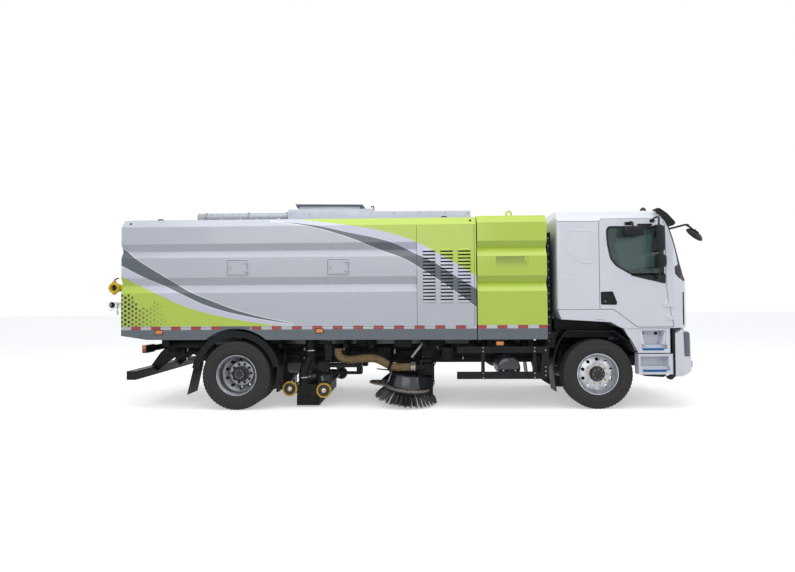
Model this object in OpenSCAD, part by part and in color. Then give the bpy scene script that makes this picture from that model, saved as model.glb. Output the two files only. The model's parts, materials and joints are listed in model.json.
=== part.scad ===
// Street sweeper truck: an 18 tonne class two axle chassis with a tilting cab, a power cabinet,
// a tipping hopper, two side brushes and a suction nozzle between the axles.
// X points forward, Y to the left, Z up. Inside the modules X counts from the front axle;
// place() moves everything so that the origin is on the ground at the middle of the length.

/* [Chassis] */
// Distance between the front and rear axles
wheelbase = 5270; // [4800:10:6400]
// Height of each frame rail
rail_h = 280; // [230:5:300]
// Height of the rails' lower edge above the ground
rail_bottom = 605; // [590:5:625]
// Width over both frame rails
rail_w = 860; // [780:10:900]
// Width of a rail's flange
rail_flange = 80; // [60:1:90]
// Plate thickness of a rail
rail_t = 8; // [6:1:12]

/* [Wheels] */
// Radius of a tyre, which is also the height of the axles
tyre_r = 505; // [490:1:515]
// Width of a tyre
tyre_w = 276; // [250:1:285]
// Radius of a rim over its flanges
rim_r = 298.5; // [290:0.5:305]
// Width of a rim over its flanges
rim_w = 225; // [200:1:235]
// Distance between the two front tyres' middles
front_track = 2070; // [2040:5:2090]
// Distance between the middles of the left and right twin wheels
rear_track = 1870; // [1860:5:1880]
// Distance between the middles of a twin wheel's two tyres
twin_pitch = 330; // [310:1:340]
// Diameter of the circle that the wheel studs stand on
stud_pcd = 285.75; // [275:0.25:335]
// Distance between the kingpins
kingpin_span = 1740; // [1700:5:1760]

/* [Cab] */
// Width of the cab over its doors
cab_w = 2480; // [2400:10:2500]
// Distance from the front axle back to the cab's rear wall
cab_back = 590; // [560:5:640]
// Height of the roof over the ground at the middle of the cab
cab_top = 2925; // [2880:5:2990]
// Thickness of the cab's walls, floor and roof
cab_wall = 60; // [40:1:70]
// Thickness of a cab door
door_t = 58; // [45:1:60]
// Gap around a cab door
door_gap = 9; // [8:1:12]
// Distance from the front axle to the front of the bumper
bumper_x = 1460; // [1440:5:1500]
// How far the front mirror stands out ahead of the bumper
mirror_reach = 180; // [140:5:220]

/* [Power cabinet] */
// Gap between the cab and the power cabinet
cabinet_gap = 147; // [120:1:200]
// Length of the power cabinet
cabinet_l = 1000; // [860:10:1200]
// Height of the power cabinet's top over the ground
cabinet_top = 2825; // [2700:5:2900]
// Depth of the grooves pressed in its sides
cabinet_groove = 80; // [40:1:90]

/* [Hopper] */
// Width of the hopper body
body_w = 2500; // [2400:10:2550]
// Height of the hopper's roof over the ground
body_top = 2805; // [2740:5:2900]
// Height of the hopper floor's underside
floor_z = 1195; // [1190:1:1230]
// Thickness of the hopper's walls with their stiffeners
body_wall = 100; // [80:1:110]
// Depth of the grooves pressed in the hopper's sides
body_groove = 60; // [30:1:70]
// Distance from the rear axle back to the hopper's rear edge
rear_overhang = 1702; // [1650:5:1800]
// Gap between the hopper and the power cabinet
body_gap = 16; // [12:1:40]
// Height of the side skirts' lower edge
skirt_z = 1020; // [1000:5:1060]
// Thickness of the tailgate
gate_t = 90; // [60:1:100]
// Length of the rear couplings behind the hopper
coupling_reach = 338; // [280:1:360]
// Width of an access hatch
hatch_w = 305; // [250:1:360]
// Height of an access hatch
hatch_h = 220; // [180:1:260]

/* [Sweeping gear] */
// Radius of a side brush over the tips of its bristles
brush_r = 475; // [420:5:480]
// Tilt of a side brush forwards, and as much outwards
brush_tilt = 6; // [0:1:8]
// Radius of the suction hoses
suction_r = 76; // [60:1:80]
// Radius of a nozzle's support wheel
caster_r = 112; // [90:1:115]
// Width of the suction nozzle
nozzle_w = 2080; // [1900:10:2120]

/* [Hidden] */
$fn = 48;

// Gap of a pair that rests or seats without a fit
seat_gap = 0.3;
// Radial clearance of a pin in its bore
pin_gap = 0.05;
// Overlap of two shapes that are one solid
lap = 1;

// Places along X, from the front axle
front_reach = bumper_x + mirror_reach;
body_rear = -(wheelbase + rear_overhang);
rear_reach = coupling_reach - body_rear;
front_axle_x = (rear_reach - front_reach) / 2;
cabinet_front = -(cab_back + cabinet_gap);
cabinet_rear = cabinet_front - cabinet_l;
body_front = cabinet_rear - body_gap;
axle_z = tyre_r;
rail_top = rail_bottom + rail_h;

// Moves a piece from the front axle's frame to the object's frame
module place() translate([front_axle_x, 0, 0]) children();

// Draws its children on the right side and mirrored on the left
module both_sides() {
    children();
    mirror([0, 1, 0]) children();
}

// Turns a piece drawn for the right side (side = -1) into the left one (side = 1)
module on_side(side) mirror([0, side > 0 ? 1 : 0, 0]) children();

// An outline in X and Z, as a slab from y0 to y1
module slab_y(y0, y1) translate([0, y1, 0]) rotate([90, 0, 0]) linear_extrude(y1 - y0) children();

// An outline in Y and Z, as a slab from x0 to x1
module slab_x(x0, x1) translate([x0, 0, 0]) rotate([90, 0, 90]) linear_extrude(x1 - x0) children();

// An outline in X and Y, as a slab from z0 to z1
module slab_z(z0, z1) translate([0, 0, z0]) linear_extrude(z1 - z0) children();

// A box given by its two corners
module box(a, b) translate(a) cube(b - a);

// A cylinder along Y from y0 to y1
module rod_y(x, z, r, y0, y1) translate([x, y1, z]) rotate([90, 0, 0]) cylinder(h = y1 - y0, r = r);

// A cylinder along X from x0 to x1
module rod_x(y, z, r, x0, x1) translate([x0, y, z]) rotate([0, 90, 0]) cylinder(h = x1 - x0, r = r);

function flip_y(points) = [for (i = [len(points) - 1:-1:0]) [-points[i][0], points[i][1]]];
function arc(cx, cy, r, a0, a1, n) = [for (i = [0:n]) [cx + r * cos(a0 + (a1 - a0) * i / n),
    cy + r * sin(a0 + (a1 - a0) * i / n)]];

// ---------------------------------------------------------------- chassis

rail_front = 1180;
rail_rear = -(wheelbase + 1370);
rail_kick = -(wheelbase + 960);
rail_kick_rise = 150;
cross_members = [rail_front - 160, -650, -1500, -2300, -3150, -(wheelbase - 900), -(wheelbase + 700)];
cross_w = 90;
cross_drop = 60;
tip_x = -(wheelbase + 1230);
tip_z = rail_top + 75;
tip_pin_r = 30;
tip_lug_r = 60;
tip_lug_t = 16;
beam_w = 100;
lug_gap = 3;
cab_pivot_x = 1330;
cab_pivot_z = 1000;
cab_pin_r = 20;
cab_lug_y = rail_w / 2 - 30;
cab_lug_t = 30;
rest_pad_h = 15;

// One C shaped rail on the right side, its flanges pointing inwards
module rail() {
    y = -rail_w / 2;
    difference() {
        slab_y(y, y + rail_flange) polygon([[rail_front, rail_bottom], [rail_front, rail_top],
            [rail_rear, rail_top], [rail_rear, rail_bottom + rail_kick_rise],
            [rail_kick, rail_bottom + rail_kick_rise], [rail_kick + 250, rail_bottom]]);
        slab_y(y + rail_t, y + rail_flange + lap) polygon([[rail_front + lap, rail_bottom + rail_t],
            [rail_front + lap, rail_top - rail_t], [rail_rear - lap, rail_top - rail_t],
            [rail_rear - lap, rail_bottom + rail_kick_rise + rail_t],
            [rail_kick, rail_bottom + rail_kick_rise + rail_t], [rail_kick + 250, rail_bottom + rail_t]]);
    }
}

// Bracket that carries the cab's tilt pivot ahead of a rail
module cab_bracket() {
    y = -cab_lug_y;
    slab_y(y - cab_lug_t / 2 - lug_gap - tip_lug_t, y - cab_lug_t / 2 - lug_gap)
        polygon([[rail_front - 220, rail_bottom + 20], [rail_front - 220, rail_top],
            [cab_pivot_x - 90, rail_top], [cab_pivot_x - 26, cab_pivot_z + 30],
            [cab_pivot_x + 26, cab_pivot_z + 30], [cab_pivot_x + 45, rail_bottom + 120],
            [cab_pivot_x - 60, rail_bottom + 20]]);
    slab_y(y + cab_lug_t / 2 + lug_gap, y + cab_lug_t / 2 + lug_gap + tip_lug_t)
        polygon([[rail_front - 40, rail_bottom + 20], [rail_front - 40, rail_top],
            [cab_pivot_x - 90, rail_top], [cab_pivot_x - 26, cab_pivot_z + 30],
            [cab_pivot_x + 26, cab_pivot_z + 30], [cab_pivot_x + 45, rail_bottom + 120],
            [cab_pivot_x - 60, rail_bottom + 20]]);
    rod_y(cab_pivot_x, cab_pivot_z, cab_pin_r, y - cab_lug_t / 2 - lug_gap - tip_lug_t,
        y + cab_lug_t / 2 + lug_gap + tip_lug_t);
}

// Lugs and pin of the hopper's tipping pivot
module tip_bracket() {
    outer = -rail_w / 2 + lug_gap - tip_lug_t;
    inner = -rail_w / 2 + lug_gap + beam_w + 2 * lug_gap;
    outline = [[tip_x - 90, rail_top - 90], [tip_x + 90, rail_top - 90], [tip_x + 55, tip_z + 45],
        [tip_x - 55, tip_z + 45]];
    slab_y(outer, outer + tip_lug_t) polygon(outline);
    slab_y(inner, inner + tip_lug_t) polygon(outline);
    rod_y(tip_x, tip_z, tip_pin_r, outer, inner + tip_lug_t);
}

module chassis_frame() {
    inner = rail_w / 2 - rail_t;
    color([0.07, 0.08, 0.09]) place() {
        both_sides() {
            rail();
            cab_bracket();
            tip_bracket();
            suction_pipe();
            // rubber rest pads under the hopper's beams
            for (x = [tip_x + 700, (tip_x + body_front) / 2, body_front - 250])
                box([x, -rail_w / 2 + 10, rail_top - lap], [x + 160, -rail_w / 2 + 90,
                    rail_top + rest_pad_h]);
        }
        for (x = cross_members)
            box([x - cross_w / 2, -inner - lap, rail_bottom + rail_kick_rise + cross_drop / 2],
                [x + cross_w / 2, inner + lap, rail_top - cross_drop]);
        // cross beam under the tipping pivot
        box([tip_x - 60, -inner - lap, rail_top - 110], [tip_x + 60, inner + lap, rail_top - 20]);
        // front cross beam that ties the cab brackets and carries the bumper
        box([cab_pivot_x - 50, -cab_lug_y - 40, rail_bottom + 60],
            [cab_pivot_x + 20, cab_lug_y + 40, rail_bottom + 160]);
        // outriggers that carry the power cabinet
        for (x = [cabinet_front - 200, cabinet_rear + 200])
            box([x - 40, -body_w / 2 + 200, rail_top - lap], [x + 40, body_w / 2 - 200, skirt_z + 70]);
        tip_foot();
    }
}

// Bearing block of the tipping cylinder between the rails
module tip_foot() {
    for (s = [-1, 1])
        slab_y(s * cyl_lug_y - 10, s * cyl_lug_y + 10) polygon([[cyl_foot_x - 90, rail_bottom + rail_kick_rise],
            [cyl_foot_x + 90, rail_bottom + rail_kick_rise], [cyl_foot_x + 40, cyl_foot_z + 50],
            [cyl_foot_x - 40, cyl_foot_z + 50]]);
    rod_y(cyl_foot_x, cyl_foot_z, cyl_pin_r, -cyl_lug_y - 10, cyl_lug_y + 10);
    box([cyl_foot_x - 90, -rail_w / 2 + rail_t - lap, rail_bottom + rail_kick_rise - 60],
        [cyl_foot_x + 90, rail_w / 2 - rail_t + lap, rail_bottom + rail_kick_rise + lap]);
}

// ---------------------------------------------------------------- axles and springs

spring_w = 76;
spring_y = rail_w / 2 + 44;
spring_leaf = 16;
beam_z = axle_z - 95;
kingpin_y = kingpin_span / 2;
kingpin_r = 22;

// A leaf spring over length l with its middle at x, clamped on the axle at height z
module leaf_spring(x, z, l, rise, leaves) {
    r = (l * l / 4 + rise * rise) / (2 * rise);
    half = asin(l / 2 / r);
    for (i = [0:leaves - 1]) {
        a = half * (1 - i * 0.22);
        ro = r + i * spring_leaf;
        slab_y(-spring_y - spring_w / 2, -spring_y + spring_w / 2)
            polygon(concat(arc(x, z + r, ro + lap / 2, 270 - a, 270 + a, 12),
                arc(x, z + r, ro - spring_leaf, 270 + a, 270 - a, 12)));
    }
}

// Hanger brackets that join a spring's ends to the rail
module spring_hangers(x, l, rise, z) {
    for (s = [-1, 1])
        slab_y(-spring_y - spring_w / 2 - 6, -rail_w / 2 - seat_gap)
            polygon([[x + s * (l / 2) - 45, z + rise - 45], [x + s * (l / 2) + 45, z + rise - 45],
                [x + s * (l / 2) + 60, rail_bottom + 110], [x + s * (l / 2) - 60, rail_bottom + 110]]);
}

module front_axle() {
    bottom = beam_z;
    color([0.1, 0.1, 0.11]) place() {
        slab_x(-55, 55) polygon([[-kingpin_y + 90, axle_z + 50], [-kingpin_y + 90, axle_z - 50],
            [-560, bottom - 75], [560, bottom - 75], [kingpin_y - 90, axle_z - 50],
            [kingpin_y - 90, axle_z + 50], [540, bottom + 35], [-540, bottom + 35]]);
        both_sides() {
            box([-38, -kingpin_y, axle_z - boss_h / 2], [38, -kingpin_y + 95, axle_z + boss_h / 2]);
            translate([0, -kingpin_y, axle_z - boss_h / 2]) cylinder(h = boss_h, r = boss_r);
            translate([0, -kingpin_y, axle_z - 145]) cylinder(h = 290, r = kingpin_r);
            leaf_spring(0, bottom + 35 + spring_leaf * 3, 1500, 105, 3);
            spring_hangers(0, 1500, 105, bottom + 35 + spring_leaf * 3);
            box([-90, -spring_y - 50, bottom + 20], [90, -spring_y + 50, bottom + 52]);
        }
    }
}

stub_r = 48;

module rear_axle() {
    z = axle_z;
    x = -wheelbase;
    inner = rear_track / 2 - twin_pitch / 2 - tyre_w / 2 - 30;
    color([0.1, 0.1, 0.11]) place() {
        rod_y(x, z, 85, -inner, inner);
        translate([x, 0, z]) sphere(r = 235);
        rod_x(0, z, 110, x, x + 330);
        rod_x(0, z, 40, x + 320, x + 520 - seat_gap);
        both_sides() {
            rod_y(x, z, stub_r, -twin_mid - 15, -inner + lap);
            leaf_spring(x, z + 85 - 8 + spring_leaf * 4, 1500, 85, 4);
            spring_hangers(x, 1500, 85, z + 77 + spring_leaf * 4);
            box([x - 95, -spring_y - 50, z + 40], [x + 95, -spring_y + 50, z + 95]);
        }
    }
}

module drive_motor() {
    x = -wheelbase + 520;
    color([0.35, 0.37, 0.4]) place() {
        rod_x(0, rail_bottom - 20, 190, x, x + 560);
        box([x + 60, -230, rail_bottom - 20], [x + 480, 230, rail_bottom + 165]);
    }
}

// ---------------------------------------------------------------- wheels

disc_t = 14;
hub_bore_r = 110.4;
well_r = 262;
bead_gap = 0.3;
hand_holes = 10;
hand_hole_pcr = 212;
hand_hole_r = 25;
web_r = rim_r - 30;

// Half section of a rim: flange, bead seat, well, bead seat, flange; radius then axial place
rim_section = [[rim_r, -rim_w / 2], [rim_r, -rim_w / 2 + 14], [rim_r - 18, -rim_w / 2 + 22],
    [rim_r - 22, -35], [well_r + 10, -18], [well_r + 10, 18], [rim_r - 22, 35],
    [rim_r - 18, rim_w / 2 - 22], [rim_r, rim_w / 2 - 14], [rim_r, rim_w / 2],
    [rim_r - 12, rim_w / 2], [rim_r - 34, rim_w / 2 - 30], [rim_r - 34, 42], [well_r - 4, 24],
    [well_r - 4, -24], [rim_r - 34, -42], [rim_r - 34, -rim_w / 2 + 30], [rim_r - 12, -rim_w / 2]];

// A ring along Y through the wheel's middle; its section is radius then place towards the outside
module wheel_turn(x, y, section, side) translate([x, side * y, axle_z])
    rotate([-90 * side, 0, 0]) rotate_extrude($fn = 96) polygon(section);

// A rim with its disc; disc is the disc's place outwards from the rim's middle
module rim(x, y, disc, web_dish, side) {
    wheel_turn(x, y, rim_section, side);
    translate([x, side * y, axle_z]) rotate([-90 * side, 0, 0]) difference() {
        union() {
            translate([0, 0, disc]) cylinder(h = disc_t, r = stud_pcd / 2 + 35, $fn = 96);
            // dished web from the bolting face out to the rim's well
            rotate_extrude($fn = 96) polygon([[stud_pcd / 2 + 20, disc],
                [stud_pcd / 2 + 34, disc], [web_r, disc * web_dish],
                [web_r, disc * web_dish + disc_t], [stud_pcd / 2 + 34, disc + disc_t],
                [stud_pcd / 2 + 20, disc + disc_t]]);
        }
        translate([0, 0, disc - lap]) cylinder(h = disc_t + 2 * lap, r = hub_bore_r, $fn = 96);
        for (i = [0:hand_holes - 1]) rotate([0, 0, (i + 0.5) * 360 / hand_holes])
            translate([hand_hole_pcr, 0, -rim_w]) cylinder(h = 2 * rim_w, r = hand_hole_r);
    }
}

// Half section of a tyre, with rounded shoulders and a flat bead seat on the rim
tyre_bulge = tyre_w / 2;
tread_w = tyre_w / 2 - 14;
tyre_section = concat(
    [[rim_r - 21.6, 0], [rim_r - 21.6, 36], [rim_r - 17.6 + bead_gap, rim_w / 2 - 23],
        [rim_r + bead_gap, rim_w / 2 - 14 - bead_gap], [rim_r + bead_gap + 12, rim_w / 2 + 4]],
    [[rim_r + 60, tyre_bulge - 4], [rim_r + 110, tyre_bulge], [tyre_r - 55, tyre_bulge - 4]],
    arc(tyre_r - 26, tread_w - 20, 26, 70, 12, 4),
    [[tyre_r, 0]]);

module tyre(x, y, side) {
    full = concat(tyre_section, [for (i = [len(tyre_section) - 2:-1:1])
        [tyre_section[i][0], -tyre_section[i][1]]]);
    wheel_turn(x, y, full, side);
}

front_y = front_track / 2;
twin_mid = rear_track / 2;
twin_y = [twin_mid + twin_pitch / 2, twin_mid - twin_pitch / 2];
front_disc = 58;
hub_r = 118;
front_hub_in = 70;
front_cap_r = 92;
front_cap_h = 62;
rear_hub_in = 42;
rear_hub_out = 125;
rear_cap_r = 82;
rear_dish = 0.5;

// A hub through a wheel's disc: solid outside, bored for the stub axle from inside
module hub(x, y0, y1, bore_end, r, side) {
    difference() {
        rod_y(x, axle_z, r, side > 0 ? y0 : -y1, side > 0 ? y1 : -y0);
        rod_y(x, axle_z, stub_r + pin_gap, side > 0 ? y0 - lap : -bore_end, side > 0 ? bore_end : -y0 + lap);
    }
}

module front_rim(side) color([0.78, 0.8, 0.83]) place() {
    disc_y = front_y + front_disc;
    rim(0, front_y, front_disc, 0.35, side);
    hub(0, disc_y - front_hub_in, disc_y + disc_t, disc_y - 10, hub_r, side);
    rod_y(0, axle_z, front_cap_r, side > 0 ? disc_y + disc_t - lap : -disc_y - front_cap_h,
        side > 0 ? disc_y + front_cap_h : -disc_y - disc_t + lap);
}

module front_tyre(side) color([0.1, 0.1, 0.1]) place() tyre(0, front_y, side);

// Twin rims: the two discs are bolted back to back on one hub
module rear_rims(side) color([0.7, 0.72, 0.76]) place() {
    x = -wheelbase;
    rim(x, twin_y[0], -twin_pitch / 2, rear_dish, side);
    rim(x, twin_y[1], twin_pitch / 2 - disc_t, rear_dish, side);
    hub(x, twin_mid - rear_hub_in, twin_mid + rear_hub_out - 40, twin_mid + 40, hub_r, side);
    rod_y(x, axle_z, rear_cap_r, side > 0 ? twin_mid + 20 : -twin_mid - rear_hub_out,
        side > 0 ? twin_mid + rear_hub_out : -twin_mid - 20);
}

module rear_tyres(side) color([0.1, 0.1, 0.1]) place() {
    tyre(-wheelbase, twin_y[0], side);
    tyre(-wheelbase, twin_y[1], side);
}

// ---------------------------------------------------------------- steering

boss_r = 42;
boss_h = 120;
eye_gap = 2;
knuckle_eye_h = 70;
knuckle_eye_r = 46;
yoke_in = 50;
yoke_t = 32;
track_arm = 190;
tie_pin_r = 12;
tie_z = axle_z - 150;
arm_z = axle_z - boss_h / 2 - eye_gap - 45;

// A steering knuckle: two eyes on the kingpin, a yoke, the wheel's stub and the track rod arm
module knuckle(side) color([0.16, 0.16, 0.17]) place() on_side(side) {
    y = -kingpin_y;
    low = axle_z - boss_h / 2 - eye_gap - knuckle_eye_h;
    high = axle_z + boss_h / 2 + eye_gap;
    difference() {
        union() {
            for (z = [low, high]) {
                translate([0, y, z]) cylinder(h = knuckle_eye_h, r = knuckle_eye_r);
                box([-38, y - yoke_in - yoke_t, z], [38, y, z + knuckle_eye_h]);
            }
            box([-46, y - yoke_in - yoke_t, low], [46, y - yoke_in, high + knuckle_eye_h]);
            rod_y(0, axle_z, stub_r, -front_y - front_disc + 24, y - yoke_in - lap);
            box([-track_arm, y - 22, arm_z], [0, y + 22, arm_z + 30]);
            translate([-track_arm, y, arm_z]) cylinder(h = 30, r = 26);
        }
        translate([0, y, low - lap]) cylinder(h = 400, r = kingpin_r + pin_gap);
        translate([-track_arm, y, arm_z - lap]) cylinder(h = 40, r = tie_pin_r + pin_gap);
    }
}

module tie_rod() color([0.12, 0.12, 0.13]) place() {
    rod_y(-track_arm, tie_z, 20, -kingpin_y - tie_pin_r, kingpin_y + tie_pin_r);
    both_sides() translate([-track_arm, -kingpin_y, tie_z]) cylinder(h = arm_z + 36 - tie_z, r = tie_pin_r);
}

// ---------------------------------------------------------------- cab

cab_y = cab_w / 2;
cab_floor = 1173;
cab_seam = 1450;

// Outline of the cab seen from the side, drawn in by t
function cab_side(t) = [[-cab_back + t, cab_seam - 0.2 * t], [-cab_back + 56 + 0.8 * t, 1304 + t],
    [165, 1261 + t], [300, cab_floor + 12 + t], [330, cab_floor + t], [1328 - t, cab_floor + t],
    [1375 - t, 1250 + 0.3 * t], [1385 - t, 1600], [1372 - t, 1790 - 0.4 * t],
    [1300 - 0.8 * t, 1872 - 0.8 * t], [1250 - 1.1 * t, 1930 - 0.3 * t], [1187 - 1.05 * t, 2070],
    [1002 - 1.05 * t, 2638], [975 - 1.05 * t, 2705], [925 - t, 2810 - 0.4 * t],
    [860 - 0.6 * t, cab_top - 35 - 0.9 * t], [760 - 0.3 * t, cab_top - t],
    [-cab_back + 70 + 0.3 * t, cab_top - t], [-cab_back + 30 + 0.8 * t, cab_top - 45 - 0.7 * t],
    [-cab_back + t, 2780 - 0.4 * t]];

// Half outline of the cab seen from above (X, Y), drawn in by t
function cab_plan_half(t) = [[1410 - t, 0], [1400 - t, 600], [1375 - t, 880 - 0.2 * t],
    [1340 - 0.9 * t, cab_y - 240 - 0.5 * t], [1280 - 0.8 * t, cab_y - 150 - 0.7 * t],
    [1200 - 0.6 * t, cab_y - 75 - 0.9 * t], [1120 - 0.3 * t, cab_y - 25 - t], [1062, cab_y - t],
    [-cab_back + 35 + 0.4 * t, cab_y - t], [-cab_back + 8 + 0.8 * t, cab_y - 12 - 0.9 * t],
    [-cab_back + t, cab_y - 40 - 0.6 * t]];
function mirrored_y(half) = concat(half, [for (i = [len(half) - 1:-1:0]) [half[i][0], -half[i][1]]]);

// Half outline of the cab seen from the front (Y, Z), drawn in by t
function cab_front_half(t) = [[cab_y - t, 400], [cab_y - t, 2720], [cab_y - 14 - t, 2738],
    [cab_y - 60 - 0.9 * t, 2802 - 0.3 * t], [cab_y - 120 - 0.6 * t, 2858 - 0.8 * t],
    [cab_y - 215 - 0.3 * t, 2890 - t], [cab_y - 440, 2912 - t], [0, cab_top - t]];

module cab_volume(t) intersection() {
    slab_y(-cab_y - lap, cab_y + lap) polygon(cab_side(t));
    slab_z(1000, cab_top + 100) polygon(mirrored_y(cab_plan_half(t)));
    slab_x(-cab_back - 10, 1500) polygon(concat(cab_front_half(t), flip_y(cab_front_half(t))));
}

door_rear = 17;
door_front = 1046;
door_low = 1192;
hinge_x = 1052;
hinge_y = cab_y + 3;
hinge_pin_r = 5;
hinge_knuckle_r = 9;
hinge_h = 60;
// Hinges of a door: height and where the door's front edge is there
hinges = [[1290, 1021], [1476, 984]];

// Outline of a cab door seen from the side; g widens it
function door_outline(g) = [[door_rear - g, cab_seam - g], [197, cab_seam - g], [276 - 0.4 * g, 1402 - 0.9 * g],
    [530 - 0.4 * g, door_low + 10 - g], [556, door_low - g], [door_front + g, door_low - g],
    [door_front + g, 1230], [978 + g, 1573], [954 + g, 1816], [948 + g, 2640], [905 + 0.6 * g, 2735 + 0.8 * g],
    [870, 2748 + g], [62, 2748 + g], [door_rear + 6, 2718 + g], [door_rear - g, 2700]];
window_outline = [[121, 2586], [129, 2430], [137, 2353], [176, 2170], [254, 2069], [468, 1944],
    [925, 1941], [918, 2560], [900, 2627], [152, 2635]];

screen_low = 2076;
screen_high = 2626;
screen_half = 1085;
function screen_outline(g) = [[-screen_half + g, screen_low + 40], [-screen_half + g + 40, screen_low + g],
    [screen_half - g - 40, screen_low + g], [screen_half - g, screen_low + 40],
    [screen_half - g - 45, screen_high - 50], [screen_half - g - 110, screen_high - g],
    [-screen_half + g + 110, screen_high - g], [-screen_half + g + 45, screen_high - 50]];

seat_x = 60;
seat_y = 560;
seat_floor = 1318;

module cab_shell() color([0.88, 0.9, 0.93]) place() {
    difference() {
        cab_volume(0);
        cab_volume(cab_wall);
        both_sides() slab_y(-cab_y - 20, -cab_y + door_t + 1.5) polygon(door_outline(door_gap));
        slab_x(800, 1300) polygon(screen_outline(0));
        both_sides() for (h = hinges) translate([hinge_x, -hinge_y, h[0] - 2])
            cylinder(h = hinge_h + 4, r = hinge_knuckle_r + 3);
        both_sides() slab_y(-cab_y + door_t, -cab_y + cab_wall + 60) polygon([[door_rear + 40, 1500],
            [300, 1500], [600, 1262], [950, 1262], [900, 1816], [880, 2600], [door_rear + 40, 2600]]);
    }
    // lower front panel and the lugs of the tilt pivot
    difference() {
        box([1326, -860, 1012], [1372, 860, cab_floor + 30]);
        both_sides() box([1320, -cab_lug_y - 45, 1000], [1380, -cab_lug_y + 45, cab_pivot_z + 56]);
    }
    both_sides() difference() {
        slab_y(-cab_lug_y - cab_lug_t / 2, -cab_lug_y + cab_lug_t / 2) lug_outline();
        rod_y(cab_pivot_x, cab_pivot_z, cab_pin_r + pin_gap, -cab_lug_y - cab_lug_t, -cab_lug_y + cab_lug_t);
    }
    // door hinge pins in their ears
    both_sides() for (h = hinges) {
        translate([hinge_x, -hinge_y, h[0] - 14]) cylinder(h = hinge_h + 28, r = hinge_pin_r);
        for (z = [h[0] - 14, h[0] + hinge_h + 2]) translate([hinge_x, -hinge_y, z])
            cylinder(h = 12, r = hinge_knuckle_r);
    }
    // seat pedestals
    both_sides() box([seat_x + 30, -seat_y - 170, seat_floor - 45], [seat_x + 400, -seat_y + 170, seat_floor + 240]);
}

// Outline of the cab's pivot lug
module lug_outline() {
    translate([cab_pivot_x, cab_pivot_z]) circle(r = cab_pin_r + 16);
    polygon([[cab_pivot_x - cab_pin_r - 16, cab_pivot_z], [cab_pivot_x + cab_pin_r + 16, cab_pivot_z],
        [cab_pivot_x - 6, cab_floor + 10], [cab_pivot_x - 90, cab_floor + 10]]);
}

module windscreen() color([0.2, 0.28, 0.32, 0.6]) place() intersection() {
    slab_y(-cab_y, cab_y) polygon([[1187 - 30, 2070], [1187 - 24, 2070], [1002 - 24, 2638], [1002 - 30, 2638]]);
    slab_x(800, 1300) polygon(screen_outline(seat_gap));
}

wheel_x = 690;
wheel_y = 540;
wheel_z = 1960;

module dashboard() color([0.13, 0.14, 0.15]) place() {
    difference() {
        slab_y(-1150, 1150) polygon([[1060, cab_floor + cab_wall + seat_gap], [1130, cab_floor + cab_wall + seat_gap],
            [1130, 1800], [1050, 1935], [840, 1925], [800, 1880], [830, 1700], [1000, 1500]]);
        both_sides() slab_z(1200, 2000) polygon([[1000, -1180], [1150, -1180], [1150, -1040]]);
    }
    translate([wheel_x, wheel_y, wheel_z]) rotate([0, -28, 0]) {
        rotate_extrude($fn = 64) translate([215, 0]) circle(r = 17, $fn = 24);
        for (a = [90, 210, 330]) rotate([0, 0, a]) translate([20, -22, -12]) cube([195, 44, 18]);
        translate([0, 0, -30]) cylinder(h = 40, r = 62);
        translate([0, 0, -330]) cylinder(h = 310, r = 36);
    }
}

// One seat: cushion, back and head rest in one closed soft solid
module seat() {
    w = 250;
    slab_y(-seat_y - w, -seat_y + w) polygon([[seat_x + 30, seat_floor + 240 + seat_gap],
        [seat_x + 480, seat_floor + 240 + seat_gap], [seat_x + 505, seat_floor + 330],
        [seat_x + 470, seat_floor + 385], [seat_x + 110, seat_floor + 360], [seat_x + 10, seat_floor + 960],
        [seat_x - 90, seat_floor + 960], [seat_x - 110, seat_floor + 900], [seat_x - 10, seat_floor + 290]]);
    slab_y(-seat_y - 130, -seat_y + 130) polygon([[seat_x - 75, seat_floor + 950], [seat_x - 10, seat_floor + 950],
        [seat_x - 28, seat_floor + 1150], [seat_x - 60, seat_floor + 1170], [seat_x - 105, seat_floor + 1140]]);
}

module seats() color([0.2, 0.21, 0.23]) place() both_sides() seat();

step_rear = 551;
step_front = 1003;
step_top = cab_floor - seat_gap;
step_low = 817;
step_out = cab_y - 10;
step_depth = 225;

// A step box: a recess over a tread ledge, open to the outside
module step_box(x0, x1, z0, z1) difference() {
    box([x0, -step_out, z0], [x1, -step_out + step_depth, z1]);
    box([x0 + 28, -step_out - lap, z0 + 115], [x1 - 60, -step_out + step_depth - 45, z1 - 35]);
    box([x0 + 50, -step_out - lap, z0 + 60], [x1 - 40, -step_out + 60, z0 + 116]);
}

module cab_steps() color([0.88, 0.9, 0.93]) place() both_sides() {
    step_box(step_rear, step_front, step_low, step_top);
    slab_y(-step_out, -step_out + 50) polygon([[345, step_top], [443, 996], [520, 858], [540, 825], [552, step_low],
        [step_rear + 30, step_low], [step_rear + 30, step_top]]);
}

mirror_z = 2539;
mirror_x = front_reach - 123.3;

// The front mirror on its arm at the roof's right front corner
module front_mirror() color([0.16, 0.17, 0.18]) place() {
    y = -930;
    // bracket down the roof's front corner
    slab_y(y - 45, y + 45) polygon([[927.5, 2808], [975.5, 2706], [1003, 2640], [1060, 2640], [1120, 2700],
        [1165, 2719], [1150, 2745], [1000, 2870], [919, 2912], [862, cab_top - 32]]);
    swept_tube([[1090, y, 2680], [1120, y, 2648], [1160, y, 2636], [1280, y, 2664], [1380, y, 2689],
        [1412, y, 2688], [1450, y, 2660], [1487, y - 10, 2622], [mirror_x + 15, y - 15, mirror_z + 30]], 13, 10);
    // shell leaning forwards, outwards and up
    translate([mirror_x, y, mirror_z]) rotate([0, 45.6, -50.7]) rotate_extrude($fn = 64)
        polygon([[0, -10], [128, -10], [135, -2], [135, 6], [124, 22], [90, 42], [0, 56]]);
}

// ---------------------------------------------------------------- doors

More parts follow.
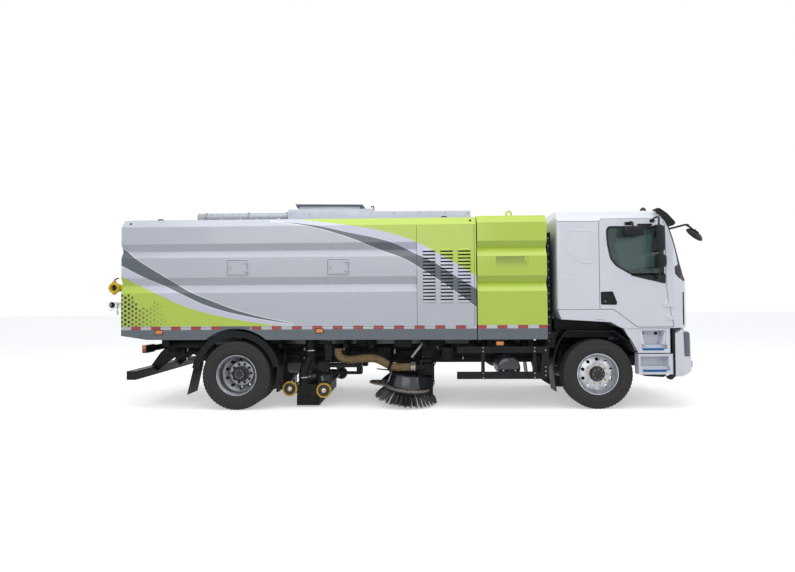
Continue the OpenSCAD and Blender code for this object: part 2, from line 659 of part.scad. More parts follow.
// Places a door in closed position: children are drawn for the right side
module door(side) color([0.88, 0.9, 0.93]) place() on_side(side) {
    difference() {
        slab_y(-cab_y, -cab_y + door_t) polygon(door_outline(0));
        slab_y(-cab_y - lap, -cab_y + door_t + lap) polygon(window_outline);
        // trough behind the outer handle
        slab_y(-cab_y - lap, -cab_y + 24) polygon([[38, 1521], [245, 1517], [250, 1544], [193, 1693], [35, 1688]]);
    }
    // outer handle across its trough
    slab_y(-cab_y + 2, -cab_y + 14) polygon([[30, 1640], [215, 1640], [228, 1600], [30, 1600]]);
    // hinge straps and knuckles
    for (h = hinges) difference() {
        union() {
            translate([hinge_x, -hinge_y, h[0]]) cylinder(h = hinge_h, r = hinge_knuckle_r);
            box([h[1] - 10, -hinge_y - 6, h[0]], [hinge_x, -cab_y - 1.5, h[0] + hinge_h]);
            box([h[1] - 70, -hinge_y - 6, h[0]], [h[1] - 9, -cab_y + lap, h[0] + hinge_h]);
        }
        translate([hinge_x, -hinge_y, h[0] - lap]) cylinder(h = hinge_h + 2 * lap, r = hinge_pin_r + pin_gap);
    }
}

module door_glass(side) color([0.2, 0.28, 0.32, 0.6]) place() on_side(side)
    slab_y(-cab_y + 22, -cab_y + 28) glass_outline();

// The window outline drawn in by the seat gap
module glass_outline() {
    cx = 560;
    cz = 2290;
    polygon([for (p = window_outline) [p[0] + (p[0] < cx ? seat_gap : -seat_gap),
        p[1] + (p[1] < cz ? seat_gap : -seat_gap)]]);
}

// The main mirror, the wide angle mirror below it and the kerb mirror over the window
module mirrors(side) color([0.15, 0.16, 0.18]) place() on_side(side) {
    y = -cab_y;
    out = y - 150;
    box([735, out - 90, 2252], [868, out + 90, 2632]);
    box([804, out - 66, 2030], [930, out + 94, 2228]);
    swept_tube([[770, y - 6, 2712], [780, y - 60, 2745], [800, out, 2740], [802, out, 2620]], 13, 10);
    swept_tube([[820, out + 10, 2270], [850, out + 10, 2200]], 13, 10);
    swept_tube([[862, out, 2050], [850, out + 30, 1990], [835, y - 60, 1900], [820, y - 6, 1880]], 13, 10);
    box([360, y - 175, 2512], [600, y - 70, 2602]);
    swept_tube([[435, y - 6, 2680], [440, y - 60, 2690], [455, y - 110, 2660], [460, y - 115, 2598]], 13, 10);
    box([400, y - 12, 2655], [470, y - seat_gap, 2705]);
    box([735, y - 12, 2690], [805, y - seat_gap, 2735]);
    box([790, y - 12, 1850], [850, y - seat_gap, 1910]);
}

// A tube swept along points, closed at both ends
module swept_tube(path, r, sides) {
    n = len(path);
    ring = [for (i = [0:n - 1]) let(
        t = unit(path[min(i + 1, n - 1)] - path[max(i - 1, 0)]),
        u = unit(cross(t, abs(t[1]) < 0.9 ? [0, 1, 0] : [1, 0, 0])),
        v = cross(t, u)) for (j = [0:sides - 1])
        path[i] + r * (cos(360 * j / sides) * u + sin(360 * j / sides) * v)];
    walls = [for (i = [0:n - 2]) for (j = [0:sides - 1]) [i * sides + j, (i + 1) * sides + j,
        (i + 1) * sides + (j + 1) % sides, i * sides + (j + 1) % sides]];
    caps = [[for (j = [0:sides - 1]) j], [for (j = [sides - 1:-1:0]) (n - 1) * sides + j]];
    polyhedron(points = ring, faces = concat(walls, caps), convexity = 6);
}
function unit(v) = v / norm(v);

// A smooth path through points, with k steps a stretch
function smooth(p, k) = [for (i = [0:len(p) - 2]) for (j = [0:k - 1]) let(
    a = p[max(i - 1, 0)], b = p[i], c = p[i + 1], d = p[min(i + 2, len(p) - 1)], t = j / k)
    0.5 * (2 * b + (c - a) * t + (2 * a - 5 * b + 4 * c - d) * t * t
        + (3 * b - a - 3 * c + d) * t * t * t), p[len(p) - 1]];

// ---------------------------------------------------------------- bumper, lamps and lower steps

bumper_top = 940;
bumper_low = 480;
bumper_in = 890;
bumper_t = 60;
bumper_back = 1388;

// Half outline of the bumper seen from above, drawn in by t
function bumper_plan_half(t) = [[bumper_x - t, 0], [bumper_x - 8 - t, 600], [bumper_x - 25 - t, 900],
    [bumper_x - 50 - t, 1000], [bumper_x - 115 - t, 1100], [bumper_x - 185 - t, 1150 - 0.5 * t],
    [bumper_x - 280 - t, 1200 - 0.7 * t], [1076, cab_y - 4 - t]];
function bumper_corner(t) = [[1074, bumper_low + t], [1074, 1090 - t], [1124, 1112 - t], [1175, 1143 - t],
    [1268, 1132 - t], [1345, 1096 - t], [1378 - t, 1010], [1402 - t, 743], [1460 - t, 690],
    [1460 - t, 590 - 0.2 * t], [1400 - t, 545], [1189, bumper_low - 6 + t]];

module bumper_plan(t) slab_z(300, 1300)
    polygon(mirrored_y(concat(bumper_plan_half(t), [[1000, cab_y - 4 - t]])));

module bumper_corners(t) intersection() {
    bumper_plan(t);
    both_sides() slab_y(-cab_y, -bumper_in - t) polygon(bumper_corner(t));
}

module bumper_middle() intersection() {
    bumper_plan(0);
    slab_y(-bumper_in - lap, bumper_in + lap) polygon([[bumper_back, 545], [bumper_back, bumper_top],
        [1440, bumper_top], [1460, bumper_top - 60], [1460, 590], [1400, 545]]);
}

// The corner region that the head lamps fill, drawn in by g
module lamp_region(g) both_sides() slab_y(-cab_y, -945 - g) polygon([[1212 + g, 1112 - g], [1500, 1112 - g],
    [1500, 748 + g], [1226 + g, 757 + g]]);

module front_bumper() color([0.88, 0.9, 0.93]) place() {
    difference() {
        union() {
            bumper_corners(0);
            bumper_middle();
        }
        translate([-lap, 0, 0]) bumper_corners(bumper_t);
        lamp_region(0);
    }
    // stays from the front cross beam
    both_sides() box([cab_pivot_x + 20 + seat_gap, -330, rail_bottom + 70],
        [bumper_back + lap, -300, rail_bottom + 150]);
}

module lamps() place() {
    color([0.1, 0.12, 0.14]) intersection() {
        bumper_corners(6);
        lamp_region(seat_gap);
    }
    color([0.8, 0.25, 0.1]) both_sides() {
        box([tail_x - 60, -1140, tail_z - 75], [tail_x - 2, -860, tail_z + 45]);
    }
}

lower_step_low = 509;
lower_step_top = 802;
// Reach of a steered tyre's outer edge round its kingpin
swing_r = norm([tyre_r, front_y + tyre_w / 2 - kingpin_y]) + 8;
module lower_steps() color([0.88, 0.9, 0.93]) place() both_sides() {
    difference() {
        step_box(step_rear + 1, 1038, lower_step_low, lower_step_top);
        translate([0, -kingpin_y, lower_step_low - lap]) cylinder(h = lower_step_top, r = swing_r, $fn = 96);
    }
    // arm out from the rail
    box([850, -step_out + step_depth - lap, 640], [930, -rail_w / 2 - seat_gap, 720]);
}

// ---------------------------------------------------------------- guards, fenders and rear bar

guard_y = 1210;
guard_rear = -2034;
guard_low = 445;
guard_t = 34;
guard_posts = [-1662, -920];

module side_guards() color([0.06, 0.07, 0.08]) place() both_sides() {
    box([guard_rear, -guard_y, guard_low], [cabinet_front, -guard_y + guard_t, guard_low + 105]);
    box([guard_rear, -guard_y, 822], [cabinet_front, -guard_y + guard_t, 915]);
    for (x = guard_posts) {
        box([x - 24, -guard_y + 6, guard_low], [x + 24, -guard_y + 60, 915]);
        box([x - 24, -guard_y + 6, 790], [x + 24, -rail_w / 2 - seat_gap, 850]);
    }
    // end plate behind the front wheel
    box([-815, -guard_y, 466], [-715, -guard_y + 20, 915]);
    box([-815, -guard_y, 822], [cabinet_front - 60, -guard_y + guard_t, 915]);
}

fender_r = 645;
fender_t = 15;
fender_lip = 566;
fender_in = 890;
fender_out = 1232;

// Front wheel's mudguard seen from the side: a bent band with its flap
function front_guard_line(d) = [[455 + d, 905], [390 + 0.7 * d, 1010 + 0.6 * d], [240, 1125 + d], [-440, 1140 + d],
    [-500 - 0.7 * d, 1080 + 0.4 * d], [-585 - d, 930 + 0.4 * d], [-640 - d, 755], [-645 - d, 560],
    [-612 - d, 263]];

module wheel_fenders() color([0.07, 0.07, 0.08]) place() both_sides() {
    x = -wheelbase;
    // rear: half ring with an outer lip
    for (band = [[fender_r - fender_t, -fender_out, -fender_in], [fender_lip, -fender_out, -fender_out + 14]])
        slab_y(band[1], band[2]) polygon(concat(arc(x, axle_z, fender_r, 13, 170, 40),
            arc(x, axle_z, band[0], 170, 13, 40)));
    // rear: flaps
    slab_y(-fender_out, -fender_in) polygon([[x - 622, 655], [x - 604, 655], [x - 700, 235], [x - 722, 225]]);
    slab_y(-fender_out, -fender_in) polygon([[x + 608, 660], [x + 626, 660], [x + 614, 262], [x + 596, 262]]);
    for (a = [28, 156])
        rod_y(x + (fender_r - 8) * cos(a), axle_z + (fender_r - 8) * sin(a), 7, -fender_in - 100,
            -rail_w / 2 - seat_gap);
    // front
    slab_y(-1185, -890) polygon(concat(front_guard_line(8), [for (i = [len(front_guard_line(0)) - 1:-1:0])
        front_guard_line(-8)[i]]));
    rod_y(-612, 842, 16, -900, -rail_w / 2 - seat_gap);
}

tail_x = rail_rear - 5;
tail_z = 905;

module underrun_bar() color([0.06, 0.07, 0.08]) place() {
    // cross bar that carries the tail lamps
    box([tail_x - 2 + seat_gap, -1150, tail_z - 60], [tail_x + 5 - seat_gap, 1150, tail_z + 30]);
    box([body_rear + 35, -1150, 435], [body_rear + 175, 1150, 565]);
    both_sides() {
        slab_y(-rail_w / 2 - seat_gap - 14, -rail_w / 2 - seat_gap) polygon([[rail_rear + 240, 788],
            [rail_rear + 30, 788], [rail_rear + 30, 870], [tail_x - 2 + seat_gap, 870],
            [body_rear + 227, 784], [body_rear + 87, 595], [body_rear + 52, 540], [body_rear + 152, 460],
            [rail_rear + 40, 640], [rail_rear + 240, 768]]);
    }
}

tank_x = -1264;
tank_z = 590;
tank_r = 160;
module air_tank() color([0.12, 0.13, 0.14]) place() both_sides() {
    rod_y(tank_x, tank_z, tank_r, -1060, -520);
    // cradle from the rail
    box([tank_x - 30, -560, rail_bottom + 60], [tank_x + 30, -rail_w / 2 - seat_gap, rail_bottom + 130]);
}

// ---------------------------------------------------------------- power cabinet

cabinet_floor = skirt_z + 70;
function groove(w, zb, zm, zt, d) = [[w, zb], [w - d, zm], [w, zt]];
function side_section(w, low, top, grooves) = concat([[w, low]],
    [for (g = grooves) for (p = groove(w, g[0], g[1], g[2], g[3])) p], [[w, top - 110], [w - 100, top]]);
cabinet_grooves = [[1717, 1831, 1940, cabinet_groove], [2227, 2346, 2446, cabinet_groove]];
cabinet_wall = 60;
eye_r = 50;
eye_hole_r = 25;
eye_z = cabinet_top + 46;
eye_y = body_w / 2 - 250;
eye_t = 20;

module power_cabinet() color([0.77, 0.87, 0.33]) place() {
    w = body_w / 2;
    half = side_section(w, skirt_z, cabinet_top, cabinet_grooves);
    difference() {
        slab_x(cabinet_rear, cabinet_front) polygon(concat(half, flip_y(half)));
        box([cabinet_rear + cabinet_wall, -w + cabinet_groove + 40, cabinet_floor + cabinet_wall],
            [cabinet_front - cabinet_wall, w - cabinet_groove - 40, cabinet_top - cabinet_wall * 2]);
        box([cabinet_rear - lap, -w + 30, skirt_z - lap], [cabinet_front + lap, w - 30, cabinet_floor + seat_gap]);
    }
    both_sides() difference() {
        slab_y(-eye_y - eye_t / 2, -eye_y + eye_t / 2) {
            translate([(cabinet_front + cabinet_rear) / 2, eye_z]) circle(r = eye_r);
            translate([(cabinet_front + cabinet_rear) / 2 - eye_r, cabinet_top - lap]) square([2 * eye_r, 48]);
        }
        rod_y((cabinet_front + cabinet_rear) / 2, eye_z, eye_hole_r, -eye_y - 20, -eye_y + 20);
    }
}

module battery_pack() color([0.3, 0.32, 0.34]) place()
    box([cabinet_rear + cabinet_wall + 30, -body_w / 2 + 270, cabinet_floor + cabinet_wall + seat_gap],
        [cabinet_front - cabinet_wall - 30, body_w / 2 - 270, cabinet_top - 520]);

// ---------------------------------------------------------------- hopper

body_y = body_w / 2;
groove_end = body_front - 859;
hopper_grooves = [[1720, 1833, 1944, body_groove], [2236, 2339, 2441, body_groove]];
bulkhead_x = body_rear + 3700;
arch_r = 690;
skirt_t = 30;
hatch_z = 2085;
hatch_rear_x = -(wheelbase - 28);
hatch_front_x = -(wheelbase - 1508);
hatch_t = 22;
hatch_gap = 5;
hatch_pin_r = 5;
hatch_lug = 8;
hatch_knuckle_r = 7;
gate_y = body_y - body_wall - 7;
gate_hinge_x = body_rear - 24;
gate_hinge_z = body_top - 42;
gate_low = floor_z + body_wall + 12;
gate_high = body_top - body_wall - 7;
beam_low = rail_top + rest_pad_h + seat_gap;

module hopper_body() color([0.77, 0.79, 0.82]) place() {
    half = side_section(body_y, floor_z, body_top, hopper_grooves);
    plain = side_section(body_y, floor_z, body_top, []);
    difference() {
        union() {
            slab_x(body_rear, groove_end) polygon(concat(half, flip_y(half)));
            slab_x(groove_end - lap, body_front) polygon(concat(plain, flip_y(plain)));
        }
        // load space and the front compartment
        box([body_rear - lap, -body_y + body_wall, floor_z + body_wall],
            [bulkhead_x, body_y - body_wall, body_top - body_wall]);
        box([bulkhead_x + body_wall, -body_y + body_wall, floor_z + body_wall],
            [body_front - body_wall, body_y - body_wall, body_top - body_wall]);
        both_sides() for (x = [hatch_rear_x, hatch_front_x])
            box([x - hatch_w / 2, -body_y - lap, hatch_z - hatch_h / 2],
                [x + hatch_w / 2, -body_y + body_wall + lap, hatch_z + hatch_h / 2]);
    }
    both_sides() {
        // side skirt with the wheel arch cut out
        difference() {
            slab_y(-body_y, -body_y + skirt_t) polygon([[body_rear, floor_z + lap], [body_front, floor_z + lap],
                [body_front, skirt_z], [body_rear + 390, skirt_z + 14], [body_rear, skirt_z + 75]]);
            rod_y(-wheelbase, axle_z, arch_r, -body_y - lap, -body_y + skirt_t + lap);
        }
        // tipping beam that rests on the rail and turns on the rear pivot
        difference() {
            slab_y(-rail_w / 2 + lug_gap * 2, -rail_w / 2 + beam_w) union() {
                polygon([[tip_x, beam_low], [body_front - 40, beam_low], [body_front - 40, floor_z + lap],
                    [tip_x - 30, floor_z + lap], [tip_x - tip_lug_r + 4, tip_z + 20]]);
                translate([tip_x, tip_z]) circle(r = tip_z - beam_low);
            }
            rod_y(tip_x, tip_z, tip_pin_r + pin_gap, -rail_w / 2 - lap, -rail_w / 2 + beam_w + lap);
        }
        // hinge barrels of the hatches
        for (x = [hatch_rear_x, hatch_front_x]) for (z = [-62, 62])
            hatch_barrel(x, z, 0);
    }
    // cross members under the floor
    for (x = [body_front - 300, body_front - 1900, -wheelbase + 470, tip_x + 260])
        box([x - 40, -rail_w / 2 + beam_w - lap, floor_z - 90], [x + 40, rail_w / 2 - beam_w + lap, floor_z + lap]);
    tip_eye_bracket();
    // hinge lugs of the tailgate, over the rear edge
    for (y = [-860, 0, 860])
        difference() {
            slab_y(y - 28, y + 28) union() {
                polygon([[body_rear + 60, body_top - 30], [body_rear + 60, body_top + 14],
                    [gate_hinge_x - 6, body_top + 14], [gate_hinge_x - 17, gate_hinge_z],
                    [gate_hinge_x, gate_hinge_z - 17], [body_rear + lap, gate_hinge_z - 17]]);
                translate([gate_hinge_x, gate_hinge_z]) circle(r = 17);
            }
            rod_y(gate_hinge_x, gate_hinge_z, 10 + pin_gap, y - 31, y + 31);
        }
}

// Barrel of a hatch hinge with its arm to the wall; up is the half that it takes, 0 wall and 1 leaf
module hatch_barrel(x, z, up) {
    px = x + hatch_w / 2 + 12;
    py = -body_y - hatch_lug;
    z0 = hatch_z + z + (up == 1 ? 0.5 : -20);
    difference() {
        union() {
            translate([px, py, z0]) cylinder(h = 19.5, r = hatch_knuckle_r);
            if (up == 1) box([px - 34, py - 4, z0], [px, py + 3, z0 + 19.5]);
            else box([px - 1, py, z0], [px + hatch_lug, py + hatch_lug + lap, z0 + 19.5]);
        }
        if (up == 1) translate([px, py, z0 - lap]) cylinder(h = 22, r = hatch_pin_r + pin_gap);
    }
    if (up == 0) translate([px, py, z0]) cylinder(h = 38, r = hatch_pin_r);
}

module hatch(side, x) color([0.75, 0.77, 0.8]) place() on_side(side) {
    box([x - hatch_w / 2 + hatch_gap, -body_y, hatch_z - hatch_h / 2 + hatch_gap],
        [x + hatch_w / 2 - hatch_gap, -body_y + hatch_t, hatch_z + hatch_h / 2 - hatch_gap]);
    for (z = [-62, 62]) {
        hatch_barrel(x, z, 1);
        box([x + hatch_w / 2 - 60, -body_y - 12, hatch_z + z + 0.5], [x + hatch_w / 2 - 8, -body_y + lap,
            hatch_z + z + 20]);
    }
    // latch boss
    rod_y(x - hatch_w / 2 + 40, hatch_z, 14, -body_y - 8, -body_y + lap);
}

pipe_y = -400;
pipe_z = 2968;
pipe_r = 68;
duct_rear = -(wheelbase - 636);
duct_front = body_front - 12;
duct_top = 2992;

// Pipes, duct and hood on the hopper's roof
module roof_duct() color([0.72, 0.75, 0.78]) place() {
    z = body_top + seat_gap;
    rod_x(pipe_y, pipe_z, pipe_r, duct_rear - 1495, duct_rear + 200);
    for (x = [duct_rear - 1400, duct_rear - 950, duct_rear - 500])
        box([x - 30, pipe_y - 50, z], [x + 30, pipe_y + 50, pipe_z - 20]);
    box([duct_rear, -640, z], [duct_front, -120, duct_top]);
    box([duct_rear - 1980, pipe_y - 160, z], [duct_rear - 1790, pipe_y + 160, z + 120]);
    // hood over the fan outlet
    slab_y(-560, -60) polygon([[duct_rear + 60, duct_top - lap], [duct_rear + 1060, duct_top - lap],
        [duct_rear + 1089, 3060], [duct_rear + 1089, 3160], [duct_rear + 31, 3172], [duct_rear + 31, 3080]]);
    slab_y(-420, -300) polygon([[duct_rear + 1293, duct_top - lap], [duct_rear + 1615, duct_top - lap],
        [duct_rear + 1600, 3052], [duct_rear + 1300, 3056]]);
}

// Tailgate inside the hopper's rear frame, hinged at its top
module tailgate() color([0.77, 0.79, 0.82]) place() {
    difference() {
        box([body_rear, -gate_y, gate_low], [body_rear + gate_t, gate_y, gate_high]);
        // shallow panels between the ribs
        for (y = [-1, 0, 1]) for (z = [0, 1])
            box([body_rear - lap, y * 740 - 330, gate_low + 90 + z * 680],
                [body_rear + 24, y * 740 + 330, gate_low + 660 + z * 680]);
    }
    for (y = [-860, 0, 860]) for (s = [-1, 1])
        slab_y(y + s * 52 - 18, y + s * 52 + 18) union() {
            polygon([[body_rear + lap, gate_high - 160], [body_rear - 34, gate_high - 120],
                [gate_hinge_x - 17, gate_hinge_z], [gate_hinge_x + 17, gate_hinge_z],
                [body_rear - 7, gate_high - 30], [body_rear + lap, gate_high - 40]]);
            translate([gate_hinge_x, gate_hinge_z]) circle(r = 17);
        }
    for (y = [-860, 0, 860]) rod_y(gate_hinge_x, gate_hinge_z, 10, y - 70, y + 70);
}

ring_y = -gate_y + 243;
ring_z = 1810;
outlet_z = 1549;
outlet_r = 52;
outlet_bore_r = 40;
gate_face = body_rear + 24;

// Water valve with its yellow ring, and the silver outlet, on the tailgate
module rear_couplings() color([0.85, 0.75, 0.1]) place() {
    x1 = gate_face - seat_gap;
    // valve
    difference() {
        union() {
            rod_x(ring_y, ring_z, 62, body_rear - 150, x1);
            rod_x(ring_y, ring_z, 88, body_rear - 222, body_rear - 148);
        }
        rod_x(ring_y, ring_z, 45, body_rear - 230, body_rear - 120);
    }
    slab_x(body_rear - 175, body_rear - 150) polygon([[ring_y - 14, ring_z + 80], [ring_y + 14, ring_z + 80],
        [ring_y + 14, ring_z + 150], [ring_y - 14, ring_z + 150]]);
    // outlet
    difference() {
        union() {
            rod_x(ring_y, outlet_z, outlet_r, body_rear - coupling_reach, x1);
            rod_x(ring_y, outlet_z, outlet_r + 18, body_rear - 130, body_rear - 100);
        }
        rod_x(ring_y, outlet_z, outlet_bore_r, body_rear - coupling_reach - lap, body_rear - 60);
    }
}

// ---------------------------------------------------------------- tipping cylinder

cyl_pin_r = 18;
cyl_foot_x = -(wheelbase - 1370);
cyl_foot_z = rail_bottom + rail_kick_rise + 60;
cyl_eye_x = tip_x + 800;
cyl_eye_z = floor_z - 75;
cyl_r = 52;
cyl_rod_r = 32;
cyl_lug_y = 68;
cyl_len = norm([cyl_eye_x - cyl_foot_x, cyl_eye_z - cyl_foot_z]);
cyl_angle = atan2(cyl_eye_z - cyl_foot_z, cyl_foot_x - cyl_eye_x);

// Open cradle under the hopper's floor that the rod's pin pushes into
module tip_eye_bracket() difference() {
    for (s = [-1, 1]) slab_y(s * cyl_lug_y - 10, s * cyl_lug_y + 10) polygon([[cyl_eye_x - 60, floor_z + lap],
        [cyl_eye_x + 110, floor_z + lap], [cyl_eye_x + 60, cyl_eye_z - 40], [cyl_eye_x, cyl_eye_z - 40],
        [cyl_eye_x - 60, cyl_eye_z + 30]]);
    rod_y(cyl_eye_x, cyl_eye_z, cyl_pin_r + seat_gap, -100, 100);
    box([cyl_eye_x - 100, -100, cyl_eye_z - 60], [cyl_eye_x, 100, cyl_eye_z + cyl_pin_r + seat_gap]);
}

// Places children whose +Z runs from the cylinder's foot to its eye
module along_cylinder() translate([cyl_foot_x, 0, cyl_foot_z]) rotate([0, cyl_angle - 90, 0]) children();

module tip_barrel() color([0.15, 0.15, 0.17]) place() along_cylinder() difference() {
    union() {
        translate([0, 0, 40]) cylinder(h = cyl_len - 130, r = cyl_r);
        rotate([90, 0, 0]) cylinder(h = 100, r = 44, center = true);
    }
    rotate([90, 0, 0]) cylinder(h = 102, r = cyl_pin_r + pin_gap, center = true);
    translate([0, 0, 90]) cylinder(h = cyl_len, r = cyl_rod_r + 0.1);
}

module tip_rod() color([0.75, 0.77, 0.8]) place() along_cylinder() {
    union() {
        translate([0, 0, 100]) cylinder(h = cyl_len - 120, r = cyl_rod_r);
        translate([0, 0, cyl_len]) rotate([90, 0, 0]) cylinder(h = 100, r = 38, center = true);
        translate([0, 0, cyl_len]) rotate([90, 0, 0]) cylinder(h = 2 * cyl_lug_y + 20, r = cyl_pin_r, center = true);
    }
}

// ---------------------------------------------------------------- sweeping gear

suction_x = -4230;
suction_y = 900;
suction_base_x = -4334;
nozzle_top = 335;
spout_top = 430;

// Steel pipe under the hopper's floor that the suction hose hangs on
module suction_pipe() {
    rod_z(suction_x, -suction_y, suction_r, 850, floor_z - 6);
    rod_z(suction_x, -suction_y, suction_r + 22, floor_z - 26, floor_z - 6);
    box([suction_x - 40, -suction_y, 930], [suction_x + 40, -rail_w / 2 - 8, 970]);
    box([suction_x - 40, -rail_w / 2 - 12, rail_top - 60], [suction_x + 40, -rail_w / 2 + lap, 970]);
}

// A cylinder along Z from z0 to z1
module rod_z(x, y, r, z0, z1) translate([x, y, z0]) cylinder(h = z1 - z0, r = r);

module suction_hoses() color([0.09, 0.09, 0.1]) place() both_sides()
    swept_tube(smooth([[suction_base_x, -suction_y, spout_top + seat_gap], [suction_base_x, -suction_y, 470],
        [suction_base_x, -suction_y, 515], [-4300, -suction_y, 610], [-4255, -suction_y, 700],
        [suction_x, -suction_y, 770], [suction_x, -suction_y, 810],
        [suction_x, -suction_y, 850 - seat_gap]], 3), suction_r, 16);

hose_y = 950;
hose_r = 62;
hose_end = -2635;

module sweep_hoses() color([0.55, 0.46, 0.33]) place() both_sides()
    swept_tube(smooth([[-3800, -hose_y, 878], [-3800, -hose_y, 850], [-3800, -hose_y, 820], [-3785, -hose_y, 765],
        [-3725, -hose_y, 722],
        [-3620, -hose_y, 702], [-3460, -hose_y, 720], [-3310, -hose_y, 728], [-3200, -hose_y, 704],
        [-3100, -hose_y, 655], [-3015, -hose_y, 612], [-2920, -hose_y, 592], [-2820, -hose_y, 590],
        [-2730, -hose_y, 590], [hose_end, -hose_y, 590]], 3), hose_r, 12);

post_x = -2400;
post_y = 620;
post_r = 34;
post_low = 300;
arm_low = 318;
arm_h = 52;
sleeve_top = 600;
brush_x = -2790;
brush_y = 770;
brush_z = 95;
spindle_r = 20;

// Brackets under the frame: brush posts, hose ends and the nozzle's guide bars
module brush_posts() color([0.08, 0.09, 0.1]) place() both_sides() {
    rod_z(post_x, -post_y, post_r, post_low - 12, 770);
    rod_z(post_x, -post_y, post_r + 22, post_low - 14, post_low);
    box([post_x - 50, -post_y - 60, 640], [post_x + 50, -rail_w / 2 - seat_gap, 770]);
    // hose fitting and its plate
    rod_x(-hose_y, 590, hose_r - 8, hose_end + seat_gap, hose_end + 120);
    box([hose_end + 60, -hose_y - 40, 590], [hose_end + 90, -hose_y + 40, 700]);
    box([hose_end + 60, -hose_y + 30, 660], [post_x, -post_y, 700]);
    // bracket at the hose's upper end
    box([-3860, -hose_y - 62, 878 + seat_gap], [-3740, -rail_w / 2 - seat_gap, 878 + seat_gap + 5]);
    // guide bars of the nozzle
    difference() {
        box([guide_x - 60, -guide_y - 40, 444], [-3480, -guide_y + 40, 484]);
        rod_z(guide_x, -guide_y, guide_r + pin_gap, 440, 490);
    }
    box([-3560, -guide_y - 40, 444], [-3480, -rail_w / 2 - seat_gap, 700]);
}

// Side brush's arm: sleeve on the post, cover plate with its dome, and the motor
module brush_arm(side) color([0.2, 0.22, 0.26]) place() on_side(side) {
    difference() {
        union() {
            rod_z(post_x, -post_y, post_r + 24, arm_low, sleeve_top);
            slab_z(arm_low, arm_low + arm_h) polygon([[post_x + 20, -post_y - 55], [post_x + 20, -post_y + 55],
                [brush_x + 120, -brush_y + 90], [brush_x + 120, -brush_y - 90]]);
            brush_frame() {
                translate([0, 0, 190]) cylinder(h = 60, r = 330, $fn = 96);
                translate([0, 0, 249]) cylinder(h = 136, r1 = 300, r2 = 252, $fn = 96);
                translate([0, 0, 190]) linear_extrude(50) polygon([[-300, -200], [-300, 200], [-500, 40],
                    [-530, 0], [-500, -50]]);
                translate([0, 0, 384]) cylinder(h = 20, r = 80);
                translate([0, 0, 152]) cylinder(h = 39, r = spindle_r);
            }
        }
        rod_z(post_x, -post_y, post_r + pin_gap, arm_low - lap, sleeve_top + lap);
    }
}

// Children drawn about a side brush's own axis, with z = 0 at the bristles' tips
module brush_frame() translate([brush_x, -brush_y, brush_z]) rotate([brush_tilt, brush_tilt, 0]) children();

module brush(side) color([0.08, 0.08, 0.09]) place() on_side(side) brush_frame() {
    rotate_extrude($fn = 96) polygon([[spindle_r + pin_gap, 150], [spindle_r + pin_gap, 184], [345, 184],
        [brush_r - 60, 90], [brush_r, 0], [brush_r - 110, 0], [260, 150]]);
}

guide_x = -4180;
guide_y = 600;
guide_r = 20;
caster_front_x = -4013;
caster_front_z = 254;
caster_rear_x = -4525;
caster_rear_z = 280;
caster_y = nozzle_w / 2 - 40;
caster_w = 50;
caster_shaft_r = 15;
box_half = nozzle_w / 2 - 110;

module nozzle() color([0.12, 0.13, 0.14]) place() {
    difference() {
        slab_y(-box_half, box_half) polygon([[-4420, 170], [-4110, 150], [-4110, 200], [-4170, 300],
            [-4250, nozzle_top], [-4400, nozzle_top], [-4420, 300]]);
        slab_y(-box_half + 40, box_half - 40) polygon([[-4395, 160], [-4135, 140], [-4135, 195], [-4190, 275],
            [-4265, nozzle_top - 30], [-4380, nozzle_top - 30], [-4395, 290]]);
    }
    both_sides() {
        rod_z(suction_base_x, -suction_y, suction_r, nozzle_top - 20, spout_top);
        rod_z(guide_x, -guide_y, guide_r, 290, 640);
        // cheek plate with the casters' bearings
        difference() {
            slab_y(-box_half - 24, -box_half) polygon([[caster_rear_x - 40, caster_rear_z + 30],
                [caster_rear_x - 25, caster_rear_z - 35], [caster_rear_x + 60, caster_rear_z - 30], [-4400, 170],
                [-4110, 150], [caster_front_x - 40, caster_front_z - 30], [caster_front_x + 25, caster_front_z - 35],
                [caster_front_x + 38, caster_front_z + 25], [caster_front_x - 60, 330], [-4380, 340]]);
            rod_y(caster_front_x, caster_front_z, caster_shaft_r + pin_gap, -box_half - 30, -box_half + 5);
            rod_y(caster_rear_x, caster_rear_z, caster_shaft_r + pin_gap, -box_half - 30, -box_half + 5);
        }
        // mudguards over the casters
        for (c = [[caster_rear_x, caster_rear_z], [caster_front_x, caster_front_z]])
            box([c[0] - 75, -caster_y - 30, c[1] + caster_r + 8], [c[0] + 75, -box_half - 10, c[1] + caster_r + 18]);
        box([caster_rear_x + 30, -box_half - 24, caster_rear_z], [caster_rear_x + 60, -box_half,
            caster_rear_z + caster_r + 10]);
        box([caster_front_x - 60, -box_half - 24, caster_front_z], [caster_front_x - 30, -box_half,
            caster_front_z + caster_r + 10]);
    }
}

module caster_pair(x, z) {
    both_sides() rotate_wheel(x, z);
    rod_y(x, z, caster_shaft_r, -caster_y - 34, caster_y + 34);
}

module rotate_wheel(x, z) translate([x, -caster_y, z]) rotate([90, 0, 0]) rotate_extrude($fn = 64)
    polygon([[0, -16], [30, -20], [60, -14], [caster_r - 24, -14], [caster_r - 20, -caster_w / 2],
        [caster_r - 5, -caster_w / 2], [caster_r, -18], [caster_r, 18], [caster_r - 5, caster_w / 2],
        [caster_r - 20, caster_w / 2], [caster_r - 24, 14], [60, 14], [30, 20], [0, 30]]);

module nozzle_wheels_front() color([0.85, 0.7, 0.15]) place() caster_pair(caster_front_x, caster_front_z);
module nozzle_wheels_rear() color([0.85, 0.7, 0.15]) place() caster_pair(caster_rear_x, caster_rear_z);

// ---------------------------------------------------------------- nodes

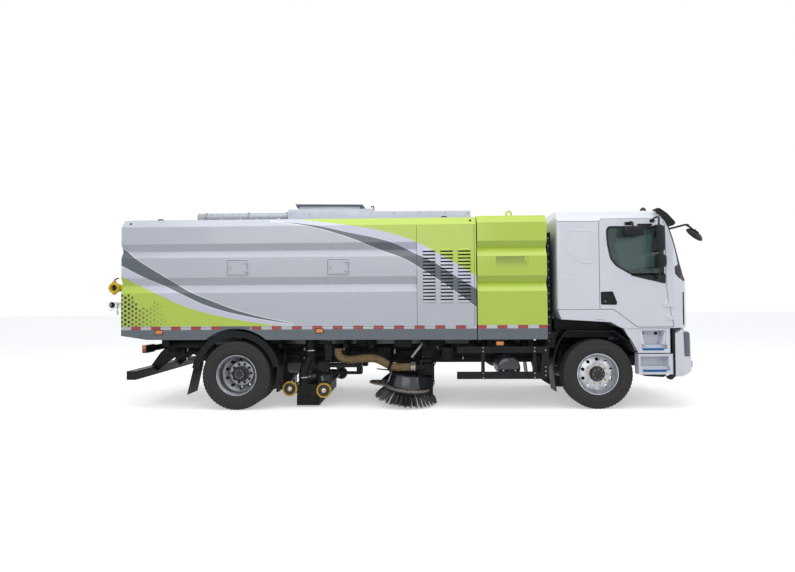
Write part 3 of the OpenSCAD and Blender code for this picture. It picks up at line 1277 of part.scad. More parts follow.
chassis_frame();
front_axle();
rear_axle();
drive_motor();
power_cabinet();
battery_pack();
front_bumper();
lamps();
lower_steps();
side_guards();
wheel_fenders();
underrun_bar();
air_tank();
suction_hoses();
sweep_hoses();
brush_posts();
knuckle(1);  // knuckle_left
knuckle(-1);  // knuckle_right
tie_rod();
front_rim(1);  // front_rim_left
front_tyre(1);  // front_tyre_left
front_rim(-1);  // front_rim_right
front_tyre(-1);  // front_tyre_right
rear_rims(1);  // rear_rims_left
rear_tyres(1);  // rear_tyres_left
rear_rims(-1);  // rear_rims_right
rear_tyres(-1);  // rear_tyres_right
cab_shell();
windscreen();
dashboard();
seats();
cab_steps();
front_mirror();
door(1);  // door_left
door_glass(1);  // door_glass_left
mirrors(1);  // mirrors_left
door(-1);  // door_right
door_glass(-1);  // door_glass_right
mirrors(-1);  // mirrors_right
hopper_body();
roof_duct();
tailgate();
rear_couplings();
hatch(1, hatch_rear_x);  // hatch_rear_left
hatch(1, hatch_front_x);  // hatch_front_left
hatch(-1, hatch_rear_x);  // hatch_rear_right
hatch(-1, hatch_front_x);  // hatch_front_right
tip_barrel();
tip_rod();
brush_arm(1);  // brush_arm_left
brush(1);  // brush_left
brush_arm(-1);  // brush_arm_right
brush(-1);  // brush_right
nozzle();
nozzle_wheels_front();
nozzle_wheels_rear();
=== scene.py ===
import json
import math
import random

import bmesh
import bpy
from mathutils import Matrix, Vector

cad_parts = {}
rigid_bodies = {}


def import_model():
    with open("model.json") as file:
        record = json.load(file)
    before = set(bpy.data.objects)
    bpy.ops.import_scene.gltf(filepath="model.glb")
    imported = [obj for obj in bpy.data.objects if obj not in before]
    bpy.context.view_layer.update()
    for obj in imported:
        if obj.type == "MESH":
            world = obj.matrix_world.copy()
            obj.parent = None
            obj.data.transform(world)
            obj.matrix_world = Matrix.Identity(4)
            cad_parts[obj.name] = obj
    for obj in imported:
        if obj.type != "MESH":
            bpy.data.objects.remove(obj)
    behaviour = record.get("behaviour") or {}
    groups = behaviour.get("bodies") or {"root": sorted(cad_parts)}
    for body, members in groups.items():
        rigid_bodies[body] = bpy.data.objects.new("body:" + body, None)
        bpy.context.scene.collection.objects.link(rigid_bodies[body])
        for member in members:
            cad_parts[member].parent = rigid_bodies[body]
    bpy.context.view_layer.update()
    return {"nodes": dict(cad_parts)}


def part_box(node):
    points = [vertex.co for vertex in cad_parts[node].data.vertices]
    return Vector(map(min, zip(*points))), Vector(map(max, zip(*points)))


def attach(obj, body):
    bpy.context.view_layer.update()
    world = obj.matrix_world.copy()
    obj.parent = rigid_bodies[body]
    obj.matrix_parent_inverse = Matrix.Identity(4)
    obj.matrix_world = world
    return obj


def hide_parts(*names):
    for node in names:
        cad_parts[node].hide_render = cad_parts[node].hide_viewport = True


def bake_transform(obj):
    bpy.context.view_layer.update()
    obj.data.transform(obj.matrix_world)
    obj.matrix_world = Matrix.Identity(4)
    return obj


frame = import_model()
nodes = frame["nodes"]

# Lengths below are millimetres from the front axle: X forward, Y left, Z up from the ground.
tyre_low, tyre_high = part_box("front_tyre_left")
AXLE_X = (tyre_low.x + tyre_high.x) / 2
REAR_AXLE = round((sum(c.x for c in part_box("rear_tyres_left")) / 2 - AXLE_X) * 1000)
BODY_REAR = -6972
BODY_FRONT = -1753
BODY_Y = 1250
CAB_Y = 1240
TYRE_R = 505
FRONT_TYRE_Y = 1035                 # middle of a front tyre
FRONT_DISC_Y = FRONT_TYRE_Y + 72    # outer face of a front wheel's disc
REAR_DISC_Y = 935                   # flat of the outer rear wheel's deep disc
STUD_R = 285.75 / 2                 # circle of the ten wheel nuts
TANK_X, TANK_Z = -1264, 590         # axis of the air tanks
SIDES = (-1, 1)
SIDE_NAME = {-1: "right", 1: "left"}


def place(x, y, z):
    return Vector((AXLE_X + x / 1000, y / 1000, z / 1000))


# ------------------------------------------------------------------ shapes

# an outline's point and a height along an axis, as a place in the truck
LIFT = {
    "x": lambda p, h: (h, p[0], p[1]),
    "y": lambda p, h: (p[0], h, p[1]),
    "z": lambda p, h: (p[0], p[1], h)}


class Shape:
    """Collects closed shapes, given in millimetres from the front axle, into one mesh."""

    def __init__(self, turn=None):
        self.bm = bmesh.new()
        self.turn = turn

    def add(self, points, faces):
        if self.turn is not None:
            points = [self.turn @ Vector(p) for p in points]
        verts = [self.bm.verts.new(place(*p)) for p in points]
        made = [self.bm.faces.new([verts[i] for i in f]) for f in faces]
        bmesh.ops.recalc_face_normals(self.bm, faces=made)
        return made

    def box(self, a, b):
        """A box between two corners."""
        points = [(x, y, z) for x in (a[0], b[0]) for y in (a[1], b[1]) for z in (a[2], b[2])]
        self.add(points, [(0, 1, 3, 2), (4, 6, 7, 5), (0, 4, 5, 1), (2, 3, 7, 6), (0, 2, 6, 4), (1, 5, 7, 3)])

    def prism(self, outline, low, high, axis="y"):
        """An outline pulled from low to high along an axis; it is given in the other two axes."""
        n = len(outline)
        put = LIFT[axis]
        points = [put(p, low) for p in outline] + [put(p, high) for p in outline]
        faces = [tuple(range(n)), tuple(range(n, 2 * n))]
        faces += [(i, (i + 1) % n, n + (i + 1) % n, n + i) for i in range(n)]
        self.add(points, faces)

    def band(self, outer, inner, low, high, axis="y"):
        """A closed frame between two outlines of as many points."""
        put = LIFT[axis]
        self.frame([put(p, h) for h in (low, high) for line in (outer, inner) for p in line])

    def frame(self, points):
        """A closed frame; its points are the outer and inner outline, low and then high."""
        n = len(points) // 4
        faces = []
        for i in range(n):
            j = (i + 1) % n
            faces += [(i, j, n + j, n + i), (2 * n + i, 2 * n + j, 3 * n + j, 3 * n + i),
                      (i, j, 2 * n + j, 2 * n + i), (n + i, n + j, 3 * n + j, 3 * n + i)]
        self.add(points, faces)

    def lathe(self, centre, axis, section, sides=48, closed=True):
        """A ring or a body turned about an axis; section is (radius, place along the axis) pairs."""
        turn = Vector((0, 0, 1)).rotation_difference(Vector(axis).normalized()).to_matrix()
        points, rings = [], []
        for r, h in section:
            if r < 1e-6:
                rings.append([len(points)] * sides)
                points.append(Vector(centre) + turn @ Vector((0, 0, h)))
            else:
                rings.append(list(range(len(points), len(points) + sides)))
                for k in range(sides):
                    a = 2 * math.pi * k / sides
                    points.append(Vector(centre) + turn @ Vector((r * math.cos(a), r * math.sin(a), h)))
        faces = []
        count = len(section) if closed else len(section) - 1
        for s in range(count):
            a, b = rings[s], rings[(s + 1) % len(section)]
            for k in range(sides):
                j = (k + 1) % sides
                ring = []
                for v in (a[k], a[j], b[j], b[k]):
                    if v not in ring:
                        ring.append(v)
                if len(ring) > 2:
                    faces.append(tuple(ring))
        self.add(points, faces)

    def rod(self, a, b, r, sides=20):
        """A closed cylinder from a to b."""
        line = Vector(b) - Vector(a)
        self.lathe(a, line, rect(0, r, 0, line.length), sides, closed=False)

    def tube(self, path, r, sides):
        """A closed tube along points; r is a radius or one for each point."""
        path = [Vector(p) for p in path]
        n = len(path)
        radii = r if isinstance(r, (list, tuple)) else [r] * n
        points, up = [], None
        for i, p in enumerate(path):
            t = (path[min(i + 1, n - 1)] - path[max(i - 1, 0)]).normalized()
            if up is None:
                up = Vector((0, 0, 1)) if abs(t.z) < 0.9 else Vector((1, 0, 0))
            side = t.cross(up).normalized()
            up = side.cross(t).normalized()
            for k in range(sides):
                a = 2 * math.pi * k / sides
                points.append(p + radii[i] * (math.cos(a) * side + math.sin(a) * up))
        faces = [(i * sides + k, (i + 1) * sides + k, (i + 1) * sides + (k + 1) % sides,
                  i * sides + (k + 1) % sides) for i in range(n - 1) for k in range(sides)]
        faces += [tuple(range(sides)), tuple((n - 1) * sides + k for k in range(sides))]
        self.add(points, faces)

    def scatter(self, mesh):
        """Adds the finished mesh of a repeat, in metres, and frees it."""
        self.bm.from_mesh(mesh)
        bpy.data.meshes.remove(mesh)

    def done(self, name, body, material, slot, bevel=0, segments=2, smooth=35):
        """Makes the object, rounds its edges, gives it its finish and rides it on its body."""
        mesh = bpy.data.meshes.new(name)
        self.bm.to_mesh(mesh)
        self.bm.free()
        piece = bpy.data.objects.new(name, mesh)
        bpy.context.scene.collection.objects.link(piece)
        if bevel:
            edge = piece.modifiers.new("edge", "BEVEL")
            edge.width = bevel / 1000
            edge.segments = segments
            edge.limit_method = "ANGLE"
            edge.angle_limit = math.radians(30)
            edge.harden_normals = True
            settle(piece)
        shade(piece.data, smooth)
        piece.data.materials.clear()
        piece.data.materials.append(material)
        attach(piece, body)
        return piece


def settle(piece):
    """Turns a piece and its modifiers into one plain mesh."""
    bpy.context.view_layer.update()
    graph = bpy.context.evaluated_depsgraph_get()
    mesh = bpy.data.meshes.new_from_object(piece.evaluated_get(graph))
    piece.modifiers.clear()
    old = piece.data
    piece.data = mesh
    bpy.data.meshes.remove(old)


def shade(mesh, angle):
    mesh.polygons.foreach_set("use_smooth", [angle > 0] * len(mesh.polygons))
    if 0 < angle < 180:
        mesh.set_sharp_from_angle(angle=math.radians(angle))


def smooth_path(points, steps):
    """A smooth line through points, with some steps a stretch."""
    out = []
    pts = [Vector(p) for p in points]
    for i in range(len(pts) - 1):
        a, b, c, d = pts[max(i - 1, 0)], pts[i], pts[i + 1], pts[min(i + 2, len(pts) - 1)]
        for k in range(steps):
            t = k / steps
            out.append(0.5 * (2 * b + (c - a) * t + (2 * a - 5 * b + 4 * c - d) * t * t
                              + (3 * b - a - 3 * c + d) * t * t * t))
    out.append(pts[-1])
    return out


def inset(outline, d):
    """An outline drawn in by d, its corners kept; a negative d widens it."""
    n = len(outline)
    area = sum(outline[i][0] * outline[(i + 1) % n][1] - outline[(i + 1) % n][0] * outline[i][1]
               for i in range(n))
    turn = 1 if area > 0 else -1
    out = []
    for i in range(n):
        a, b, c = (Vector(outline[k % n]) for k in (i - 1, i, i + 1))
        u, v = (b - a).normalized(), (c - b).normalized()
        m = Vector((-u.y - v.y, u.x + v.x)) * turn
        m.normalize()
        out.append(tuple(b + m * (d / max(0.35, m.dot(Vector((-u.y, u.x)) * turn)))))
    return out


def rounded(outline, r, steps=3):
    """An outline with its corners rounded by about r."""
    n = len(outline)
    out = []
    for i in range(n):
        a, b, c = (Vector(outline[k % n]) for k in (i - 1, i, i + 1))
        k = min(r, (a - b).length * 0.45, (c - b).length * 0.45)
        p, q = b + (a - b).normalized() * k, b + (c - b).normalized() * k
        for s in range(steps + 1):
            t = s / steps
            out.append(tuple((1 - t) ** 2 * p + 2 * t * (1 - t) * b + t * t * q))
    return out


def rect(x0, x1, z0, z1):
    return [(x0, z0), (x1, z0), (x1, z1), (x0, z1)]


def span(side, near, far):
    """Two distances out from the middle on one side, as low and high Y."""
    return sorted((side * near, side * far))


# ------------------------------------------------------------------ node trees for what repeats

def new_tree(name, sizes):
    """A geometry tree with an input for its unit, one for its material, and one for each named size."""
    tree = bpy.data.node_groups.new(name, "GeometryNodeTree")
    tree.interface.new_socket("Geometry", in_out="INPUT", socket_type="NodeSocketGeometry")
    tree.interface.new_socket("Unit", in_out="INPUT", socket_type="NodeSocketObject")
    tree.interface.new_socket("Finish", in_out="INPUT", socket_type="NodeSocketMaterial")
    for label, kind in sizes:
        tree.interface.new_socket(label, in_out="INPUT", socket_type=kind)
    tree.interface.new_socket("Geometry", in_out="OUTPUT", socket_type="NodeSocketGeometry")
    start = tree.nodes.new("NodeGroupInput")
    end = tree.nodes.new("NodeGroupOutput")

    def node(kind, inputs=(), **settings):
        made = tree.nodes.new(kind)
        for key, value in settings.items():
            setattr(made, key, value)
        for key, value in inputs:
            if isinstance(value, bpy.types.NodeSocket):
                tree.links.new(value, made.inputs[key])
            else:
                made.inputs[key].default_value = value
        return made

    def close(points, rotation, scale):
        unit = node("GeometryNodeObjectInfo", [("Object", start.outputs["Unit"])])
        copies = node("GeometryNodeInstanceOnPoints", [("Points", points),
                                                       ("Instance", unit.outputs["Geometry"]),
                                                       ("Rotation", rotation), ("Scale", scale)])
        real = node("GeometryNodeRealizeInstances", [("Geometry", copies.outputs[0])])
        skin = node("GeometryNodeSetMaterial", [("Geometry", real.outputs[0]),
                                                ("Material", start.outputs["Finish"])])
        tree.links.new(skin.outputs[0], end.inputs[0])

    return tree, start, node, close


def ring_tree():
    """Copies of a unit round a circle about Z, each turned to face outwards, with a seeded jitter."""
    tree, start, node, close = new_tree("ring_of_copies", [("Count", "NodeSocketInt"),
                                                           ("Radius", "NodeSocketFloat"),
                                                           ("Jitter", "NodeSocketFloat"),
                                                           ("Seed", "NodeSocketInt")])
    circle = node("GeometryNodeMeshCircle", [("Vertices", start.outputs["Count"]),
                                             ("Radius", start.outputs["Radius"])])
    index = node("GeometryNodeInputIndex")
    turn = node("ShaderNodeMath", [(0, index.outputs[0]), (1, 2 * math.pi)], operation="MULTIPLY")
    share = node("ShaderNodeMath", [(0, turn.outputs[0]), (1, start.outputs["Count"])], operation="DIVIDE")
    wide = node("ShaderNodeMath", [(0, start.outputs["Jitter"]), (1, -1.0)], operation="MULTIPLY")
    loose = node("FunctionNodeRandomValue", [("Min", wide.outputs[0]), ("Max", start.outputs["Jitter"]),
                                             ("Seed", start.outputs["Seed"])],
        data_type="FLOAT")
    sway = node("FunctionNodeRandomValue", [("Min", wide.outputs[0]), ("Max", start.outputs["Jitter"]),
                                            ("Seed", start.outputs["Count"])],
        data_type="FLOAT")
    # the float sockets of a random value are its second pair
    for random_node in (loose, sway):
        tree.links.new(wide.outputs[0], random_node.inputs[2])
        tree.links.new(start.outputs["Jitter"], random_node.inputs[3])
    spun = node("ShaderNodeMath", [(0, share.outputs[0]), (1, loose.outputs[1])], operation="ADD")
    euler = node("ShaderNodeCombineXYZ", [("X", sway.outputs[1]), ("Y", loose.outputs[1]),
                                          ("Z", spun.outputs[0])])
    close(circle.outputs["Mesh"], euler.outputs[0], (1, 1, 1))
    return tree


def grid_tree():
    """Copies of a unit in rows and columns, in the plane of X and Y."""
    tree, start, node, close = new_tree("grid_of_copies", [("Columns", "NodeSocketInt"),
                                                           ("Rows", "NodeSocketInt"),
                                                           ("Wide", "NodeSocketFloat"),
                                                           ("High", "NodeSocketFloat")])
    grid = node("GeometryNodeMeshGrid", [("Vertices X", start.outputs["Columns"]),
                                         ("Vertices Y", start.outputs["Rows"]),
                                         ("Size X", start.outputs["Wide"]),
                                         ("Size Y", start.outputs["High"])])
    close(grid.outputs["Mesh"], (0, 0, 0), (1, 1, 1))
    return tree


TREES = {"ring": ring_tree(), "grid": grid_tree()}


def repeat(kind, unit, material, sizes, matrix):
    """The plain mesh that a tree makes of a unit, moved by a matrix."""
    holder = bpy.data.objects.new("holder", bpy.data.meshes.new("holder"))
    bpy.context.scene.collection.objects.link(holder)
    modifier = holder.modifiers.new("copies", "NODES")
    modifier.node_group = TREES[kind]
    names = {item.name: item.identifier for item in TREES[kind].interface.items_tree
             if item.in_out == "INPUT"}
    modifier[names["Unit"]] = unit
    modifier[names["Finish"]] = material
    for label, value in sizes.items():
        modifier[names[label]] = value
    bpy.context.view_layer.update()
    graph = bpy.context.evaluated_depsgraph_get()
    mesh = bpy.data.meshes.new_from_object(holder.evaluated_get(graph))
    mesh.transform(matrix)
    modifier.node_group = None
    bpy.data.objects.remove(holder)
    return mesh


def unit_of(build):
    """A unit object for the trees, built by a function at the origin, in millimetres."""
    shape = Shape()
    build(shape)
    mesh = bpy.data.meshes.new("unit")
    bmesh.ops.translate(shape.bm, verts=shape.bm.verts, vec=(-AXLE_X, 0, 0))
    shape.bm.to_mesh(mesh)
    shape.bm.free()
    unit = bpy.data.objects.new("unit", mesh)
    bpy.context.scene.collection.objects.link(unit)
    return unit


def drop(*units):
    for unit in units:
        bpy.data.objects.remove(unit)


def facing(x, y, z, axis):
    """The matrix that puts a unit's Z along an axis at a place."""
    turn = Vector((0, 0, 1)).rotation_difference(Vector(axis).normalized()).to_matrix().to_4x4()
    return Matrix.Translation(place(x, y, z)) @ turn


# ------------------------------------------------------------------ finishes

class Finish:
    """A procedural material on Object coordinates."""

    def __init__(self, name):
        self.material = bpy.data.materials.new(name)
        self.material.use_nodes = True
        self.tree = self.material.node_tree
        self.tree.nodes.clear()
        out = self.node("ShaderNodeOutputMaterial")
        self.shader = self.node("ShaderNodeBsdfPrincipled")
        self.tree.links.new(self.shader.outputs[0], out.inputs[0])
        self.coords = self.node("ShaderNodeTexCoord").outputs["Object"]
        self.split = None

    def node(self, kind, **settings):
        made = self.tree.nodes.new(kind)
        for key, value in settings.items():
            setattr(made, key, value)
        return made

    def put(self, socket, value):
        if isinstance(value, bpy.types.NodeSocket):
            self.tree.links.new(value, socket)
        elif isinstance(value, tuple) and len(value) == 3 and socket.type == "RGBA":
            socket.default_value = (*value, 1)
        else:
            socket.default_value = value

    def math(self, operation, a, b=0.0, c=None, clamp=False):
        made = self.node("ShaderNodeMath", operation=operation, use_clamp=clamp)
        self.put(made.inputs[0], a)
        self.put(made.inputs[1], b)
        if c is not None:
            self.put(made.inputs[2], c)
        return made.outputs[0]

    def times(self, a, b):
        return self.math("MULTIPLY", a, b)

    def plus(self, a, b):
        return self.math("ADD", a, b)

    def minus(self, a, b):
        return self.math("SUBTRACT", a, b)

    def above(self, a, b):
        """1 where a is more than b, else 0."""
        return self.math("GREATER_THAN", a, b)

    def below(self, a, b):
        return self.math("LESS_THAN", a, b)

    def length(self, a, b):
        """The long side over two lengths at a right angle."""
        return self.math("SQRT", self.plus(self.times(a, a), self.times(b, b)))

    def mix(self, share, a, b):
        made = self.node("ShaderNodeMix", data_type="RGBA")
        self.put(made.inputs[0], share)
        self.put(made.inputs[6], a)
        self.put(made.inputs[7], b)
        return made.outputs[2]

    def noise(self, scale, detail=3.0, rough=0.55, stretch=None):
        made = self.node("ShaderNodeTexNoise")
        coords = self.coords
        if stretch:
            moved = self.node("ShaderNodeMapping")
            moved.inputs["Scale"].default_value = stretch
            self.put(moved.inputs["Vector"], coords)
            coords = moved.outputs[0]
        self.put(made.inputs["Vector"], coords)
        made.inputs["Scale"].default_value = scale
        made.inputs["Detail"].default_value = detail
        made.inputs["Roughness"].default_value = rough
        return made.outputs["Fac"]

    def ramp(self, value, low, high):
        """0 at low, 1 at high, straight between."""
        made = self.node("ShaderNodeMapRange")
        self.put(made.inputs["Value"], value)
        made.inputs["From Min"].default_value = low
        made.inputs["From Max"].default_value = high
        return made.outputs[0]

    def z(self):
        return self.place()[2]

    def place(self):
        """X, Y and Z in millimetres from the front axle."""
        if self.split is None:
            made = self.node("ShaderNodeSeparateXYZ")
            self.put(made.inputs[0], self.coords)
            self.split = [self.math("MULTIPLY_ADD", made.outputs[0], 1000.0, -AXLE_X * 1000),
                          self.times(made.outputs[1], 1000.0), self.times(made.outputs[2], 1000.0)]
        return self.split

    def line(self, value, points):
        """A smooth line through (place, value) points, by a float curve."""
        lows = [min(p[i] for p in points) for i in range(2)]
        highs = [max(p[i] for p in points) for i in range(2)]
        share = self.ramp(value, lows[0], highs[0])
        made = self.node("ShaderNodeFloatCurve")
        curve = made.mapping.curves[0]
        shares = [((p[0] - lows[0]) / (highs[0] - lows[0]), (p[1] - lows[1]) / (highs[1] - lows[1]))
                  for p in points]
        curve.points[0].location = shares[0]
        curve.points[-1].location = shares[-1]
        for s in shares[1:-1]:
            curve.points.new(*s)
        made.mapping.update()
        self.put(made.inputs["Value"], share)
        return self.math("MULTIPLY_ADD", made.outputs[0], highs[1] - lows[1], lows[1])

    def finish(self, colour, rough, metal=0.0, coat=0.0, bump=None, bump_depth=0.0005, gloss=0.5):
        shader = self.shader
        self.put(shader.inputs["Base Color"], colour)
        self.put(shader.inputs["Roughness"], rough)
        self.put(shader.inputs["Metallic"], metal)
        shader.inputs["Coat Weight"].default_value = coat
        shader.inputs["Coat Roughness"].default_value = 0.08
        shader.inputs["IOR"].default_value = 1.5
        shader.inputs["Specular IOR Level"].default_value = gloss
        if bump is not None:
            made = self.node("ShaderNodeBump")
            made.inputs["Distance"].default_value = bump_depth
            made.inputs["Strength"].default_value = 1.0
            self.put(made.inputs["Height"], bump)
            self.put(shader.inputs["Normal"], made.outputs[0])
        return self.material


def linear(r, g, b):
    """A colour written as 0 to 255 display values, as the shader wants it."""
    return tuple((c / 255 / 12.92) if c / 255 <= 0.04045 else ((c / 255 + 0.055) / 1.055) ** 2.4
                 for c in (r, g, b))


def plain(name, colour, rough, metal=0.0, vary=0.12, scale=6.0, grain=90.0, depth=0.0003, coat=0.0,
          dust=None, gloss=0.5):
    """A painted, moulded or cast surface: mottled, unevenly glossy, fine in grain, dusty low down."""
    f = Finish(name)
    base = linear(*colour)
    patches = f.noise(scale, 4.0, 0.6)
    fine = f.noise(grain, 2.0, 0.5)
    dark = tuple(c * (1 - vary) for c in base)
    light = tuple(min(1.0, c * (1 + vary)) for c in base)
    tone = f.mix(f.ramp(patches, 0.3, 0.7), dark, light)
    shine = f.math("MULTIPLY_ADD", patches, 0.25, rough - 0.125, clamp=True)
    if dust:
        spread = f.times(f.ramp(f.z(), 1300.0, 100.0), f.ramp(f.noise(11.0, 5.0, 0.65), 0.42, 0.72))
        amount = f.times(spread, dust[1])
        tone = f.mix(amount, tone, linear(*dust[0]))
        shine = f.math("MAXIMUM", shine, f.times(amount, 0.95))
    return f.finish(tone, shine, metal, coat, fine, depth, gloss=gloss)


ROAD_DUST = (126, 116, 98)
SILVER = linear(198, 203, 212)
LAVENDER = linear(213, 215, 231)
LIME = linear(193, 219, 78)
SLATE = linear(91, 101, 108)
SKIRT = linear(95, 105, 113)
TAPE_RED = linear(168, 10, 16)
TAPE_SILVER = linear(203, 208, 214)
WHITE = linear(240, 242, 246)
TAPE_LOW, TAPE_HIGH = 1179.0, 1229.0
TAPE_PITCH = 298.0

# Edges of the sweeping stripes: place along X and height
FRONT_LIME = [(-4775, 2860), (-4332, 2799), (-3451, 2671), (-3057, 2592), (-2593, 2431), (-2347, 2298),
              (-2095, 2153), (-1753, 1940)]
FRONT_SLATE_TOP = [(-4775, 2775), (-4170, 2708), (-3657, 2598), (-3000, 2443), (-2594, 2251), (-2348, 2131),
                   (-2097, 1966), (-1753, 1752)]
FRONT_SLATE_LOW = [(-4775, 2775), (-4258, 2702), (-3745, 2568), (-3117, 2324), (-2783, 2194), (-2523, 2035),
                   (-2255, 1860), (-2020, 1693), (-1753, 1487)]
REAR_SLATE_TOP = [(BODY_REAR, 2385), (-6896, 2330), (-6680, 2177), (-6283, 1932), (-6070, 1795),
                  (-5584, 1583), (-5159, 1431), (-4408, 1262)]
REAR_SLATE_LOW = [(BODY_REAR, 2134), (-6572, 1928), (-6343, 1828), (-6038, 1690), (-5707, 1538),
                  (-5159, 1386), (-4408, 1258)]
REAR_LIME = [(BODY_REAR, 1985), (-6800, 1875), (-6646, 1799), (-6406, 1694), (-6069, 1541), (-5766, 1441),
             (-5342, 1342), (-4649, 1232)]
DOT_EDGE = [(-6980, 1725), (-6860, 1700), (-6760, 1590), (-6640, 1500), (-6520, 1560), (-6440, 1610),
            (-6330, 1420), (-6240, 1250)]


def between(f, value, low, high):
    return f.times(f.above(value, low), f.below(value, high))


def tape_and_skirt(f, tone, gap=None):
    """Adds the red and silver tape and the slate skirt below it."""
    x, y, z = f.place()
    wave = f.math("FRACT", f.math("DIVIDE", f.plus(x, 6822.0 + 30 * TAPE_PITCH), TAPE_PITCH))
    tape = f.mix(f.below(wave, 0.487), TAPE_SILVER, TAPE_RED)
    honey = f.node("ShaderNodeTexVoronoi")
    f.put(honey.inputs["Vector"], f.coords)
    honey.inputs["Scale"].default_value = 160.0
    tape = f.mix(f.times(f.ramp(honey.outputs["Distance"], 0.35, 0.6), 0.08), tape, WHITE)
    sides = f.math("MAXIMUM", f.above(f.math("ABSOLUTE", y), 1236.0), f.below(x, BODY_REAR + 6.0))
    on_tape = f.times(between(f, z, TAPE_LOW, TAPE_HIGH), sides)
    if gap:
        on_tape = f.times(on_tape, f.minus(1.0, between(f, x, *gap)))
    skirt = f.below(z, TAPE_HIGH)
    tone = f.mix(skirt, tone, SKIRT)
    return f.mix(on_tape, tone, tape)


def painted(f, tone):
    """The gloss, orange peel and faint dust of sprayed panels."""
    patches = f.noise(1.6, 4.0, 0.6)
    tone = f.mix(f.times(f.ramp(patches, 0.35, 0.75), 0.025), tone, (0.28, 0.28, 0.27))
    low = f.times(f.ramp(f.z(), 1500.0, 500.0), f.ramp(f.noise(7.0, 6.0, 0.7), 0.45, 0.75))
    tone = f.mix(f.times(low, 0.12), tone, linear(*ROAD_DUST))
    shine = f.math("MULTIPLY_ADD", patches, 0.12, 0.2)
    shine = f.math("MULTIPLY_ADD", low, 0.3, shine)
    return f.finish(tone, shine, 0.0, 0.35, f.noise(260.0, 2.0, 0.5), 0.00012)


def hopper_paint():
    f = Finish("hopper_paint")
    x, y, z = f.place()
    # painted shade: the silver is a little darker low down and lighter towards the top
    tone = f.mix(f.ramp(z, 1250.0, 2800.0), tuple(c * 0.97 for c in SILVER), SILVER)
    front_lime, front_top, front_low = (f.line(x, p) for p in (FRONT_LIME, FRONT_SLATE_TOP, FRONT_SLATE_LOW))
    rear_top, rear_low, rear_lime = (f.line(x, p) for p in (REAR_SLATE_TOP, REAR_SLATE_LOW, REAR_LIME))
    outside = f.math("MAXIMUM", f.above(f.math("ABSOLUTE", y), 1149.0), f.below(x, BODY_REAR + 40.0))
    ahead = f.above(x, -4775.0)
    behind = f.below(x, -4408.0)
    marks = f.mix(f.times(ahead, f.above(z, front_low)), tone, LAVENDER)
    marks = f.mix(f.times(behind, f.below(z, rear_low)), marks, LAVENDER)
    for edge, where in ((front_low, ahead), (rear_top, behind), (rear_low, behind)):
        near = f.below(f.math("ABSOLUTE", f.minus(z, edge)), 11.0)
        marks = f.mix(f.times(where, near), marks, WHITE)
    for low, high, where in ((front_low, front_top, ahead), (rear_low, rear_top, behind)):
        marks = f.mix(f.times(where, between(f, z, low, high)), marks, SLATE)
    marks = f.mix(f.times(ahead, f.above(z, front_lime)), marks, LIME)
    marks = f.mix(f.times(f.below(x, -4649.0), f.below(z, rear_lime)), marks, LIME)
    marks = dots(f, marks, rear_lime)
    tone = f.mix(outside, tone, marks)
    return painted(f, tape_and_skirt(f, tone, (-5487.0, -5051.0)))


def dots(f, tone, lime_edge):
    """Round dots in staggered columns that thin out and fade towards the front."""
    x, _, z = f.place()
    column = f.math("DIVIDE", f.minus(x, -6990.0), 54.0)
    number = f.math("FLOOR", column)
    odd = f.math("FRACT", f.times(number, 0.5))
    row = f.plus(f.math("DIVIDE", f.minus(z, 1200.0), 65.0), odd)
    across = f.times(f.minus(f.math("FRACT", column), 0.5), 54.0)
    up = f.times(f.minus(f.math("FRACT", row), 0.5), 65.0)
    away = f.length(across, up)
    cell = f.node("ShaderNodeCombineXYZ")
    f.put(cell.inputs[0], number)
    f.put(cell.inputs[1], f.math("FLOOR", row))
    chance = f.node("ShaderNodeTexWhiteNoise", noise_dimensions="2D")
    f.put(chance.inputs["Vector"], cell.outputs[0])
    middle = f.minus(z, up)
    edge = f.math("MULTIPLY_ADD", f.minus(chance.outputs["Value"], 0.5), 110.0, f.line(x, DOT_EDGE))
    shown = f.times(f.below(away, 22.0), f.below(middle, edge))
    shown = f.times(shown, f.below(x, -6240.0))
    shown = f.times(shown, f.below(f.plus(z, 20.0), lime_edge))
    fade = f.ramp(f.math("MULTIPLY_ADD", chance.outputs["Value"], 130.0, x), -6800.0, -6150.0)
    return f.mix(shown, tone, f.mix(fade, f.mix(f.ramp(fade, 0.0, 0.6), linear(16, 18, 14),
                                                linear(120, 108, 62)),
                                    LIME))


def cabinet_paint():
    f = Finish("cabinet_paint")
    x, _, z = f.place()
    tone = f.mix(f.ramp(f.noise(0.9, 2.0), 0.3, 0.7), tuple(c * 0.97 for c in LIME), LIME)
    # printed patch of small dots that thin out downwards
    column = f.math("DIVIDE", x, 23.0)
    odd = f.math("FRACT", f.times(f.math("FLOOR", column), 0.5))
    row = f.plus(f.math("DIVIDE", z, 24.0), odd)
    across = f.minus(f.math("FRACT", column), 0.5)
    up = f.minus(f.math("FRACT", row), 0.5)
    away = f.length(across, up)
    size = f.times(f.ramp(z, 1985.0, 2130.0), 0.42)
    size = f.times(size, f.above(f.noise(9.0, 2.0), 0.36))
    patch = f.times(between(f, z, 1985.0, 2222.0), between(f, x, -1467.0, -1003.0))
    dot = f.times(f.below(away, size), patch)
    tone = f.mix(dot, tone, f.mix(f.ramp(z, 1985.0, 2200.0), LIME, linear(88, 104, 66)))
    return painted(f, tape_and_skirt(f, tone))


def cab_paint():
    f = Finish("cab_paint")
    return painted(f, f.mix(f.ramp(f.noise(1.2, 3.0), 0.3, 0.7), linear(226, 229, 238),
                            linear(232, 235, 242)))


def glass(name, tint, clear):
    """Tinted glazing: a glossy skin that lets part of the light through."""
    f = Finish(name)
    streaks = f.noise(3.0, 4.0, 0.6, (1.0, 1.0, 0.35))
    f.finish(f.mix(streaks, linear(*tint), tuple(min(1.0, c * 1.3) for c in linear(*tint))),
             f.math("MULTIPLY_ADD", streaks, 0.05, 0.03))
    f.shader.inputs["Transmission Weight"].default_value = clear
    f.shader.inputs["IOR"].default_value = 1.45
    f.material.use_screen_refraction = False
    return f.material


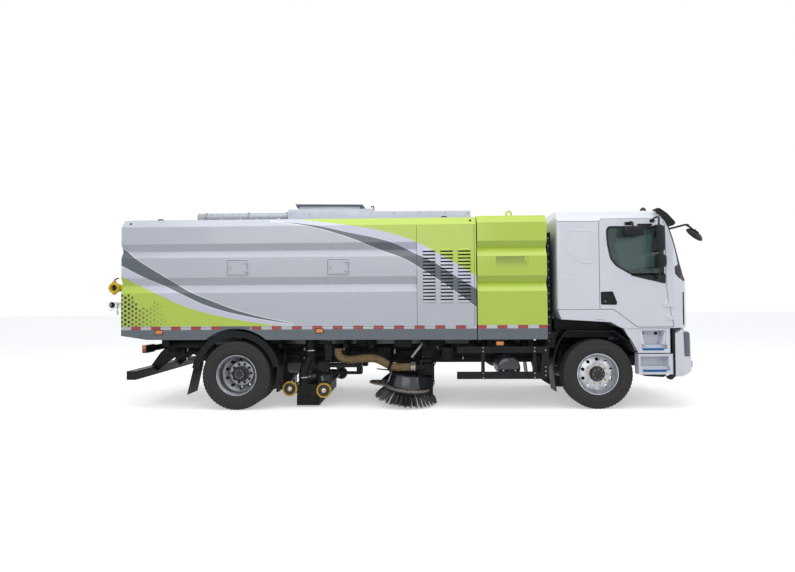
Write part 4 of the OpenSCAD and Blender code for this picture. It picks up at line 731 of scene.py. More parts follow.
def lens(name, colour):
    """A moulded lamp lens with fine ribs behind its skin."""
    f = Finish(name)
    ribs = f.node("ShaderNodeTexWave", bands_direction="Z")
    f.put(ribs.inputs["Vector"], f.coords)
    ribs.inputs["Scale"].default_value = 38.0
    tone = f.mix(f.times(ribs.outputs["Fac"], 0.45), linear(*colour),
                 tuple(min(1.0, c * 1.9 + 0.02) for c in linear(*colour)))
    return f.finish(tone, 0.16, 0.0, 0.6, ribs.outputs["Fac"], 0.0006)


def rubber_tyre():
    """Tyre rubber: dull, paler and dusty on the sidewall, with a fine radial lay."""
    f = Finish("tyre_rubber")
    patches = f.noise(5.0, 5.0, 0.65)
    tone = f.mix(f.ramp(patches, 0.3, 0.7), linear(31, 31, 32), linear(45, 44, 44))
    tone = f.mix(f.times(f.ramp(f.noise(22.0, 6.0, 0.7), 0.5, 0.8), 0.14), tone, linear(92, 86, 78))
    return f.finish(tone, f.math("MULTIPLY_ADD", patches, 0.2, 0.68), 0.0, 0.0, f.noise(150.0, 3.0), 0.0004)


def polished_steel(name, tone_low, tone_high, rough):
    """Polished wheel steel with turned lines and water marks."""
    f = Finish(name)
    patches = f.noise(9.0, 5.0, 0.6)
    tone = f.mix(f.ramp(patches, 0.25, 0.75), linear(*tone_low), linear(*tone_high))
    shine = f.math("MULTIPLY_ADD", patches, 0.22, rough - 0.08)
    return f.finish(tone, shine, 0.85, 0.0, f.noise(60.0, 4.0, 0.6), 0.00025)


def caster_skin():
    """A support wheel: black hub with a yellow tyre round it."""
    f = Finish("caster_skin")
    x, _, z = f.place()
    rings = []
    for node in ("nozzle_wheels_front", "nozzle_wheels_rear"):
        low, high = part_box(node)
        cx, cz = ((low.x + high.x) / 2 - AXLE_X) * 1000, (low.z + high.z) / 2 * 1000
        dx, dz = f.minus(x, cx), f.minus(z, cz)
        rings.append(f.length(dx, dz))
    away = f.math("MINIMUM", *rings)
    yellow = f.mix(f.ramp(f.noise(24.0, 5.0, 0.7), 0.45, 0.75), linear(226, 184, 48), linear(120, 96, 52))
    hub = f.mix(f.noise(30.0, 4.0), linear(22, 22, 23), linear(46, 44, 42))
    tone = f.mix(f.above(away, 87.0), hub, yellow)
    return f.finish(tone, f.math("MULTIPLY_ADD", f.noise(18.0), 0.3, 0.4), 0.0, 0.0, f.noise(120.0), 0.0004)


def coupling_skin():
    """The rear valve in yellow enamel and the outlet below it in worn steel."""
    f = Finish("coupling_skin")
    patches = f.noise(16.0, 5.0, 0.65)
    steel = f.mix(patches, linear(120, 118, 112), linear(196, 196, 192))
    enamel = f.mix(f.ramp(patches, 0.5, 0.75), linear(232, 198, 26), linear(160, 132, 40))
    upper = f.above(f.z(), 1690.0)
    metal = f.times(f.minus(1.0, upper), 0.8)
    return f.finish(f.mix(upper, steel, enamel), f.math("MULTIPLY_ADD", patches, 0.3, 0.25), metal, 0.0,
                    f.noise(140.0), 0.0003)


def worn_plate():
    """Grey painted steel, scuffed and rusty towards its edges and scratches."""
    f = Finish("worn_plate")
    patches = f.noise(7.0, 8.0, 0.7)
    spots = f.noise(38.0, 6.0, 0.7)
    tone = f.mix(f.ramp(patches, 0.35, 0.65), linear(104, 100, 96), linear(146, 138, 130))
    tone = f.mix(f.times(f.ramp(spots, 0.52, 0.68), 0.7), tone, linear(110, 78, 54))
    tone = f.mix(f.times(f.ramp(f.noise(90.0, 2.0), 0.6, 0.75), 0.4), tone, linear(190, 184, 176))
    return f.finish(tone, f.math("MULTIPLY_ADD", spots, 0.35, 0.4), 0.25, 0.0, spots, 0.0006)


def hose_cloth():
    """Coated fabric hose: cross woven ground, darker towards the bottom."""
    f = Finish("hose_cloth")
    weave = f.node("ShaderNodeTexWave", bands_direction="DIAGONAL")
    f.put(weave.inputs["Vector"], f.coords)
    weave.inputs["Scale"].default_value = 150.0
    grime = f.noise(8.0, 6.0, 0.7)
    tone = f.mix(f.ramp(grime, 0.35, 0.7), linear(160, 134, 92), linear(112, 92, 62))
    tone = f.mix(f.times(weave.outputs["Fac"], 0.2), tone, linear(190, 166, 124))
    # darker towards the bottom, by height
    tone = f.mix(f.times(f.ramp(f.z(), 760.0, 520.0), 0.35), tone, linear(86, 70, 46))
    return f.finish(tone, 0.75, 0.0, 0.0, weave.outputs["Fac"], 0.0008)


def seat_cloth():
    f = Finish("seat_cloth")
    weave = f.node("ShaderNodeTexVoronoi")
    f.put(weave.inputs["Vector"], f.coords)
    weave.inputs["Scale"].default_value = 420.0
    tone = f.mix(weave.outputs["Distance"], linear(36, 38, 43), linear(84, 86, 92))
    tone = f.mix(f.times(f.ramp(f.noise(5.0), 0.4, 0.7), 0.25), tone, linear(60, 62, 68))
    return f.finish(tone, 0.9, 0.0, 0.0, weave.outputs["Distance"], 0.0008)


def step_grip():
    """Blue grit strip on a step."""
    f = Finish("step_grip")
    grit = f.noise(420.0, 4.0, 0.8)
    tone = f.mix(f.ramp(grit, 0.4, 0.65), linear(14, 74, 140), linear(52, 132, 198))
    return f.finish(tone, 0.7, 0.0, 0.0, grit, 0.0012)


def bristle_skin():
    f = Finish("bristle_skin")
    strands = f.noise(60.0, 3.0, 0.6, (1.0, 1.0, 0.1))
    tone = f.mix(strands, linear(12, 13, 14), linear(52, 53, 55))
    return f.finish(tone, 0.42, 0.0, 0.1, strands, 0.0003)


M = {
    "hopper": hopper_paint(),
    "cabinet": cabinet_paint(),
    "cab": cab_paint(),
    "frame": plain("frame_paint", (14, 17, 21), 0.5, vary=0.25, gloss=0.18, dust=(ROAD_DUST, 0.14)),
    "black": plain("black_moulding", (20, 22, 26), 0.5, vary=0.15, gloss=0.25, grain=320.0, depth=0.0004,
                   dust=(ROAD_DUST, 0.1)),
    "gloss_black": plain("gloss_black", (10, 13, 16), 0.22, vary=0.1, gloss=0.4, depth=0.0001),
    "guard_black": plain("guard_black", (14, 17, 21), 0.42, vary=0.2, grain=140.0, gloss=0.2,
                         dust=(ROAD_DUST, 0.1)),
    "dash": plain("dash_moulding", (52, 54, 58), 0.62, vary=0.12, grain=420.0, depth=0.0006),
    "tyre": rubber_tyre(),
    "rim_front": polished_steel("front_rim_steel", (150, 154, 160), (206, 209, 214), 0.3),
    "rim_rear": polished_steel("rear_rim_steel", (112, 116, 122), (178, 181, 186), 0.38),
    "hub": plain("hub_iron", (48, 52, 58), 0.45, metal=0.3, vary=0.25, grain=70.0, depth=0.0006),
    "hub_black": plain("hub_black", (26, 27, 29), 0.4, vary=0.2, grain=80.0, depth=0.0005),
    "brass": plain("nut_brass", (204, 188, 160), 0.3, metal=0.7, vary=0.15),
    "steel": plain("bright_steel", (176, 178, 180), 0.3, metal=0.85, vary=0.18, grain=60.0),
    "bolt": plain("bolt_zinc", (150, 150, 148), 0.4, metal=0.7, vary=0.25),
    "galvanised": plain("galvanised", (178, 182, 188), 0.45, metal=0.4, vary=0.12, scale=18.0),
    "roof": plain("roof_grey", (198, 203, 212), 0.38, vary=0.08, grain=120.0, depth=0.0002),
    "slate": plain("slate_paint", (92, 102, 110), 0.4, vary=0.12),
    "louvre_shadow": plain("louvre_shadow", (20, 22, 24), 0.8, vary=0.1, gloss=0.1),
    "cast": plain("cast_iron", (34, 35, 38), 0.6, metal=0.2, gloss=0.3, vary=0.25, grain=60.0, depth=0.001,
                  dust=(ROAD_DUST, 0.22)),
    "motor": plain("motor_grey", (96, 100, 106), 0.45, metal=0.4, vary=0.18, grain=60.0, depth=0.0006,
                   dust=(ROAD_DUST, 0.18)),
    "battery": plain("battery_case", (120, 124, 128), 0.5, vary=0.1),
    "dome": plain("dome_moulding", (34, 38, 50), 0.24, vary=0.35, scale=9.0, grain=40.0, depth=0.0006,
                  coat=0.5),
    "plate": worn_plate(),
    "bristle": bristle_skin(),
    "cloth_hose": hose_cloth(),
    "rubber_hose": plain("rubber_hose", (24, 25, 27), 0.62, vary=0.25, gloss=0.25, grain=60.0, depth=0.0008,
                         dust=(ROAD_DUST, 0.22)),
    "rubber": plain("edge_rubber", (15, 16, 18), 0.6, vary=0.15, gloss=0.2),
    "seal": plain("panel_gap", (52, 55, 60), 0.7, vary=0.1),
    "amber": lens("amber_lens", (244, 128, 18)),
    "red": lens("red_lens", (176, 20, 20)),
    "clear": lens("clear_lens", (196, 206, 214)),
    "head_lens": glass("head_lens", (96, 110, 122), 0.25),
    "window": glass("window_glass", (120, 142, 140), 0.8),
    "screen": glass("screen_glass", (130, 150, 152), 0.8),
    "mirror": plain("mirror_silver", (92, 100, 110), 0.05, metal=1.0, vary=0.03, depth=0.0),
    "cloth": seat_cloth(),
    "grip": step_grip(),
    "caster": caster_skin(),
    "coupling": coupling_skin(),
    "chrome": plain("chromed_rod", (214, 216, 220), 0.1, metal=1.0, vary=0.05, depth=0.00005),
    "wire_red": plain("wire_red", (140, 26, 24), 0.45, vary=0.1),
    "plate_blank": plain("blank_plate", (214, 216, 218), 0.4, vary=0.03),
}

NODE_FINISH = {
    "chassis_frame": "frame", "front_axle": "cast", "rear_axle": "cast", "drive_motor": "motor",
    "power_cabinet": "cabinet", "battery_pack": "battery", "front_bumper": "cab", "lamps": "head_lens",
    "lower_steps": "cab", "side_guards": "guard_black", "wheel_fenders": "guard_black",
    "underrun_bar": "guard_black", "air_tank": "slate", "brush_posts": "frame",
    "knuckle_left": "cast", "knuckle_right": "cast", "tie_rod": "cast",
    "front_rim_left": "rim_front", "front_rim_right": "rim_front",
    "rear_rims_left": "rim_rear", "rear_rims_right": "rim_rear",
    "cab_shell": "cab", "windscreen": "screen", "dashboard": "dash", "cab_steps": "cab",
    "front_mirror": "black", "door_left": "cab", "door_right": "cab",
    "door_glass_left": "window", "door_glass_right": "window",
    "hopper_body": "hopper", "roof_duct": "roof", "tailgate": "hopper", "rear_couplings": "coupling",
    "hatch_rear_left": "hopper", "hatch_front_left": "hopper",
    "hatch_rear_right": "hopper", "hatch_front_right": "hopper",
    "tip_barrel": "gloss_black", "tip_rod": "chrome", "nozzle": "frame",
    "nozzle_wheels_front": "caster", "nozzle_wheels_rear": "caster",
}
for node, key in NODE_FINISH.items():
    for one in nodes[node].material_slots:
        one.material = M[key]

# ------------------------------------------------------------------ camera

CAMERA_PLACE = (-2642, -9378, 1601)
YAW, PITCH, ROLL = 0.0311, 0.0246, -0.0065
forward = Vector((-math.sin(YAW) * math.cos(PITCH), math.cos(YAW) * math.cos(PITCH), math.sin(PITCH)))
level = Vector((math.cos(YAW), math.sin(YAW), 0))
upward = level.cross(forward)
right = level * math.cos(ROLL) + upward * math.sin(ROLL)
above = upward * math.cos(ROLL) - level * math.sin(ROLL)
lens_data = bpy.data.cameras.new("camera")
lens_data.lens = 25.36
lens_data.sensor_width = 36
lens_data.clip_end = 200
camera = bpy.data.objects.new("camera", lens_data)
turn = Matrix((right, above, -forward)).transposed().to_4x4()
camera.matrix_world = Matrix.Translation(place(*CAMERA_PLACE)) @ turn
bpy.context.scene.collection.objects.link(camera)
bpy.context.scene.camera = camera

# ------------------------------------------------------------------ wheels

def tyre_half_section():
    """Half of a tyre's section from the bead to the middle of the tread: radius and place across."""
    return [(277, 36), (281.2, 88), (299, 98.5), (303, 104), (310, 116), (322, 126), (334, 131), (336, 133.5),
            (342, 133.5), (344, 131.5), (362, 135), (380, 137), (382, 138.4), (392, 138.4), (394, 137.2),
            (420, 136), (436, 134), (438, 136), (446, 136), (448, 133), (462, 131), (478, 127), (490, 123),
            (500, 118.5), (503.5, 110), (504.5, 98), (504.6, 92), (495, 90), (495, 80), (504.8, 78),
            (505, 52), (494, 50), (494, 40), (505, 38), (505, 14), (495, 12), (495, 0)]


def make_tyre(x, y, side, shape):
    """A road tyre with ribs round its tread, bars across its shoulders and rings on its sidewall."""
    half = tyre_half_section()
    section = half + [(r, -h) for r, h in reversed(half[:-1])]
    sides = 168
    turn = Vector((0, 0, 1)).rotation_difference(Vector((0, side, 0))).to_matrix()
    points = []
    for r, h in section:
        for k in range(sides):
            a = 2 * math.pi * k / sides
            rr = r
            if 78 < abs(h) < 121 and r > 499 and k % 3 == 0:
                rr = r - 7
            if 14 < abs(h) < 78 and r > 504 and k % 3 == (0 if abs(h) > 50 else 1):
                rr = r - 3
            points.append(Vector((x, y, TYRE_R)) + turn @ Vector((rr * math.cos(a), rr * math.sin(a), h)))
    n = len(section)
    faces = [(s * sides + k, s * sides + (k + 1) % sides, (s + 1) % n * sides + (k + 1) % sides,
              (s + 1) % n * sides + k) for s in range(n) for k in range(sides)]
    shape.add(points, faces)


for side in SIDES:
    shape = Shape()
    make_tyre(0, side * FRONT_TYRE_Y, side, shape)
    tyre = shape.done(f"front_tyre_tread_{SIDE_NAME[side]}", f"front_wheel_{SIDE_NAME[side]}",
                      M["tyre"], "tyre", smooth=40)
    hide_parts(f"front_tyre_{SIDE_NAME[side]}")
    shape = Shape()
    for y in (1100, 770):
        make_tyre(REAR_AXLE, side * y, side, shape)
    tyre = shape.done(f"rear_tyre_treads_{SIDE_NAME[side]}", f"rear_wheel_{SIDE_NAME[side]}",
                      M["tyre"], "tyre", smooth=40)
    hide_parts(f"rear_tyres_{SIDE_NAME[side]}")


def wheel_nut(shape):
    """A two piece wheel nut with its washer and stud end."""
    shape.lathe((0, 0, 0), (0, 0, 1), [(0, 0), (21, 0), (21, 4), (17, 5), (0, 5)], 18, closed=False)
    shape.lathe((0, 0, 5), (0, 0, 1), [(0, 0), (16, 0), (16, 19), (13.5, 22), (0, 22)], 6, closed=False)
    shape.lathe((0, 0, 24), (0, 0, 1), [(0, 0), (9, 0), (9, 10), (7.5, 12), (0, 12)], 12, closed=False)


def cover_bolt(shape):
    shape.lathe((0, 0, 0), (0, 0, 1), [(0, 0), (9, 0), (9, 3), (7.5, 8), (0, 8)], 6, closed=False)


def round_stud(shape):
    shape.lathe((0, 0, 0), (0, 0, 1), [(0, 0), (8, 0), (8, 2), (5, 5), (0, 6)], 10, closed=False)


nut_unit, bolt_unit, stud_unit = unit_of(wheel_nut), unit_of(cover_bolt), unit_of(round_stud)


def bolt_circle(shape, unit, finish, count, radius, x, y, z, axis):
    """Adds a ring of units about an axis to a shape."""
    shape.scatter(repeat("ring", unit, finish,
                         {"Count": count, "Radius": radius / 1000, "Jitter": 0.0, "Seed": 1},
                         matrix=facing(x, y, z, axis)))


for side in SIDES:
    label = SIDE_NAME[side]
    face = side * FRONT_DISC_Y
    shape = Shape()
    bolt_circle(shape, nut_unit, M["brass"], 10, STUD_R, 0, face, TYRE_R, (0, side, 0))
    shape.done(f"front_wheel_nuts_{label}", f"front_wheel_{label}", M["brass"], "chrome", smooth=30)
    shape = Shape()
    out = (0, side, 0)
    shape.lathe((0, face + side * 0.5, TYRE_R), out,
                [(93, 0), (112, 0), (112, 8), (104, 16), (97, 40), (94, 58), (94, 62), (90, 66), (52, 68),
                 (48, 76), (44, 80), (0, 80), (0, 58), (93, 58)], 64, closed=False)
    shape.lathe((0, face + side * 80, TYRE_R), out, [(0, 0), (27, 0), (27, 6), (19, 9), (17, 4), (0, 4)], 32,
                closed=False)
    shape.done(f"front_hub_cover_{label}", f"front_wheel_{label}", M["hub_black"], "cast", bevel=1.5)
    shape = Shape()
    bolt_circle(shape, bolt_unit, M["bolt"], 8, 72, 0, face + side * 66, TYRE_R, out)
    shape.rod((40, face + side * 30, TYRE_R + 205), (40, face - side * 10, TYRE_R + 222), 5)
    shape.done(f"front_hub_bolts_{label}", f"front_wheel_{label}", M["bolt"], "steel", smooth=30)
    # rear: dark nuts on the deep disc, hub flange and axle end
    disc = side * (REAR_DISC_Y + 14)
    shape = Shape()
    bolt_circle(shape, nut_unit, M["hub"], 10, STUD_R, REAR_AXLE, disc, TYRE_R, out)
    shape.done(f"rear_wheel_nuts_{label}", f"rear_wheel_{label}", M["hub"], "cast", smooth=30)
    shape = Shape()
    hub = side * (REAR_DISC_Y + 125)
    shape.lathe((REAR_AXLE, hub - side * 39, TYRE_R), out, [(83, 0), (116, 0), (116, 10), (108, 16), (88, 22),
                                                            (84, 38), (84, 46), (78, 50), (34, 50), (30, 44),
                                                            (0, 44), (0, 30), (83, 30)], 64, closed=False)
    shape.done(f"rear_hub_flange_{label}", f"rear_wheel_{label}", M["hub"], "cast", bevel=1.5)
    shape = Shape()
    bolt_circle(shape, bolt_unit, M["bolt"], 10, 60, REAR_AXLE, hub + side * 11, TYRE_R, out)
    shape.rod((REAR_AXLE - 60, hub - side * 40, TYRE_R + 205),
              (REAR_AXLE - 60, hub + side * 12, TYRE_R + 228), 5)
    shape.done(f"rear_hub_bolts_{label}", f"rear_wheel_{label}", M["bolt"], "steel", smooth=30)

# ------------------------------------------------------------------ cab

QUARTER_OUTER = [(-463, 2585), (-457, 2290), (-267, 2112), (-103, 2099), (-63, 2150), (-66, 2590),
                 (-439, 2608)]
QUARTER_INNER = [(-403, 2564), (-400, 2279), (-259, 2158), (-140, 2157), (-119, 2190), (-119, 2553),
                 (-380, 2568)]
WINDOW = [(121, 2586), (129, 2430), (137, 2353), (176, 2170), (254, 2069), (468, 1944), (925, 1941),
          (918, 2560), (900, 2627), (152, 2635)]
SCREEN_LOW, SCREEN_HIGH, SCREEN_HALF = 2076, 2626, 1085
HANDLE = [(38, 1521), (245, 1517), (250, 1544), (193, 1693), (35, 1688)]


def screen_x(z):
    """Front face of the windscreen's opening at a height."""
    return 1187 - (z - 2070) * 185 / 568


def screen_ring(d):
    return [(-SCREEN_HALF + d, SCREEN_LOW + 40), (-SCREEN_HALF + d + 40, SCREEN_LOW + d),
            (SCREEN_HALF - d - 40, SCREEN_LOW + d), (SCREEN_HALF - d, SCREEN_LOW + 40),
            (SCREEN_HALF - d - 45, SCREEN_HIGH - 50), (SCREEN_HALF - d - 110, SCREEN_HIGH - d),
            (-SCREEN_HALF + d + 110, SCREEN_HIGH - d), (-SCREEN_HALF + d + 45, SCREEN_HIGH - 50)]


def on_screen(ring, proud):
    return [(screen_x(z) + proud, y, z) for y, z in ring]


def screen_band(shape, outer, inner, low, high):
    """A frame lying on the windscreen's slope."""
    shape.frame([p for proud in (low, high) for ring in (outer, inner) for p in on_screen(ring, proud)])


shape = Shape()
screen_band(shape, rounded(screen_ring(-14), 30), rounded(screen_ring(34), 60), -20, 3)
shape.done("windscreen_seal", "cab", M["gloss_black"], "plastic_black", bevel=1)

# black cowl panel under the windscreen, bent over the front edge
shape = Shape()
cowl = [(1178, 2072), (1190, 2076), (1254, 1934), (1303, 1876), (1306, 1862), (1240, 1862)]
for y0, y1 in ((-1062, -700), (-699, -1), (1, 699), (700, 1062)):
    shape.prism(cowl, y0, y1)
for side in SIDES:
    shape.prism([(1172, 2072), (1184, 2076), (1238, 1936), (1276, 1876), (1272, 1862), (1214, 1862)],
                *span(side, 1063, 1108))
shape.done("cowl_panel", "cab", M["black"], "plastic_black", bevel=3)

# wipers parked on the screen
shape = Shape()
for y0 in (-620, 60):
    pivot = (1222, y0 + 560, 2030)
    tip = (screen_x(2130) + 16, y0 + 40, 2130)
    shape.tube([pivot, (1212, y0 + 430, 2062), (screen_x(2110) + 20, y0 + 240, 2110), tip], [9, 8, 6, 5], 8)
    shape.lathe((1216, y0 + 560, 2028), (1, 0, 0.4), [(0, 0), (20, 0), (18, 22), (0, 24)], 20, closed=False)
    a, b = Vector((screen_x(2096) + 9, y0 + 330, 2096)), Vector((screen_x(2160) + 9, y0 - 250, 2160))
    shape.tube([a, (a + b) / 2 + Vector((2, 0, 3)), b], [4, 6, 4], 6)
    for t in (0.2, 0.5, 0.8):
        p = a.lerp(b, t)
        shape.box(p - Vector((4, 18, 5)), p + Vector((8, 18, 5)))
shape.done("wipers", "cab", M["black"], "plastic_black", bevel=0.8)


# grille bars and panels of the front face
shape = Shape()
for k in range(6):
    z = 1272 + k * 46
    for y0, y1 in ((-780, -20), (20, 780)):
        shape.prism([(1376, z), (1396 if k != 3 else 1399, z + 6), (1394, z + 24), (1376, z + 30)], y0, y1)
shape.box((1372, -800, 1250), (1380, 800, 1545))
shape.done("front_grille", "cab", M["black"], "plastic_black", bevel=2)
shape = Shape()
for z0, z1 in ((1560, 1566), (1700, 1705)):
    shape.box((1380, -860, z0), (1389.5, 860, z1))
for side in SIDES:
    a, b = Vector((1236, side * 1130, 0)), Vector((1262, side * 1107, 0))
    n = Vector((0.68, side * 0.73, 0))
    base = [a - n * 14, b - n * 14, b + n * 4, a + n * 4]
    shape.prism([(v.x, v.y) for v in base], 1212, 1686, "z")
shape.done("front_panel_gaps", "cab", M["louvre_shadow"], "plastic_black", bevel=1)

shape = Shape()
for side in SIDES:
    lo, hi = span(side, CAB_Y - 2.8, CAB_Y + 1.2)
    # drip seam along the roof's edge, low seam, rear corner seam
    shape.prism([(-574, 2722), (-83, 2717), (4, 2720), (4, 2715), (-83, 2712), (-574, 2716)], lo, hi)
    shape.prism([(-590, 1450), (8, 1446), (8, 1441), (-590, 1445)], lo, hi)
    shape.prism([(-40, 1300), (80, 1296), (80, 1292), (-40, 1296)], lo, hi)
shape.done("cab_seams", "cab", M["seal"], "cab_white", smooth=0)

# pressed blank of the rear quarter
for side in SIDES:
    shape = Shape()
    lo, hi = span(side, CAB_Y - 3, CAB_Y + 5)
    outer = rounded(QUARTER_OUTER, 30)
    shape.band(outer, rounded(inset(QUARTER_OUTER, 34), 22), lo, hi)
    shape.done(f"quarter_moulding_{SIDE_NAME[side]}", "cab", M["cab"], "cab_white", bevel=4, segments=2,
               smooth=12)
    shape = Shape()
    lo, hi = span(side, CAB_Y - 3, CAB_Y + 4)
    shape.prism(rounded(QUARTER_INNER, 20), lo, hi)
    shape.done(f"quarter_blank_{SIDE_NAME[side]}", "cab", M["cab"], "cab_white", bevel=3.5, segments=2,
               smooth=12)
    # soft swage below the blank and up the rear edge
    shape = Shape()
    lo, hi = span(side, CAB_Y - 4, CAB_Y + 2.5)
    shape.prism(rounded([(-545, 1962), (-500, 1912), (-420, 1886), (-120, 1880), (-120, 1872), (-425, 1876),
                         (-510, 1902), (-553, 1955)], 6), lo, hi)
    shape.prism([(-553, 1955), (-545, 1962), (-547, 2620), (-556, 2620)], lo, hi)
    shape.done(f"rear_swage_{SIDE_NAME[side]}", "cab", M["cab"], "cab_white", bevel=2)

# doors: window rubber, black corner below the glass, handle and lock
for side in SIDES:
    body = f"door_{SIDE_NAME[side]}"
    out = side * CAB_Y
    shape = Shape()
    lo, hi = sorted((out - side * 21, out + side * 2))
    shape.band(rounded(inset(WINDOW, -9), 34), rounded(inset(WINDOW, 17), 26), lo, hi)
    shape.prism([(455, 1954), (466, 1925), (640, 1880), (800, 1842), (949, 1806), (953, 1940), (935, 1958)],
                lo, hi)
    shape.done(f"window_rubber_{SIDE_NAME[side]}", body, M["gloss_black"], "plastic_black", bevel=2)
    shape = Shape()
    lo, hi = sorted((out - side * 23.5, out - side * 9))
    shape.prism(rounded(inset(HANDLE, 1.2), 12), lo, hi)
    lo, hi = sorted((out + side * 1.5, out - side * 15))
    shape.prism(rounded([(31, 1642), (217, 1642), (230, 1598), (31, 1598)], 10), lo, hi)
    lo, hi = sorted((out - side * 10, out - side * 3))
    shape.prism(rounded(rect(120, 150, 1524, 1600), 6), lo, hi)
    shape.done(f"door_handle_{SIDE_NAME[side]}", body, M["black"], "plastic_black", bevel=2, segments=3)
    shape = Shape()
    lo, hi = sorted((out - side * 2, out + side * 3))
    shape.band(rounded(inset(HANDLE, -9), 16), rounded(inset(HANDLE, 2), 12), lo, hi)
    shape.done(f"handle_surround_{SIDE_NAME[side]}", body, M["black"], "plastic_black", bevel=1.5)
    shape = Shape()
    shape.lathe((95, out - side * 10, 1560), (0, side, 0), rect(0, 9, 0, 3), 20, closed=False)
    shape.done(f"door_lock_{SIDE_NAME[side]}", body, M["bolt"], "steel")


def mirror_shell(shape, low, high, side):
    """A mirror housing that bulges forwards."""
    x0, x1 = low[0], high[0]
    y0, y1 = span(side, abs(low[1]), abs(high[1]))
    rings = []
    for x, d in ((x0, 10), (x0 + 8, 0), (x0 + (x1 - x0) * 0.45, 0), (x1 - 18, 16), (x1, 44)):
        rings.append([(x, p[0], p[1]) for p in rounded(rect(y0 + d, y1 - d, low[2] + d, high[2] - d), 30, 4)])
    n = len(rings[0])
    points = [p for ring in rings for p in ring]
    faces = [tuple(range(n)), tuple((len(rings) - 1) * n + i for i in range(n))]
    faces += [(r * n + i, r * n + (i + 1) % n, (r + 1) * n + (i + 1) % n, (r + 1) * n + i)
              for r in range(len(rings) - 1) for i in range(n)]
    shape.add(points, faces)


for side in SIDES:
    body = f"door_{SIDE_NAME[side]}"
    y = -CAB_Y
    out = y - 150

    def flip(points):
        return [(p[0], -side * p[1], p[2]) for p in points]

    shape = Shape()
    mirror_shell(shape, (735, out - 90, 2252), (868, out + 90, 2632), side)
    mirror_shell(shape, (770, out - 66, 2026), (896, out + 94, 2224), side)
    # kerb mirror: a wide shallow hood looking down
    y0, y1 = span(side, abs(y - 175), abs(y - 66))
    rings = []
    for z, d in ((2494, 4), (2502, 0), (2560, 3), (2602, 16), (2624, 46)):
        plan = rounded(rect(318 + d, 590 - d, y0 + d * 0.6, y1 - d * 0.6), 34, 4)
        rings.append([(p[0], p[1], z) for p in plan])
    n = len(rings[0])
    shape.add([p for ring in rings for p in ring],
              [tuple(range(n)), tuple(4 * n + i for i in range(n))]
              + [(r * n + i, r * n + (i + 1) % n, (r + 1) * n + (i + 1) % n, (r + 1) * n + i)
                 for r in range(4) for i in range(n)])
    shell = shape.done(f"mirror_shells_{SIDE_NAME[side]}", body, M["black"], "plastic_black", bevel=2,
                       segments=3)
    shape = Shape()
    arms = [
        ([(770, y - 4, 2712), (780, y - 60, 2745), (800, out, 2740), (802, out, 2620)], 13),
        ([(820, out + 10, 2270), (850, out + 10, 2200)], 13),
        ([(830, out, 2046), (828, out + 30, 1990), (825, y - 60, 1900), (820, y - 4, 1880)], 13),
        ([(435, y - 4, 2680), (440, y - 60, 2692), (452, y - 108, 2674), (455, y - 115, 2616)], 13),
    ]
    for path, r in arms:
        shape.tube(smooth_path(flip(path), 6), r, 14)
    for x0, x1, z0, z1 in ((380, 490, 2655, 2700), (560, 770, 2640, 2672), (735, 805, 2690, 2735),
                           (790, 850, 1850, 1910)):
        lo, hi = span(side, CAB_Y + 0.6, CAB_Y + 12)
        shape.prism(rounded(rect(x0, x1, z0, z1), 14), lo, hi)
        for z in (z0 + 14, z1 - 14):
            shape.rod(((x0 + x1) / 2 - 18, side * (CAB_Y + 11), z),
                      ((x0 + x1) / 2 - 18, side * (CAB_Y + 16), z), 6, 12)
    shape.done(f"mirror_arms_{SIDE_NAME[side]}", body, M["gloss_black"], "plastic_black", bevel=1.5)
    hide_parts(f"mirrors_{SIDE_NAME[side]}")
    shape = Shape()
    y0, y1 = span(side, abs(out - 76), abs(out + 76))
    shape.prism(rounded(rect(y0, y1, 2268, 2616), 24), 733.2, 736, "x")
    y0, y1 = span(side, abs(out - 54), abs(out + 80))
    shape.prism(rounded(rect(y0, y1, 2040, 2210), 20), 768.2, 771, "x")
    shape.done(f"mirror_glasses_{SIDE_NAME[side]}", body, M["mirror"], "chrome")

# front mirror: glass on its inner face, rim, and the arm with its clamps
shape = Shape()
lean = Matrix.Rotation(math.radians(-50.7), 3, "Z") @ Matrix.Rotation(math.radians(45.6), 3, "Y")
centre = Vector((1516.7, -930, 2539))
axis = lean @ Vector((0, 0, 1))
shape.lathe(centre - axis * 10.5, axis, rect(0, 121, 0, 1.5), 64, closed=False)
shape.done("front_mirror_glass", "cab", M["mirror"], "chrome")
shape = Shape()
shape.lathe(centre, axis, [(128, -11), (137, -3), (137.5, 5), (131, 12), (128, 6)], 64)
shape.lathe(centre + axis * 50, axis, [(0, 0), (34, 0), (30, 16), (0, 18)], 24, closed=False)
path = smooth_path([(1090, -930, 2680), (1120, -930, 2648), (1160, -930, 2636), (1280, -930, 2664),
                    (1380, -930, 2689), (1412, -930, 2688), (1450, -930, 2660), (1487, -940, 2622),
                    tuple(centre + axis * 58)], 6)
shape.tube(path, 14.5, 16)
for t in (6, 30, 44):
    a, b = path[t], path[t + 1]
    shape.rod(a, a + (b - a).normalized() * 26, 20, 20)
shape.done("front_mirror_arm", "cab", M["black"], "plastic_black", bevel=1)

shape = Shape()
shape.lathe((905, -600, 2912), (0, 0, 1),
            [(0, 0), (66, 0), (64, 12), (50, 20), (46, 54), (36, 78), (18, 94), (0, 98)],
            40, closed=False)
shape.done("roof_beacon", "cab", M["gloss_black"], "lamp")
shape = Shape()
for y in (-700, -230, 230, 700):
    shape.prism(rounded([(820, 2915), (880, 2915), (862, 2940), (836, 2940)], 6), y - 45, y + 45)
shape.done("roof_marker_lamps", "cab", M["amber"], "lamp", bevel=2)

